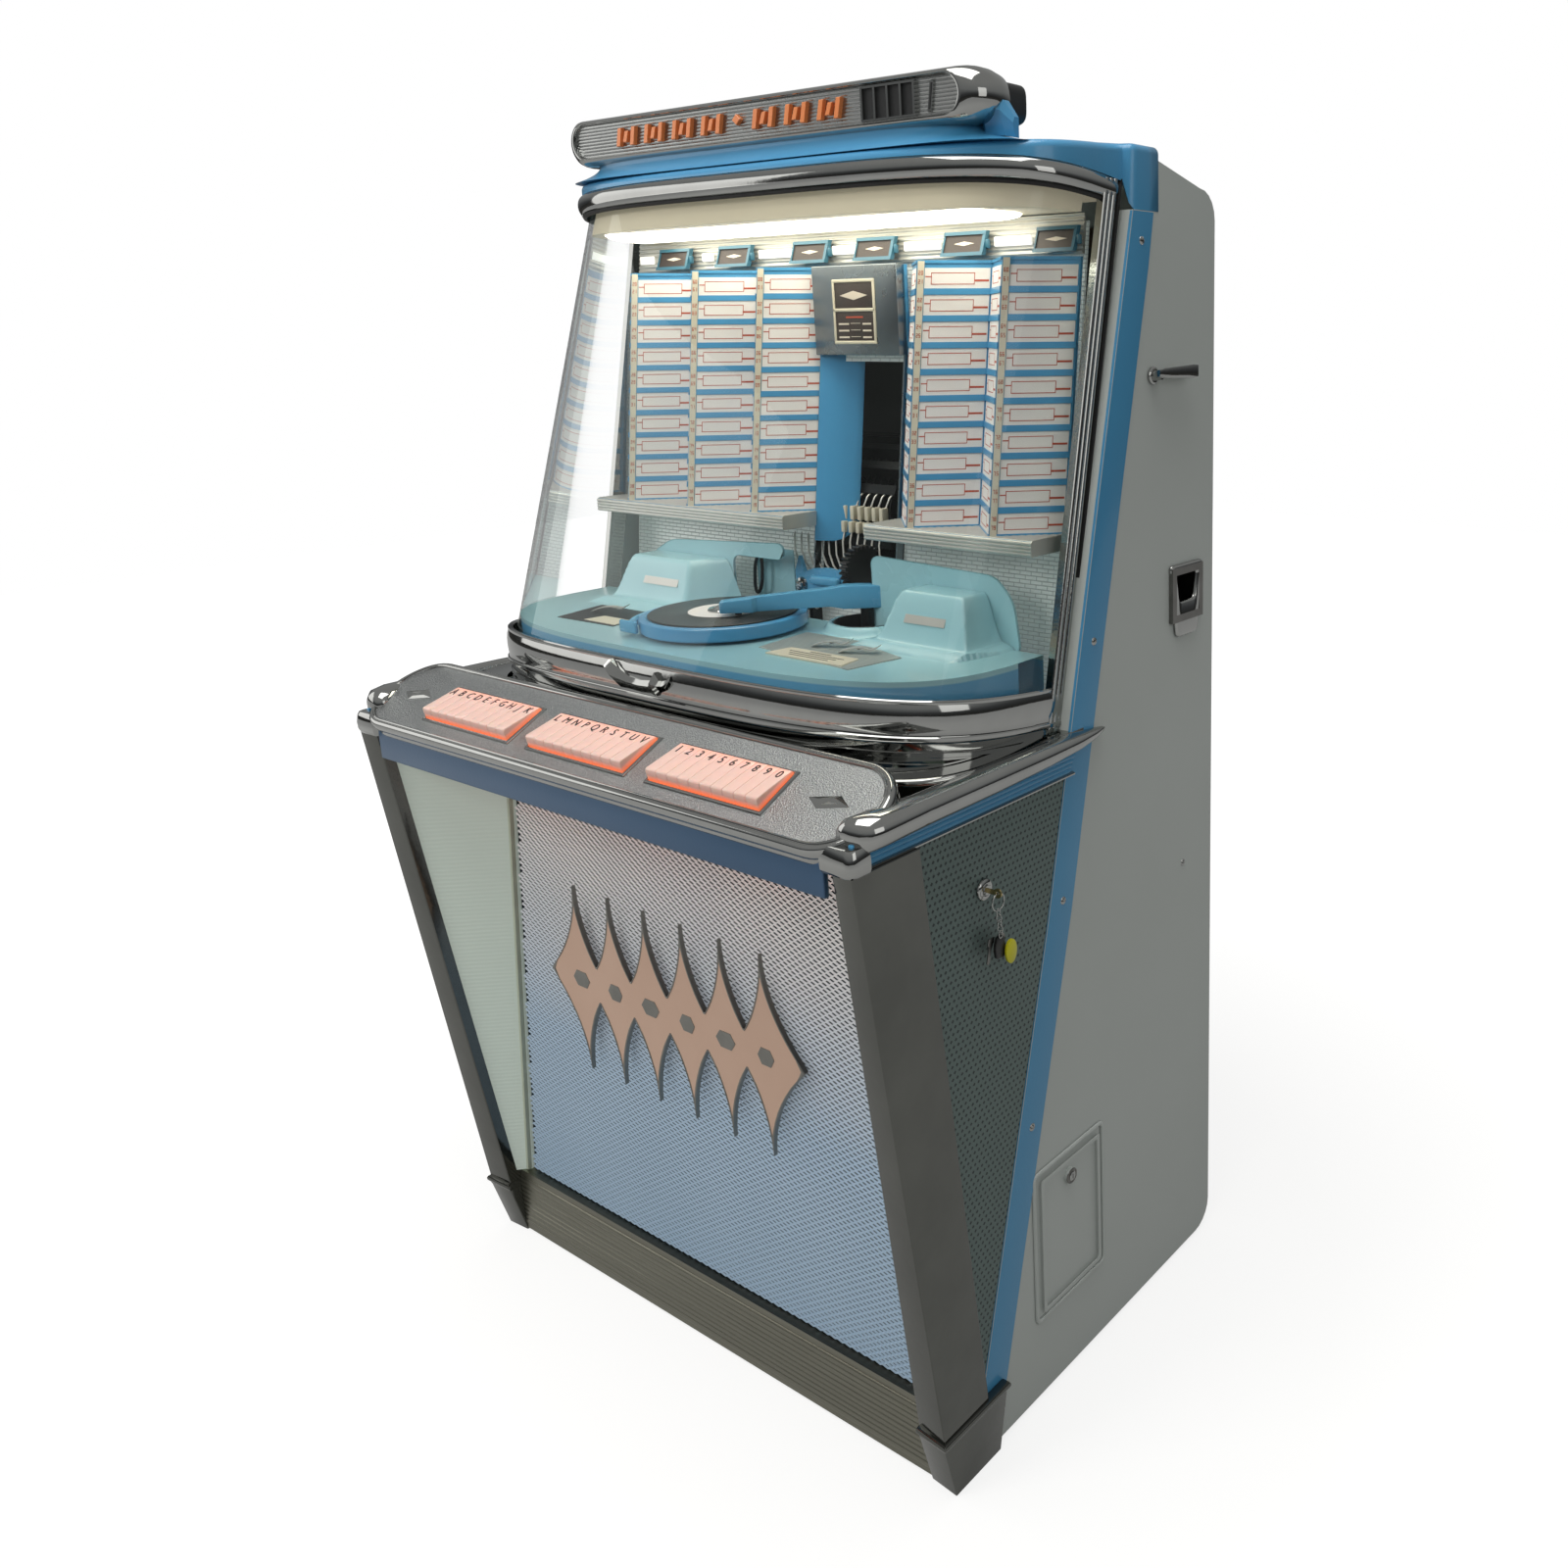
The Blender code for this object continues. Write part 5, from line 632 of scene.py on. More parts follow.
for sign, side in ((-1, "left"), (1, "right")):
    rings = []
    for y, x, z, rx, rz in ((-0.3120, 0.408, 0.796, 0.004, 0.004), (-0.3105, 0.410, 0.796, 0.013, 0.013),
                            (-0.3020, 0.414, 0.797, 0.021, 0.0175), (-0.2850, 0.419, 0.799, 0.0215, 0.0175),
                            (-0.2300, 0.4235, 0.8005, 0.0175, 0.0160), (-0.1300, 0.4240, 0.8010, 0.0170, 0.0150),
                            (-0.0400, 0.4238, 0.8015, 0.0155, 0.0130),
                            (0.0200, 0.4234, 0.8020, 0.0125, 0.0100), (0.0550, 0.4228, 0.8026, 0.0080, 0.0064),
                            (0.0750, 0.4222, 0.8032, 0.0036, 0.0030), (0.0808, 0.4220, 0.8034, 0.0008, 0.0008)):
        bulge = abs(np.sin(turn)) ** 0.85 * np.sign(np.sin(turn))
        rings.append(np.column_stack([np.minimum(x + rx * np.cos(turn), 0.4409) * sign, np.full(32, y),
                z + rz * bulge]))
    console_parts.append(surface("console_wing_" + side, rings, chrome, wrap_columns=True, caps=True, sharp=60))
    level = np.linspace(0.7665, 0.7920, 61)
    ribs = 0.4190 + 0.0013 * abs(np.sin((level - 0.7665) / 0.0051 * np.pi)) ** 0.6
    rows = []
    for y in (-0.3130, -0.2, -0.1, -0.02, 0.0150):
        outer = np.column_stack([sign * ribs, np.full(61, y) + (level - 0.7665) * 0.6 * (y > 0), level])
        rows.append(np.vstack([outer, [(sign * 0.4150, y, 0.7920), (sign * 0.4150, y, 0.7665)]]))
    trim = surface("console_side_trim_" + side, rows, blue_enamel, wrap_columns=True, caps=True, sharp=30)
    keep([trim], "cabinet")
    rows = [[(sign * x, y, z) for x,
             z in ((0.4150, 0.7630), (0.4200, 0.7630), (0.4222, 0.7640), (0.4222, 0.7655), (0.4200, 0.7668),
                   (0.4150, 0.7668))] for y in (-0.3125, 0.010, 0.0230)]
    console_parts.append(surface("console_side_bead_" + side, rows, chrome, wrap_columns=True, caps=True, sharp=40))
    rings = []
    for z, out in ((0.7628, 0.0), (0.7636, 0.0012), (0.7680, 0.0030), (0.7760, 0.0034), (0.7860, 0.0020),
                   (0.7900, 0.0)):
        x0, x1, y0, y1 = 0.386 - out * 0.3, 0.4265 + out, -0.3225 - out, -0.300
        rings.append([(sign * x, y, z) for x,
                      y in ((x0, y1), (x0, y0 + 0.006), (x0 + 0.003, y0 + 0.001), (x1 - 0.009, y0),
                            (x1 - 0.003, y0 + 0.002), (x1, y0 + 0.008), (x1, y1))])
    console_parts.append(surface("console_corner_" + side, rings, chrome, wrap_columns=True, caps=True, sharp=45))
for made in console_parts + [fascia, groove]:
    keep([made], "cabinet", "console_frame")

# Key panel: a die-cast plate with a coarse grain, a raised lip round each bank and a lozenge
# embossed near both ends.
grained, tree, out = blank("grained_die_cast")
place = add(tree, "TexCoord").outputs["Object"]
grain = add(tree, "TexVoronoi", {"Vector": place, "Scale": 620.0, "Randomness": 1.0}, feature="SMOOTH_F1")
cloud = add(tree, "TexNoise", {"Vector": place, "Scale": 900.0, "Detail": 3.0})
both = add(tree, "Math", {0: grain.outputs["Distance"], 1: cloud.outputs["Fac"]}, operation="ADD")
tone = add(tree, "Mix", {"Factor": both.outputs[0], 6: linear("#D6D7D4"), 7: linear("#9A9D9E")}, data_type="RGBA")
relief = add(tree, "Bump", {"Height": both.outputs[0], "Strength": 0.9, "Distance": 0.0007})
shader = add(tree, "BsdfPrincipled",
             {"Base Color": tone.outputs[2], "Metallic": 1.0, "Roughness": 0.30, "Normal": relief.outputs[0]})
tree.links.new(shader.outputs[0], out.inputs["Surface"])
dress("console_panel", grained)
KEY_PITCH, BANK = 0.01676, 0.1676
middles = [(i - 1) * (BANK + 0.041) for i in range(3)]
for index, middle in enumerate(middles):
    rows = []
    for out_by, above in ((0.0005, -0.0010), (0.0005, 0.0022), (0.0012, 0.0030), (0.0026, 0.0030), (0.0036, 0.0018),
                          (0.0042, 0.0001), (0.0042, -0.0010)):
        x, low, high = BANK / 2 + out_by, -out_by, 0.052 + out_by
        rows.append(slope([middle - x, middle + x, middle + x, middle - x], [low, low, high, high], above))
    lip = surface(f"bank_lip_{index}", rows, chrome, wrap_rows=True, wrap_columns=True, sharp=30)
    keep([lip], "cabinet")
for sign, side in ((-1, "left"), (1, "right")):
    points = [slope(sign * 0.357 + x, 0.031 + a, h) for x, a,
              h in ((-0.027, 0, 0.0001), (-0.008, -0.0105, 0.0001), (0.027, 0, 0.0001), (0.008, 0.0105, 0.0001),
              (-0.013, 0, 0.0016), (-0.004, -0.0055, 0.0016), (0.013, 0, 0.0016), (0.004, 0.0055, 0.0016),
              (0, 0, 0.0007))]
    faces = [(0, 1, 5, 4), (1, 2, 6, 5), (2, 3, 7, 6), (3, 0, 4, 7), (4, 5, 8), (5, 6, 8), (6, 7, 8), (7, 4, 8),
             (3, 2, 1, 0)]
    lozenge = body_of("panel_lozenge_" + side, points, faces, chrome, sharp=5)
    keep([lozenge], "cabinet")

# Keys: moulded salmon plastic wedges, each with one black letter or number near its rear edge.
# Their light from below is painted into the plastic: it glows orange and is a deeper salmon near
# the key's foot, and turns paler towards the top.
key_plastic, tree, out = blank("salmon_key_plastic_painted_glow")
place = add(tree, "TexCoord").outputs["Object"]
high_up = add(tree, "VectorMath", {0: place, 1: (0, -math.sin(TILT), math.cos(TILT))}, operation="DOT_PRODUCT")
base = 0.307 * math.sin(TILT) + 0.797 * math.cos(TILT)
lift = add(tree, "MapRange", {"Value": high_up.outputs["Value"], "From Min": base + 0.0015,
        "From Max": base + 0.0085})
streak = add(tree, "TexNoise",
             {"Vector": add(tree, "Mapping", {"Vector": place, "Scale": (160, 16, 16)}).outputs[0], "Scale": 1.0,
              "Detail": 3.0})
shift = add(tree, "Math", {0: streak.outputs["Fac"], 1: 0.35, 2: lift.outputs[0]}, operation="MULTIPLY_ADD")
colours = add(tree, "ValToRGB", {"Fac": shift.outputs[0]})
colours.color_ramp.elements[0].position, colours.color_ramp.elements[0].color = 0.12, linear("#DC9474")
colours.color_ramp.elements[1].position, colours.color_ramp.elements[1].color = 1.05, linear("#DDBFB4")
colours.color_ramp.elements.new(0.55).color = linear("#E6A68E")
# Painted glow of the light from below: strongest at the key's foot, fading towards its top.
glow = add(tree, "MapRange", {"Value": lift.outputs[0], "To Min": 0.75, "To Max": 0.06})
shader = add(tree, "BsdfPrincipled",
             {"Base Color": colours.outputs["Color"], "Roughness": 0.28, "Subsurface Weight": 0.15,
              "Coat Weight": 0.2,
                                      "Emission Color": linear("#FF6A2A"), "Emission Strength": glow.outputs[0]})
tree.links.new(shader.outputs[0], out.inputs["Surface"])
ink = sprayed("black_filled_letters", "#1C1715", "#2A2320", 0.5, patch=80.0)


def character(name, mark, tall, place_at, depth=0.0003):
    """One character as a thin mesh: the built-in font's outline, extruded, sized to the given height and
    carried by a function of x and y."""
    curve = bpy.data.curves.new(name, "FONT")
    curve.body, curve.size, curve.extrude, curve.align_x = mark, tall / 0.70, depth, "CENTER"
    curve.resolution_u = 3
    holder = bpy.data.objects.new(name, curve)
    bpy.context.collection.objects.link(holder)
    bpy.context.view_layer.update()
    mesh = bpy.data.meshes.new_from_object(holder.evaluated_get(bpy.context.evaluated_depsgraph_get()))
    bpy.data.objects.remove(holder)
    flat = np.array([v.co for v in mesh.vertices])
    mesh.vertices.foreach_set("co", place_at(flat).astype(np.float32).ravel())
    mesh.update()
    mesh.name = name
    return mesh


for middle, bank in zip(middles, ("ABCDEFGHJK", "LMNPQRSTUV", "1234567890")):
    for index, mark in enumerate(bank):
        left = middle - BANK / 2 + index * KEY_PITCH + 0.0003
        right = left + KEY_PITCH - 0.0006
        section = [(0.0003, -0.0155), (0.0517, -0.0155), (0.0520, 0.0010), (0.0520, 0.0045), (0.0514, 0.0058),
                   (0.0500, 0.0064), (0.0350, 0.00917), (0.0200, 0.01194),
                   (0.0080, 0.0141), (0.0056, 0.0146), (0.0040, 0.0141), (0.0030, 0.0128), (0.0016, 0.0080),
                   (0.0004, 0.0020)]
        along, above = np.array(section).T
        rows = []
        for x, inset in ((left, 0.0007), (left + 0.0002, 0.0002), (left + 0.0007, 0.0), (right - 0.0007, 0.0),
                         (right - 0.0002, 0.0002), (right, 0.0007)):
            rows.append(slope(np.full(len(section), x), np.clip(along, 0.0003 + inset * 0.4, 0.0520 - inset * 0.4),
                    np.where(above > 0, above - inset * 0.7, above)))
        name = "key_" + mark.lower()
        key = surface(name + "_cap", rows, key_plastic, wrap_columns=True, caps=True, sharp=50)
        keep([key], name, name)
        centre = (left + right) / 2
        mesh = character(name + "_mark", mark, 0.0105,
                         lambda p: slope(centre + p[:, 0] * 0.92, 0.0375 + p[:, 1],
                         0.0147 - (0.0375 + p[:, 1] - 0.0056) * 0.0082 / 0.0444 + p[:, 2] + 0.00005))
        mesh.materials.clear()
        mesh.materials.append(ink)
        letter = bpy.data.objects.new(name + "_mark", mesh)
        bpy.context.collection.objects.link(letter)
        keep([letter], name)

# Pillars: folded chrome-plated sheet leaning forward, each ending in a collar and a cast foot
# that tapers to the floor.
def round_corners(corners, radius, steps=5):
    """A polygon whose corners are rounded: each corner becomes points on a curve between the spots one radius
    before and after it."""
    corners = np.array(corners, float)
    before, after = np.roll(corners, 1, 0) - corners, np.roll(corners, -1, 0) - corners
    before *= radius / np.linalg.norm(before, axis=1)[:, None]
    after *= radius / np.linalg.norm(after, axis=1)[:, None]
    t = np.linspace(0, 1, steps)[None, :, None]
    return (corners[:, None] + before[:, None] * (1 - t) ** 2 + after[:, None] * t ** 2).reshape(-1, 2)


def pillar_plan(z):
    """The pillar's corners at a height: the front arris leans forward going up while the front narrows and the
    side widens."""
    share = (z - 0.085) / (0.764 - 0.085)
    arris, wide, deep = -0.239 - 0.083 * share, 0.041 - 0.011 * share, 0.074 + 0.016 * share
    return [(0.426 - wide, arris + 0.004), (0.426, arris), (0.426, arris + deep), (0.426 - wide, arris + deep)]


# Painted dark reflection: the pillars' chrome has a much darker base than the other chrome.
pillar_chrome_painted_dark = sprayed("pillar_chrome_painted_dark", "#6A6B67", "#565754", 0.10, 1.0, patch=9.0, peel=40.0, depth=0.0004)
for sign, side in ((-1, "left"), (1, "right")):
    rings = []
    for z in np.concatenate([[0.0845], np.linspace(0.086, 0.7635, 8)]):
        ring = round_corners(pillar_plan(z), 0.0016)
        rings.append(np.column_stack([ring[:, 0] * sign, ring[:, 1], np.full(len(ring), z)]))
    post = surface("pillar_post_" + side, rings, pillar_chrome_painted_dark, wrap_columns=True, caps=True, sharp=40)
    rings = []
    for z, out_by in ((0.0730, -0.0005), (0.0735, 0.0004), (0.0760, 0.0010), (0.0780, 0.0030), (0.0800, 0.0040),
                      (0.0825, 0.0040), (0.0845, 0.0028), (0.0852, 0.0010)):
        arris = -0.239
        ring = round_corners([(0.385 - out_by * 0.2, arris + 0.003 - out_by), (0.426 + out_by, arris - out_by),
                (0.426 + out_by, -0.1345 + out_by), (0.4185, -0.1345 + out_by), (0.4185, -0.168), (0.385, -0.168)],
                0.0012, 3)
        rings.append(np.column_stack([ring[:, 0] * sign, ring[:, 1], np.full(len(ring), z)]))
    collar = surface("pillar_collar_" + side, rings, pillar_chrome_painted_dark, wrap_columns=True, caps=True, sharp=35)
    rings = []
    for z in (0.0, 0.0015, 0.012, 0.035, 0.060, 0.0732):
        share = z / 0.074
        front, back, tuck = -0.221 - 0.018 * share, -0.145 + 0.011 * share, 0.003 * (1 - share)
        pull = 0.0015 if z == 0 else 0
        ring = round_corners([(0.385 + pull, front + 0.003 + pull), (0.426 - tuck - pull, front + pull),
                (0.426 - tuck - pull, back - pull), (0.4185, back - pull), (0.4185, -0.1875),
                (0.385 + pull, -0.1875)], 0.0010, 3)
        rings.append(np.column_stack([ring[:, 0] * sign, ring[:, 1], np.full(len(ring), z)]))
    foot_piece = surface("pillar_foot_" + side, rings, pillar_chrome_painted_dark, wrap_columns=True, caps=True, sharp=35)
    for made in (post, collar, foot_piece):
        keep([made], "cabinet", "pillar_" + side)

# Kick rail: a brushed aluminium extrusion between the feet, with shallow lengthwise ribs.
brushed, tree, out = blank("brushed_aluminium")
place = add(tree, "TexCoord").outputs["Object"]
scratch = add(tree, "TexNoise",
              {"Vector": add(tree, "Mapping", {"Vector": place, "Scale": (6, 700, 700)}).outputs[0], "Scale": 1.0,
               "Detail": 4.0, "Roughness": 0.7})
tone = add(tree, "Mix", {"Factor": scratch.outputs["Fac"], 6: linear("#9B9A8C"), 7: linear("#737166")},
           data_type="RGBA")
relief = add(tree, "Bump", {"Height": scratch.outputs["Fac"], "Strength": 0.4, "Distance": 0.0002})
sheen = add(tree, "MapRange", {"Value": scratch.outputs["Fac"], "To Min": 0.24, "To Max": 0.42})
shader = add(tree, "BsdfPrincipled",
             {"Base Color": tone.outputs[2], "Metallic": 1.0, "Roughness": sheen.outputs[0],
              "Normal": relief.outputs[0], "Anisotropic": 0.5})
tree.links.new(shader.outputs[0], out.inputs["Surface"])
level = np.linspace(0.0045, 0.0995, 141)
ribs = -0.2178 - 0.0011 * np.clip(abs(np.sin((level - 0.005) / 0.0075 * np.pi)) * 2, 0,
        1) * (level > 0.012) * (level < 0.090)
front_side = np.stack([ribs, level], -1)
section = np.vstack([front_side, [(-0.2055, 0.0995), (-0.2055, 0.0045)]])
rows = [np.column_stack([np.full(len(section), x), section]) for x in (-0.3846, 0.0, 0.3846)]
rail = surface("kick_rail_extrusion", rows, brushed, wrap_columns=True, caps=True, sharp=30)
keep([rail], "cabinet", "kick_rail")

# Front grille: expanded diamond mesh of bright metal, lit white from inside at the top and blue
# lower down. That light is painted into the strands: their colour runs from blue low down to
# white at the top, and they glow in the same colour. Every strand is a twisted ribbon between two
# knots of the diamond lattice.
mesh_metal, tree, out = blank("expanded_mesh_metal_painted_glow")
place = add(tree, "TexCoord").outputs["Object"]
rise = add(tree, "SeparateXYZ", {0: place}).outputs["Z"]
wave = add(tree, "TexNoise", {"Vector": place, "Scale": 4.0, "Detail": 2.0})
drift = add(tree, "Math", {0: wave.outputs["Fac"], 1: 0.16, 2: rise}, operation="MULTIPLY_ADD")
span = add(tree, "MapRange", {"Value": drift.outputs[0], "From Min": 0.16, "From Max": 0.82})
shades = add(tree, "ValToRGB", {"Fac": span.outputs[0]})
shades.color_ramp.elements[0].color, shades.color_ramp.elements[1].color = linear("#9DB2C4"), linear("#F4EEE9")
shades.color_ramp.elements.new(0.38).color = linear("#B0C2D2")
shades.color_ramp.elements.new(0.72).color = linear("#D9D9DA")
# Painted glow: the strands emit their own ramp colour.
shader = add(tree, "BsdfPrincipled",
             {"Base Color": shades.outputs["Color"], "Metallic": 0.7, "Roughness": 0.34,
              "Emission Color": shades.outputs["Color"], "Emission Strength": 0.26})
tree.links.new(shader.outputs[0], out.inputs["Surface"])
# The real strands are finer: they are drawn at a 12 mm by 8 mm pitch so that the diamonds still
# show at this distance.
WIDE, TALL = 0.0120, 0.0080
column, row = np.meshgrid(np.arange(-32, 33), np.arange(0, 157))
knot_x = (column + 0.5 * (row % 2)) * WIDE
knot_z = 0.1012 + row * TALL / 2
limit = 0.370 - (0.370 - 0.292) * (knot_z - 0.101) / 0.629 - 0.001
ribbons = []
for step in (-0.5, 0.5):
    x2, z2 = knot_x + step * WIDE, knot_z + TALL / 2
    in_frame = (abs(knot_x) < limit) & (abs(x2) < limit - 0.0006) & (z2 < 0.7295)
    a = np.stack([knot_x[in_frame], np.full(in_frame.sum(), -0.2055), knot_z[in_frame]], -1)
    b = np.stack([x2[in_frame], np.full(in_frame.sum(), -0.2072), z2[in_frame]], -1)
    low, high = np.array([0, -0.0008, -0.00105]), np.array([0, 0.0008, 0.00105])
    ribbons.append(np.stack([a + low, b + low, b + high, a + high], 1))
ribbons = np.concatenate(ribbons)
faces = np.arange(len(ribbons) * 4).reshape(-1, 4)
grille = body_of("grille_mesh", ribbons.reshape(-1, 3), [tuple(f) for f in faces.tolist()], mesh_metal)
keep([grille], "cabinet", "front_grille")
cloth, tree, out = blank("lit_backing_cloth")
place = add(tree, "TexCoord").outputs["Object"]
rise = add(tree, "SeparateXYZ", {0: place}).outputs["Z"]
shades = add(tree, "ValToRGB",
             {"Fac": add(tree, "MapRange", {"Value": rise, "From Min": 0.10, "From Max": 0.73}).outputs[0]})
shades.color_ramp.elements[0].color, shades.color_ramp.elements[1].color = linear("#16202B"), linear("#1D1E22")
shades.color_ramp.elements.new(0.45).color = linear("#19242F")
shader = add(tree, "BsdfPrincipled",
             {"Base Color": shades.outputs["Color"], "Roughness": 0.9, "Specular IOR Level": 0.1})
tree.links.new(shader.outputs[0], out.inputs["Surface"])
outline = [(-0.369, 0.102), (0.369, 0.102), (0.2915, 0.7295), (-0.2915, 0.7295)]
backing = surface("grille_backing", [[(x, y, z) for x, z in outline] for y in (-0.2046, -0.2038)], cloth,
                  wrap_columns=True, caps=True)
keep([backing], "cabinet")

# Side enclosures: a perforated teal-grey sheet behind each pillar, and inside it a frosted
# light panel with a cream trim.
perforated, tree, out = blank("perforated_teal_sheet")
place = add(tree, "TexCoord").outputs["Object"]
split = add(tree, "SeparateXYZ", {0: place})
PUNCH = 0.0072
z_cell = add(tree, "Math", {0: split.outputs["Z"], 1: 1 / PUNCH}, operation="MULTIPLY")
odd = add(tree, "Math", {0: add(tree, "Math", {0: z_cell.outputs[0]}, operation="FLOOR").outputs[0], 1: 2.0},
          operation="MODULO")
y_cell = add(tree, "Math", {0: split.outputs["Y"], 1: 1 / PUNCH,
                            2: add(tree, "Math", {0: odd.outputs[0], 1: 0.5}, operation="MULTIPLY").outputs[0]},
                            operation="MULTIPLY_ADD")
dy = add(tree, "Math", {0: add(tree, "Math", {0: y_cell.outputs[0]}, operation="FRACT").outputs[0], 1: 0.5},
         operation="SUBTRACT")
dz = add(tree, "Math", {0: add(tree, "Math", {0: z_cell.outputs[0]}, operation="FRACT").outputs[0], 1: 0.5},
         operation="SUBTRACT")
near = add(tree, "Math", {0: add(tree, "Math", {0: dy.outputs[0]}, operation="ABSOLUTE").outputs[0],
                          1: add(tree, "Math", {0: dz.outputs[0]}, operation="ABSOLUTE").outputs[0]}, operation="ADD")
punched = add(tree, "MapRange", {"Value": near.outputs[0], "From Min": 0.22, "From Max": 0.34})
wide_tone = add(tree, "TexNoise", {"Vector": place, "Scale": 3.0, "Detail": 3.0})
sheet_tone = add(tree, "Mix", {"Factor": wide_tone.outputs["Fac"], 6: linear("#6B7B77"), 7: linear("#5A6B69")},
                 data_type="RGBA")
tone = add(tree, "Mix", {"Factor": punched.outputs[0], 6: linear("#2E3938"), 7: sheet_tone.outputs[2]},
           data_type="RGBA")
relief = add(tree, "Bump", {"Height": punched.outputs[0], "Strength": 0.8, "Distance": 0.0012})
shader = add(tree, "BsdfPrincipled",
             {"Base Color": tone.outputs[2], "Metallic": 0.3, "Roughness": 0.46, "Normal": relief.outputs[0]})
tree.links.new(shader.outputs[0], out.inputs["Surface"])
frosted, tree, out = blank("frosted_light_panel")
place = add(tree, "TexCoord").outputs["Object"]
ripple = add(tree, "TexWave", {"Vector": place, "Scale": 55.0, "Distortion": 0.6}, bands_direction="Z")
relief = add(tree, "Bump", {"Height": ripple.outputs["Fac"], "Strength": 0.25, "Distance": 0.0006})
patches = add(tree, "TexNoise", {"Vector": place, "Scale": 3.0})
tone = add(tree, "Mix", {"Factor": patches.outputs["Fac"], 6: linear("#CBD6CC"), 7: linear("#B8C6BD")},
           data_type="RGBA")
shader = add(tree, "BsdfPrincipled",
             {"Base Color": tone.outputs[2], "Roughness": 0.35, "Normal": relief.outputs[0],
              "Emission Color": linear("#C9D6CB"), "Emission Strength": 0.22})
tree.links.new(shader.outputs[0], out.inputs["Surface"])
cream_trim = sprayed("cream_green_trim", "#C5CDB9", "#B4BEA8", 0.4, patch=6.0)
dress("side_box_left", frosted)
dress("side_box_right", frosted)
for sign, side in ((-1, "left"), (1, "right")):
    heights = np.linspace(0.101, 0.7615, 24)
    rear_of_pillar = np.array([pillar_plan(z)[2][1] for z in heights])
    line = front_edge(heights)
    rows = [np.column_stack([np.full(24, sign * x), y, heights]) for x,
            y in ((0.4156, rear_of_pillar + 0.001), (0.41665, rear_of_pillar + 0.001), (0.41665, line - 0.001),
                  (0.4156, line - 0.001))]
    screen = surface("side_screen_" + side, np.stack(rows, 1), perforated, wrap_columns=True, caps=True, sharp=30)
    keep([screen], "cabinet")
    half = 0.370 - 0.078 * (heights[:-1] - 0.101) / 0.629
    rows = [np.column_stack([sign * (half + x), np.full(23, y), heights[:-1]]) for x,
            y in ((0.0006, -0.2140), (0.0030, -0.2140), (0.0100, -0.2128), (0.0100, -0.2085), (0.0006, -0.2085))]
    trim = surface("light_panel_trim_" + side, np.stack(rows, 1), cream_trim, wrap_columns=True, caps=True, sharp=30)
    keep([trim], "cabinet")

# Badge: a plate of six double-ended spikes in beige enamel with a dark raised metal edge, on
# pins in front of the mesh. Its word is left off: six plain dark hexagons stand in its place.
enamel = sprayed("beige_badge_enamel", "#DDBBA5", "#D2AE98", 0.42, patch=7.0)
edge_metal = sprayed("dark_badge_metal", "#8F8E89", "#74736F", 0.3, 1.0, patch=30.0)
BADGE_Z, BADGE_PITCH, BADGE_FIRST = 0.456, 0.0676, -0.169


def spiked(inset=0.0, count=9):
    """The badge's outline, drawn in by the inset.
    Each spike's half width is its pitch share times (1 - rise)^2, less the inset.
    A rounded valley lies between two spikes, and both ends taper the same way."""
    tip, valley = 0.1255, 0.025
    upper = []
    for spike in range(6):
        x = BADGE_FIRST + spike * BADGE_PITCH
        for side in (-1, 1):
            at_end = (spike, side) in ((0, -1), (5, 1))
            wide, low = (0.0625, 0.0) if at_end else (BADGE_PITCH / 2 - 0.0012, valley)
            rise = np.linspace(0, 1, count) * (1 - (inset / wide) ** 0.5)
            half = wide * (1 - rise) ** 2.0 - inset * np.minimum(1, rise * 6)
            height = low + (tip - low) * rise - (0 if at_end else inset) * (1 - rise) ** 4
            flank = list(zip(x + side * half, height))
            flank = flank[1:] if at_end else flank
            upper += flank if side < 0 else flank[::-1][1:]
    upper = [(-0.2315 + 3 * inset, 0.0)] + upper + [(0.2315 - 3 * inset, 0.0)]
    return np.array(upper + [(x, -z) for x, z in upper[-2:0:-1]])


def badge_ring(inset, y):
    ring = spiked(inset)
    return np.column_stack([ring[:, 0], np.full(len(ring), y), ring[:, 1] + BADGE_Z])


edge_rings = [badge_ring(inset, y) for inset,
              y in ((0.0012, -0.2182), (0.0, -0.2188), (0.0, -0.2242), (0.0006, -0.2249), (0.0018, -0.2249),
                    (0.0024, -0.2238))]
badge_edge = surface("badge_edge", edge_rings, edge_metal, wrap_columns=True, sharp=30)
badge_pieces = [badge_edge]
# The flat faces are closed strip by strip between the upper and lower outline, which mirror
# each other.
for name, inset, y, material in (("badge_face", 0.0021, -0.2241, enamel),
        ("badge_back", 0.0012, -0.2182, edge_metal)):
    ring = badge_ring(inset, y)
    count = len(ring)
    upper = list(range(count // 2 + 1))
    pairs = [(i, (count - i) % count) for i in upper]
    faces = [(pairs[k][0], pairs[k + 1][0], pairs[k + 1][1], pairs[k][1]) for k in range(1, len(pairs) - 2)]
    faces += [(0, 1, count - 1), (pairs[-1][0], pairs[-2][1], pairs[-2][0])]
    badge_pieces.append(body_of(name, ring, faces, material))
for index in range(6):
    x = BADGE_FIRST + index * BADGE_PITCH
    half = 0.0135 if index % 2 else 0.0165
    flat, top, foot = half * 0.55, 0.4665, 0.4455
    mark = [(x - half, BADGE_Z), (x - flat, top), (x + flat, top), (x + half, BADGE_Z), (x + flat, foot),
            (x - flat, foot)]
    badge_pieces.append(surface("badge_lozenge_%d" % index,
            [[(a, y, b) for a, b in mark] for y in (-0.2240, -0.2246)], edge_metal, wrap_columns=True, caps=True,
            sharp=30))
keep(badge_pieces, "cabinet", "badge")


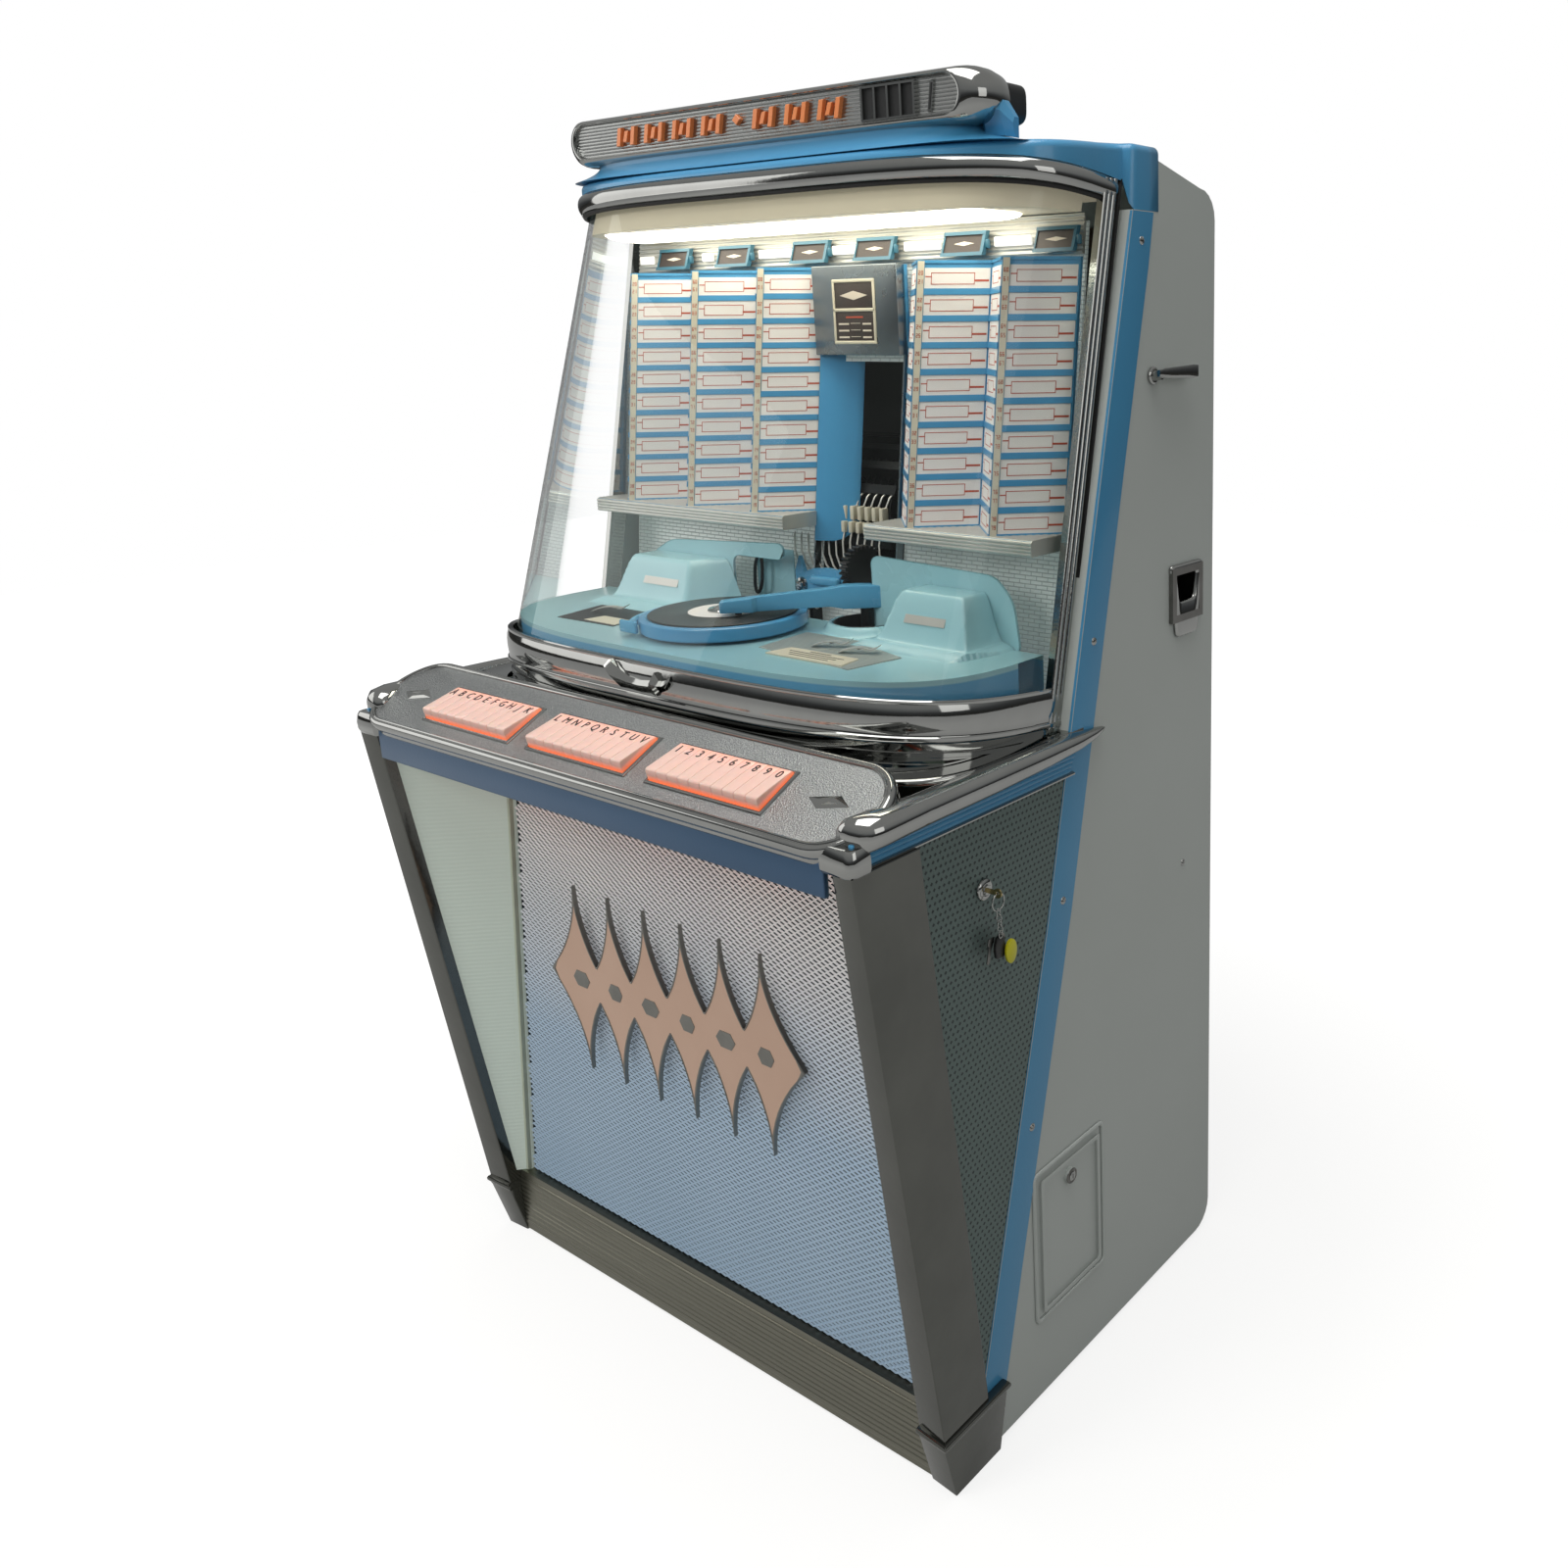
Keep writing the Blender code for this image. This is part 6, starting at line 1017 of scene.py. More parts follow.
# Right side: the cash door with its bead and cylinder, the coin cup's bezel, the coin lever and
# the side lock with its keys.
def turned(name, profile, centre, axis, material, steps=40, sharp=30):
    """A turned piece: each (radius, along) pair of the profile becomes a circle about the axis, at that
    distance along it."""
    axis = np.array(axis, float) / np.linalg.norm(axis)
    side = np.cross(axis, (0.0, 0.0, 1.0) if abs(axis[2]) < 0.9 else (0.0, 1.0, 0.0))
    side /= np.linalg.norm(side)
    turn = np.linspace(0, 2 * np.pi, steps, endpoint=False)
    circle = np.outer(np.cos(turn), side) + np.outer(np.sin(turn), np.cross(axis, side))
    return surface(name, [np.array(centre) + axis * along + circle * max(radius, 1e-4) for radius,
                          along in profile], material, wrap_columns=True, caps=True, sharp=sharp)


def tube(name, path, radius, material, sides=10, closed=False):
    """A round wire along a path: each point carries a circle square to the path's direction there."""
    path = np.array(path, float)
    along = np.roll(path, -1, 0) - np.roll(path, 1, 0)
    if not closed:
        along[0], along[-1] = path[1] - path[0], path[-1] - path[-2]
    along /= np.linalg.norm(along, axis=1)[:, None]
    turn = np.linspace(0, 2 * np.pi, sides, endpoint=False)
    guide = np.eye(3)[np.argmin(abs(along).max(0))]
    rings = []
    for point, way in zip(path, along):
        side = np.cross(way, guide)
        side /= np.linalg.norm(side)
        rings.append(point + radius * (np.outer(np.cos(turn), side) + np.outer(np.sin(turn), np.cross(way, side))))
    return surface(name, rings, material, wrap_rows=closed, wrap_columns=True, caps=not closed, sharp=50)


def boxed(y0, y1, z0, z1, radius, steps=7):
    """A rounded rectangle in Y and Z."""
    return round_corners([(y0, z0), (y1, z0), (y1, z1), (y0, z1)], radius, steps)


steel, tree, out = blank("dull_zinc_steel")
place = add(tree, "TexCoord").outputs["Object"]
wear = add(tree, "TexNoise", {"Vector": place, "Scale": 35.0, "Detail": 4.0})
tone = add(tree, "Mix", {"Factor": wear.outputs["Fac"], 6: linear("#8F8E8B"), 7: linear("#6A6966")}, data_type="RGBA")
shader = add(tree, "BsdfPrincipled", {"Base Color": tone.outputs[2], "Metallic": 1.0, "Roughness": 0.33})
tree.links.new(shader.outputs[0], out.inputs["Surface"])
black_plastic = sprayed("black_plastic", "#141414", "#1E1E1F", 0.35)
dress("cash_door", cream_paint)
door_rings = []
for pull, x in ((0.0, 0.4208), (0.0008, 0.4209), (0.0016, 0.42098), (0.0040, 0.42098), (0.0052, 0.42085)):
    ring = boxed(-0.0550 + pull, 0.0610 - pull, 0.1180 + pull, 0.2940 - pull, 0.0040)
    door_rings.append(np.column_stack([np.full(len(ring), x), ring]))
door_bead = surface("cash_door_bead",
                    door_rings + [door_rings[-1] - (0.0006, 0, 0), door_rings[0] - (0.0006, 0, 0)], cream_paint,
                    wrap_rows=True, wrap_columns=True, sharp=30)
keep([door_bead], "cash_door")
frame_rings = []
for push, x in ((0.0010, 0.4170), (0.0014, 0.4186), (0.0026, 0.4192), (0.0042, 0.4192), (0.0056, 0.4184),
                (0.0064, 0.4170)):
    ring = boxed(-0.0610 - push, 0.0670 + push, 0.1120 - push, 0.3000 + push, 0.005 + push)
    frame_rings.append(np.column_stack([np.full(len(ring), x), ring]))
keep([surface("cash_door_surround", frame_rings, cream_paint, wrap_rows=True, wrap_columns=True, sharp=30)],
     "cabinet")
cylinder = turned("cash_door_cylinder",
                  [(0.0, 0.0), (0.0095, 0.0), (0.0095, 0.0008), (0.0088, 0.0014), (0.0078, 0.0016),
                   (0.0074, 0.0009), (0.0, 0.0009)], (0.4205, 0.003, 0.269), (1, 0, 0), steel)
plug = turned("cash_door_plug", [(0.0, 0.0), (0.0058, 0.0), (0.0058, 0.0011), (0.0050, 0.0016), (0.0, 0.0017)],
              (0.4211, 0.003, 0.269), (1, 0, 0), chrome)
slot_mark = surface("cash_door_keyway",
                    [np.column_stack([np.full(8, x),
                    round_corners([(0.0024, 0.2658), (0.0036, 0.2658), (0.0036, 0.2722), (0.0024, 0.2722)], 0.0004,
                    2)]) for x in (0.4226, 0.42286)], dark, wrap_columns=True, caps=True)
keep([cylinder, plug], "cash_door")
keep([slot_mark], "cash_door")

bezel = []
outer = [(0.2390, 0.8760), (0.2850, 0.8760), (0.2985, 0.9655), (0.2255, 0.9655)]
inner = [(0.2420, 0.9170), (0.2820, 0.9170), (0.2890, 0.9560), (0.2350, 0.9560)]


def shrunk(corners, by):
    """A trapezoid drawn towards its middle by a distance on each side, with rounded corners."""
    corners = np.array(corners)
    middle = corners.mean(0)
    return round_corners(corners - np.sign(corners - middle) * by, 0.0065, 6)


for corners, by, x in ((outer, 0.0, 0.4177), (outer, 0.0002, 0.4196), (outer, 0.0016, 0.4214),
                       (outer, 0.0035, 0.42195), (inner, 0.0, 0.4217), (inner, 0.0018, 0.4203),
                       (inner, 0.0024, 0.4178)):
    ring = shrunk(corners, by)
    bezel.append(np.column_stack([np.full(len(ring), x), ring]))
keep([surface("coin_cup_bezel", bezel, chrome, wrap_rows=True, wrap_columns=True, sharp=50)], "cabinet")
dress("coin_unit", steel)

handle = []
for share in np.linspace(0, 1, 8):
    y = 0.1795 + 0.0805 * share
    tall, thick, pull = 0.0056 + 0.0036 * share, 0.0046 + 0.0018 * share, 0.0012 if share in (0.0, 1.0) else 0.0
    ring = round_corners([(-thick + pull, -tall + pull), (thick - pull, -tall * 0.8 + pull),
                          (thick - pull, tall - pull), (-thick + pull, tall * 0.6 - pull)], 0.0010, 3)
    handle.append(np.column_stack([ring[:, 0] + 0.4312, np.full(len(ring), y), ring[:, 1] + 1.1925]))
lever = surface("coin_lever_handle", handle, chrome, wrap_columns=True, caps=True, sharp=25)
stem = turned("coin_lever_stem", [(0.0, 0.0), (0.0058, 0.0), (0.0058, 0.036), (0.0046, 0.044), (0.0, 0.044)],
              (0.3865, 0.191, 1.190), (1, 0, 0), chrome)
boss = turned("coin_lever_boss",
              [(0.0062, 0.0), (0.0098, 0.0), (0.0098, 0.0015), (0.0080, 0.0030), (0.0062, 0.0030)],
              (0.4176, 0.191, 1.190), (1, 0, 0), chrome)
keep([lever, stem], "coin_return_lever", "coin_return_lever")
keep([boss], "cabinet")

brass = sprayed("nickel_brass", "#B8A878", "#A39363", 0.25, 1.0, patch=60.0)
LOCK = np.array([0.0, -0.132, 0.683])
face = turned("side_lock_face",
              [(0.0, 0.0), (0.0112, 0.0), (0.0117, 0.0010), (0.0112, 0.0022), (0.0092, 0.0036), (0.0068, 0.0040),
               (0.0056, 0.0034), (0.0050, 0.0050), (0.0, 0.0054)], LOCK + (0.4171, 0, 0), (1, 0, 0), chrome)
barrel = turned("side_lock_barrel", [(0.0, 0.0), (0.0088, 0.0), (0.0088, 0.0200), (0.0, 0.0200)],
                LOCK + (0.3960, 0, 0), (1, 0, 0), steel)
blade = surface("side_lock_key",
                [[(x, -0.132 + a, 0.683 + b) for a,
                  b in ((-0.0007, -0.0026), (0.0007, -0.0026), (0.0007, 0.0026), (-0.0007, 0.0026))]
                  for x in (0.4200, 0.4330)], brass, wrap_columns=True, caps=True, sharp=30)
turn = np.linspace(0, 2 * np.pi, 25)[:-1]
bow_rings = []
for ring_radius, y in ((0.0052, -0.0009), (0.0052, 0.0009), (0.0020, 0.0009), (0.0020, -0.0009)):
    bow_rings.append(np.column_stack([0.4357 + ring_radius * np.cos(turn), np.full(24, -0.132 + y),
            0.683 + ring_radius * np.sin(turn)]))
bow = surface("side_lock_key_bow", bow_rings, brass, wrap_rows=True, wrap_columns=True, sharp=30)
keep([face, barrel, blade, bow], "side_lock", "side_lock")
swing = lambda middle, radius, spin, squash=1.0: [np.array(middle)
        + (radius * math.cos(t) * math.sin(spin) * squash, radius * math.cos(t) * math.cos(spin) * squash,
           radius * math.sin(t)) for t in np.linspace(0, 2 * np.pi, 28, endpoint=False)]
hangers = [tube("key_split_ring", swing((0.4357, -0.132, 0.6735), 0.0095, 0.0), 0.0008, chrome, closed=True)]
for index in range(5):
    hangers.append(tube("key_chain_link_%d" % index,
                        swing((0.4352, -0.1315 + 0.0006 * index, 0.6615 - 0.0063 * index), 0.0044,
                        1.2 * (index % 2), 0.6), 0.0006, chrome, 8, closed=True))
yellow = sprayed("yellow_plastic", "#D9D41E", "#C9C22A", 0.3)
fob = []
for x, pull in ((0.4300, 0.0012), (0.4306, 0.0), (0.4334, 0.0), (0.4340, 0.0012)):
    ring = round_corners(np.array([(-0.0068, -0.0115), (0.0068, -0.0130), (0.0082, 0.0020), (0.0045, 0.0125),
            (-0.0045, 0.0125), (-0.0082, 0.0020)]) * (1 - pull / 0.012), 0.003, 5)
    fob.append(np.column_stack([np.full(len(ring), x), ring[:, 0] - 0.128, ring[:, 1] + 0.6210]))
hangers.append(surface("black_key_fob", fob, black_plastic, wrap_columns=True, caps=True, sharp=30))
fob = []
for x, share in ((0.4345, 0.90), (0.4350, 1.0), (0.4372, 1.0), (0.4377, 0.90)):
    fob.append([(x, -0.1145 + 0.0088 * share * math.cos(t), 0.6120 + 0.0135 * share * math.sin(t)) for t in turn])
hangers.append(surface("yellow_key_fob", fob, yellow, wrap_columns=True, caps=True, sharp=50))
for index, (y, lean) in enumerate(((-0.1365, -0.25), (-0.1225, 0.3))):
    blade_rows = []
    for along, wide in ((0.0, 0.0045), (0.006, 0.0050), (0.0085, 0.0022), (0.026, 0.0022), (0.028, 0.0006)):
        middle = np.array([0.4285 + 0.001 * index, y + along * math.sin(lean), 0.6330 - along * math.cos(lean)])
        blade_rows.append([middle + (0.0006 * a, wide * b, 0) for a, b in ((-1, -1), (1, -1), (1, 1), (-1, 1))])
    hangers.append(surface("spare_key_%d" % index, blade_rows, steel, wrap_columns=True, caps=True, sharp=30))
keep(hangers, "side_lock")


# Inner panel and title boards: a stamped aluminium panel, blue boards folded into teeth, ten
# cream cards on each face with a red printed box and dashes. A cream column of plain numbers
# runs down the left of each face that looks to the front right.
stamped, tree, out = blank("stamped_aluminium_painted_light_and_shade")
place = add(tree, "TexCoord").outputs["Object"]
split = add(tree, "SeparateXYZ", {0: place})
flat = add(tree, "CombineXYZ", {0: split.outputs["X"], 1: split.outputs["Z"]})
bricks = add(tree, "TexBrick",
             {"Vector": flat.outputs[0], "Scale": 1.0, "Brick Width": 0.016, "Row Height": 0.0048,
              "Mortar Size": 0.0008, "Mortar Smooth": 0.9})
relief = add(tree, "Bump", {"Height": bricks.outputs["Fac"], "Strength": 0.9, "Distance": 0.0015}, invert=True)
# Painted shade: the stamped panel is darker in its pressed-in grooves. Painted light: it is given a faint glow.
tone = add(tree, "Mix", {"Factor": bricks.outputs["Fac"], 6: linear("#DCE2DE"), 7: linear("#9FA8A6")},
           data_type="RGBA")
shader = add(tree, "BsdfPrincipled",
             {"Base Color": tone.outputs[2], "Metallic": 0.25, "Roughness": 0.36, "Normal": relief.outputs[0],
              "Emission Color": linear("#C3CFCA"), "Emission Strength": 0.16})
tree.links.new(shader.outputs[0], out.inputs["Surface"])
dress("inner_panel", stamped)
card_paper = sprayed("cream_card", "#E9E6E2", "#DFDBD4", 0.7, patch=9.0)
column_paper = sprayed("cream_column", "#D3CDB8", "#C6C0AA", 0.6, patch=12.0)
red_ink = sprayed("red_print", "#B54E38", "#A84530", 0.6)
TOOTH, FOLD_DEEP = 0.06125, 0.058
FACE_LONG = math.hypot(TOOTH, FOLD_DEEP)
SEGMENTS = {0: "abcdef", 1: "bc", 2: "abged", 3: "abgcd", 4: "fgbc", 5: "afgcd", 6: "afgedc", 7: "abc",
            8: "abcdefg", 9: "abcdfg"}
STROKES = {"a": (0, 1, 0.86, 1), "b": (0.72, 1, 0.5, 1), "c": (0.72, 1, 0, 0.5), "d": (0, 1, 0, 0.14),
           "e": (0, 0.28, 0, 0.5), "f": (0, 0.28, 0.5, 1), "g": (0, 1, 0.43, 0.57)}


def panel_front(z):
    """Y of the inner panel's leaning front at a height."""
    return 0.051 + 0.072 * (np.asarray(z) - 0.8) / 0.555


def on_face(start, fold, along, z, lift):
    """A point on one folded face: the folds run alternately forward and back, along measures 0 to 1 from its
    left edge, lift stands off it."""
    back = fold % 2
    x = start + (fold + along) * TOOTH
    y = panel_front(z) - 0.006 - FOLD_DEEP * ((1 - along) if back else along)
    return (x + lift * (1 if back else -1) * FOLD_DEEP / FACE_LONG, y - lift * TOOTH / FACE_LONG, z)


def on_face_box(start, fold, a, z, lift):
    """The eight corners of a thin plate lying on a folded face."""
    return [on_face(start, fold, s, h, l) for l in lift for s,
            h in ((a[0], z[0]), (a[1], z[0]), (a[1], z[1]), (a[0], z[1]))]


def joined_boxes(name, boxes, material):
    """Many eight-cornered boxes in one mesh; each lists its bottom ring, then its top ring."""
    faces = []
    for index in range(len(boxes)):
        k = index * 8
        faces += [(k + 3, k + 2, k + 1, k),
                  (k + 4, k + 5, k + 6, k + 7)] + [(k + i, k + (i + 1) % 4, k + 4 + (i + 1) % 4, k + 4 + i)
                  for i in range(4)]
    return body_of(name, [p for box in boxes for p in box], faces, material, 20)


dress("title_rack", blue_enamel)
for group, start, folds in (("left", -0.377, 6), ("right", 0.132, 4)):
    cards, bars, prints, columns, marks = [], [], [], [], []
    for fold in range(folds):
        seen_face = fold % 2
        bars.append(on_face_box(start, fold, (0.004, 0.996), (1.3145, 1.3178), (0.0002, 0.0014)))
        for row in range(10):
            low = 1.0235 + row * 0.0293
            first = 0.105 if seen_face else 0.06
            cards.append(on_face_box(start, fold, (first, 0.975), (low - 0.0002, low + 0.0222), (0.0002, 0.0007)))
            bars.append(on_face_box(start, fold, (0.004, 0.996), (low - 0.0068, low), (0.0002, 0.0016)))
            for a, z in (((0.19, 0.77), (0.0042, 0.0050)), ((0.19, 0.77), (0.0165, 0.0173)),
                         ((0.19, 0.199), (0.0042, 0.0173)), ((0.761, 0.77), (0.0042, 0.0173)),
                         ((0.115, 0.19), (0.0122, 0.0134)), ((0.77, 0.96), (0.0074, 0.0096))):
                prints.append(on_face_box(start, fold, a, (low + z[0], low + z[1]), (0.0006, 0.0009)))
            if not seen_face:
                continue
            for line in (0, 1):
                number = (fold * 20 + (9 - row) * 2 + line) % 100
                for place_index, digit in enumerate((number // 10, number % 10)):
                    for stroke in SEGMENTS[digit]:
                        a0, a1, h0, h1 = STROKES[stroke]
                        left, foot = 0.022 + place_index * 0.034, low + 0.0145 - line * 0.0095
                        marks.append(on_face_box(start, fold, (left + a0 * 0.024, left + a1 * 0.024),
                                (foot + h0 * 0.0046, foot + h1 * 0.0046), (0.0018, 0.0021)))
        if seen_face:
            columns.append(on_face_box(start, fold, (0.008, 0.096), (1.0212, 1.3168), (0.0004, 0.0019)))
    made = [joined_boxes("title_cards_" + group, cards, card_paper),
            joined_boxes("title_bars_" + group, bars, blue_enamel),
            joined_boxes("title_print_" + group, prints, red_ink),
            joined_boxes("number_columns_" + group, columns, column_paper),
            joined_boxes("column_numbers_" + group, marks, red_ink)]
    keep(made[:2], "cabinet")
    keep(made[2:], "cabinet")

# Rails and header: ribbed aluminium extrusions under and over the boards; the header holds six
# tags in blue frames, with lit windows between.
def extruded(name, section, x0, x1, material):
    """A section in Y and Z carried straight along X."""
    return surface(name, [np.column_stack([np.full(len(section), x), section]) for x in (x0, x1)], material,
                   wrap_columns=True, caps=True, sharp=25)


bright_aluminium = sprayed("bright_ribbed_aluminium", "#CFCFC8", "#BDBEB8", 0.34, 0.5, patch=12.0)
rib_z = np.linspace(1.0040, 1.0198, 41)
rib_y = 0.0108 - 0.0011 * abs(np.sin((rib_z - 1.0040) / 0.0158 * np.pi * 4))
top_y = np.linspace(0.0125, 0.0700, 61)
top_z = 1.0214 + 0.0006 * abs(np.sin((top_y - 0.0125) / 0.0475 * np.pi * 8))
rail_section = np.vstack([np.column_stack([rib_y, rib_z]), np.column_stack([top_y, top_z]),
                          [(0.0740, 1.0200), (0.0740, 1.0036)]])
for side, x0, x1 in (("left", -0.3785, -0.0078), ("right", 0.1303, 0.3785)):
    keep([extruded("board_rail_" + side, rail_section, x0, x1, bright_aluminium)], "cabinet")
head_z = np.linspace(1.3205, 1.3628, 101)
head_y = panel_front(head_z) - 0.0052 - 0.0014 * (np.sin((head_z - 1.3205) / 0.0330 * np.pi * 6) ** 2)
head_section = np.vstack([np.column_stack([head_y, head_z]), [(0.1210, 1.3535), (0.1170, 1.3205)]])
header = extruded("header_extrusion", head_section, -0.3785, 0.3785, bright_aluminium)
lit_window, tree, out = blank("lit_opal_window")
tree.links.new(add(tree, "BsdfPrincipled",
                   {"Base Color": linear("#F2F0EA"), "Roughness": 0.5, "Emission Color": linear("#FFFCF4"),
                    "Emission Strength": 0.75}).outputs[0], out.inputs["Surface"])
tag_card = sprayed("dark_tag_card", "#3A2F2A", "#30302F", 0.5, patch=20.0)
pale_print = sprayed("pale_print", "#D9CFBE", "#CFC5B4", 0.5)
header_pieces = [header]
for index, (x, half) in enumerate(((-0.3560, 0.014), (-0.2300, 0.010), (-0.1000, 0.030), (0.0250, 0.022),
        (0.1500, 0.028), (0.2850, 0.026))):
    header_pieces.append(slab("header_window_%d" % index, (x - half, 0.1095, 1.3320), (x + half, 0.1130, 1.3425),
            lit_window, 0.0008))
keep(header_pieces, "cabinet")
tag_teal = sprayed("teal_tag_enamel", "#33697E", "#2C5F73", 0.35)
tags = []
for index, x in enumerate((-0.290, -0.170, -0.030, 0.080, 0.220, 0.350)):
    half = 0.0275 if index == 5 else 0.0310
    mid_y, mid_z = 0.1045, 1.3365
    lean = lambda y, z: (y + (z - mid_z) * 0.35, z)
    for label, (x0, x1, z0, z1, front) in (("top", (-1, 1, 0.0095, 0.0135, 0.0030)),
            ("foot", (-1, 1, -0.0135, -0.0095, 0.0034)), ("left", (-1, -0.93, -0.0095, 0.0095, 0.0022)),
            ("right", (0.86, 1, -0.0095, 0.0095, 0.0026))):
        ring = [lean(mid_y - front, mid_z + z0), lean(mid_y - front, mid_z + z1), lean(mid_y + 0.0035, mid_z + z1),
                lean(mid_y + 0.0035, mid_z + z0)]
        tags.append(extruded("tag_frame_%s_%d" % (label, index), ring, x + half * x0, x + half * x1, tag_teal))
    ring = [lean(mid_y - 0.0008, mid_z - 0.0097), lean(mid_y - 0.0008, mid_z + 0.0097),
            lean(mid_y + 0.0030, mid_z + 0.0097), lean(mid_y + 0.0030, mid_z - 0.0097)]
    tags.append(extruded("tag_card_%d" % index, ring, x - half * 0.95, x + half * 0.88, tag_card))
    rhomb = [(x - 0.0150, 0.0), (x, -0.0024), (x + 0.0150, 0.0), (x, 0.0024)]
    tags.append(surface("tag_diamond_%d" % index,
                        [[(a, *lean(mid_y - d, mid_z + b)) for a, b in rhomb] for d in (0.0007, 0.0011)],
                        pale_print, wrap_columns=True, caps=True, sharp=20))
    tags.append(slab("tag_tab_%d" % index, (x + half, 0.1030, 1.3300), (x + half + 0.0045, 0.1080, 1.3400),
                     tag_teal, 0.001))
keep(tags, "cabinet")

# Middle opening: a brushed steel holder with two dark cards in a cream frame, and below it a
# blue board that turns back beside the record magazine.
holder_steel = sprayed("brushed_holder_steel", "#8D9599", "#737B80", 0.28, 1.0, patch=14.0, peel=90.0)
card_front = 0.0848
face_pieces = [slab("holder_plate", (-0.0090, card_front - 0.0006, 1.2130), (0.1310, card_front + 0.0160, 1.3178),
                    holder_steel, 0.0010)]
for label, low, high in (("top", (0.0260, 1.2978), (0.0960, 1.3018)),
                         ("middle", (0.0260, 1.2640), (0.0960, 1.2680)), ("foot", (0.0260, 1.2260), (0.0960, 1.2300)),
                         ("left", (0.0260, 1.2290), (0.0295, 1.2990)), ("right", (0.0925, 1.2290), (0.0960, 1.2990))):
    face_pieces.append(slab("holder_frame_" + label, (low[0], card_front - 0.0022, low[1]),
                            (high[0], card_front - 0.0002, high[1]), column_paper, 0.0008))
for label, low, high in (("upper", 1.2670, 1.2985), ("lower", 1.2290, 1.2650)):
    face_pieces.append(slab("holder_card_" + label, (0.0285, card_front - 0.0012, low),
                            (0.0935, card_front - 0.0003, high), tag_card, 0.0004))
rhomb = [(0.0380, 1.2828), (0.0610, 1.2775), (0.0840, 1.2828), (0.0610, 1.2881)]
face_pieces.append(surface("holder_diamond",
                           [[(a, y, b) for a, b in rhomb] for y in (card_front - 0.0010, card_front - 0.0015)],
                           pale_print, wrap_columns=True, caps=True, sharp=20))
for row, (x0, x1, material) in enumerate(((0.047, 0.075, red_ink), (0.034, 0.088, pale_print),
        (0.034, 0.088, pale_print), (0.034, 0.088, pale_print))):
    height = 1.2585 - row * 0.0078
    pieces = ((x0, x1),) if row == 0 else ((x0, x0 + 0.017), (x0 + 0.020, x0 + 0.036), (x0 + 0.040, x1))
    for part_index, (a, b) in enumerate(pieces):
        thin = 0.0006 if row and part_index == 1 else 0.0020
        face_pieces.append(slab("holder_line_%d_%d" % (row, part_index), (a, card_front - 0.0015, height - thin),
                (b, card_front - 0.0010, height), material, 0.0001))
keep(face_pieces, "cabinet")
board_z = np.concatenate([[0.9850, 0.9856, 0.9880, 0.9930, 1.0000, 1.0100], np.linspace(1.03, 1.2135, 10)])
round_off = 0.030 * (1 - np.sqrt(np.clip(1 - ((1.0150 - board_z) / 0.030).clip(0, 1) ** 2, 0, 1)))
across = np.linspace(0, 1, 9)[None, :]
reach = (1 - round_off / 0.057)[:, None] * across
x = -0.0092 + 0.0490 * reach
y = panel_front(board_z)[:, None] - 0.0130 + 0.0260 * reach - 0.004 * np.sin(reach * np.pi)
leaf = np.stack([x, y, np.broadcast_to(board_z[:, None], x.shape)], -1)
back_leaf = leaf + np.array([0.0006, 0.0018, 0.0])
leaf_rings = np.concatenate([leaf, back_leaf[:, ::-1]], 1)
keep([surface("opening_blue_board", leaf_rings, blue_enamel, wrap_columns=True, caps=True, sharp=40)], "cabinet")
for side, x in (("left", -0.0102), ("right", 0.1300)):
    strip = [(panel_front(z) - d, z) for d,
             z in ((0.0125, 0.9460), (0.0125, 1.2140), (0.0020, 1.2140), (0.0020, 0.9460))]
    keep([extruded("opening_edge_" + side, strip, x, x + 0.0022, holder_steel)], "cabinet")
dark_steel = sprayed("oiled_dark_steel", "#2B2D2E", "#1C1D1E", 0.45, 0.6, patch=20.0)
dress("record_magazine", dark_steel)
dress("mechanism_base", dark_steel)
record_edges, wires, clips = [], [], []
shellac = sprayed("pressed_black_vinyl", "#0E0E0F", "#161617", 0.28, patch=10.0)
for index in range(13):
    x = -0.066 + index * 0.0125
    record_edges.append(turned("stored_record_%d" % index,
            [(0.0, 0.0), (0.0875, 0.0), (0.0875, 0.0016), (0.0, 0.0016)], (x, 0.2010, 1.0080), (1, 0, 0), shellac,
            32))
    bend = [(x + 0.0060, 0.1130, 1.0500), (x + 0.0050, 0.0980, 1.0400), (x + 0.0040, 0.0880, 1.0220),
            (x + 0.0045, 0.0820, 1.0020), (x + 0.0070, 0.0740, 0.9850), (x + 0.0120, 0.0690, 0.9680),
            (x + 0.0200, 0.0670, 0.9540), (x + 0.0290, 0.0670, 0.9450)]
    t = np.linspace(0, 1, 22)
    keys = np.linspace(0, 1, len(bend))
    smooth = np.stack([np.interp(t, keys, np.array(bend)[:, k]) for k in range(3)], -1)
    wires.append(tube("magazine_wire_%d" % index, smooth, 0.0013, bright_aluminium, 6))
    clips.append(slab("magazine_clip_%d" % index, (x + 0.0012, 0.0820, 1.0120), (x + 0.0072, 0.0930, 1.0290),
                      column_paper, 0.0008))
    clips.append(slab("magazine_clip_foot_%d" % index, (x + 0.0020, 0.0770, 0.9960), (x + 0.0080, 0.0880, 1.0100),
                      column_paper, 0.0008))
keep(record_edges, "record_magazine")
keep(wires + clips, "cabinet")

# Mechanism tray: a pressed steel cover in aqua enamel with blue ends. Its height is worked out
# over the plan: two soft steps up to the deck, a rear hump at each side on a flared foot, and a
# raised lip round the tonearm's well.
def soft_step(distance, width):
    """Zero before the edge and one past the width, with a cubic ease between."""
    t = np.clip(distance / width, 0, 1)
    return t * t * (3 - 2 * t)


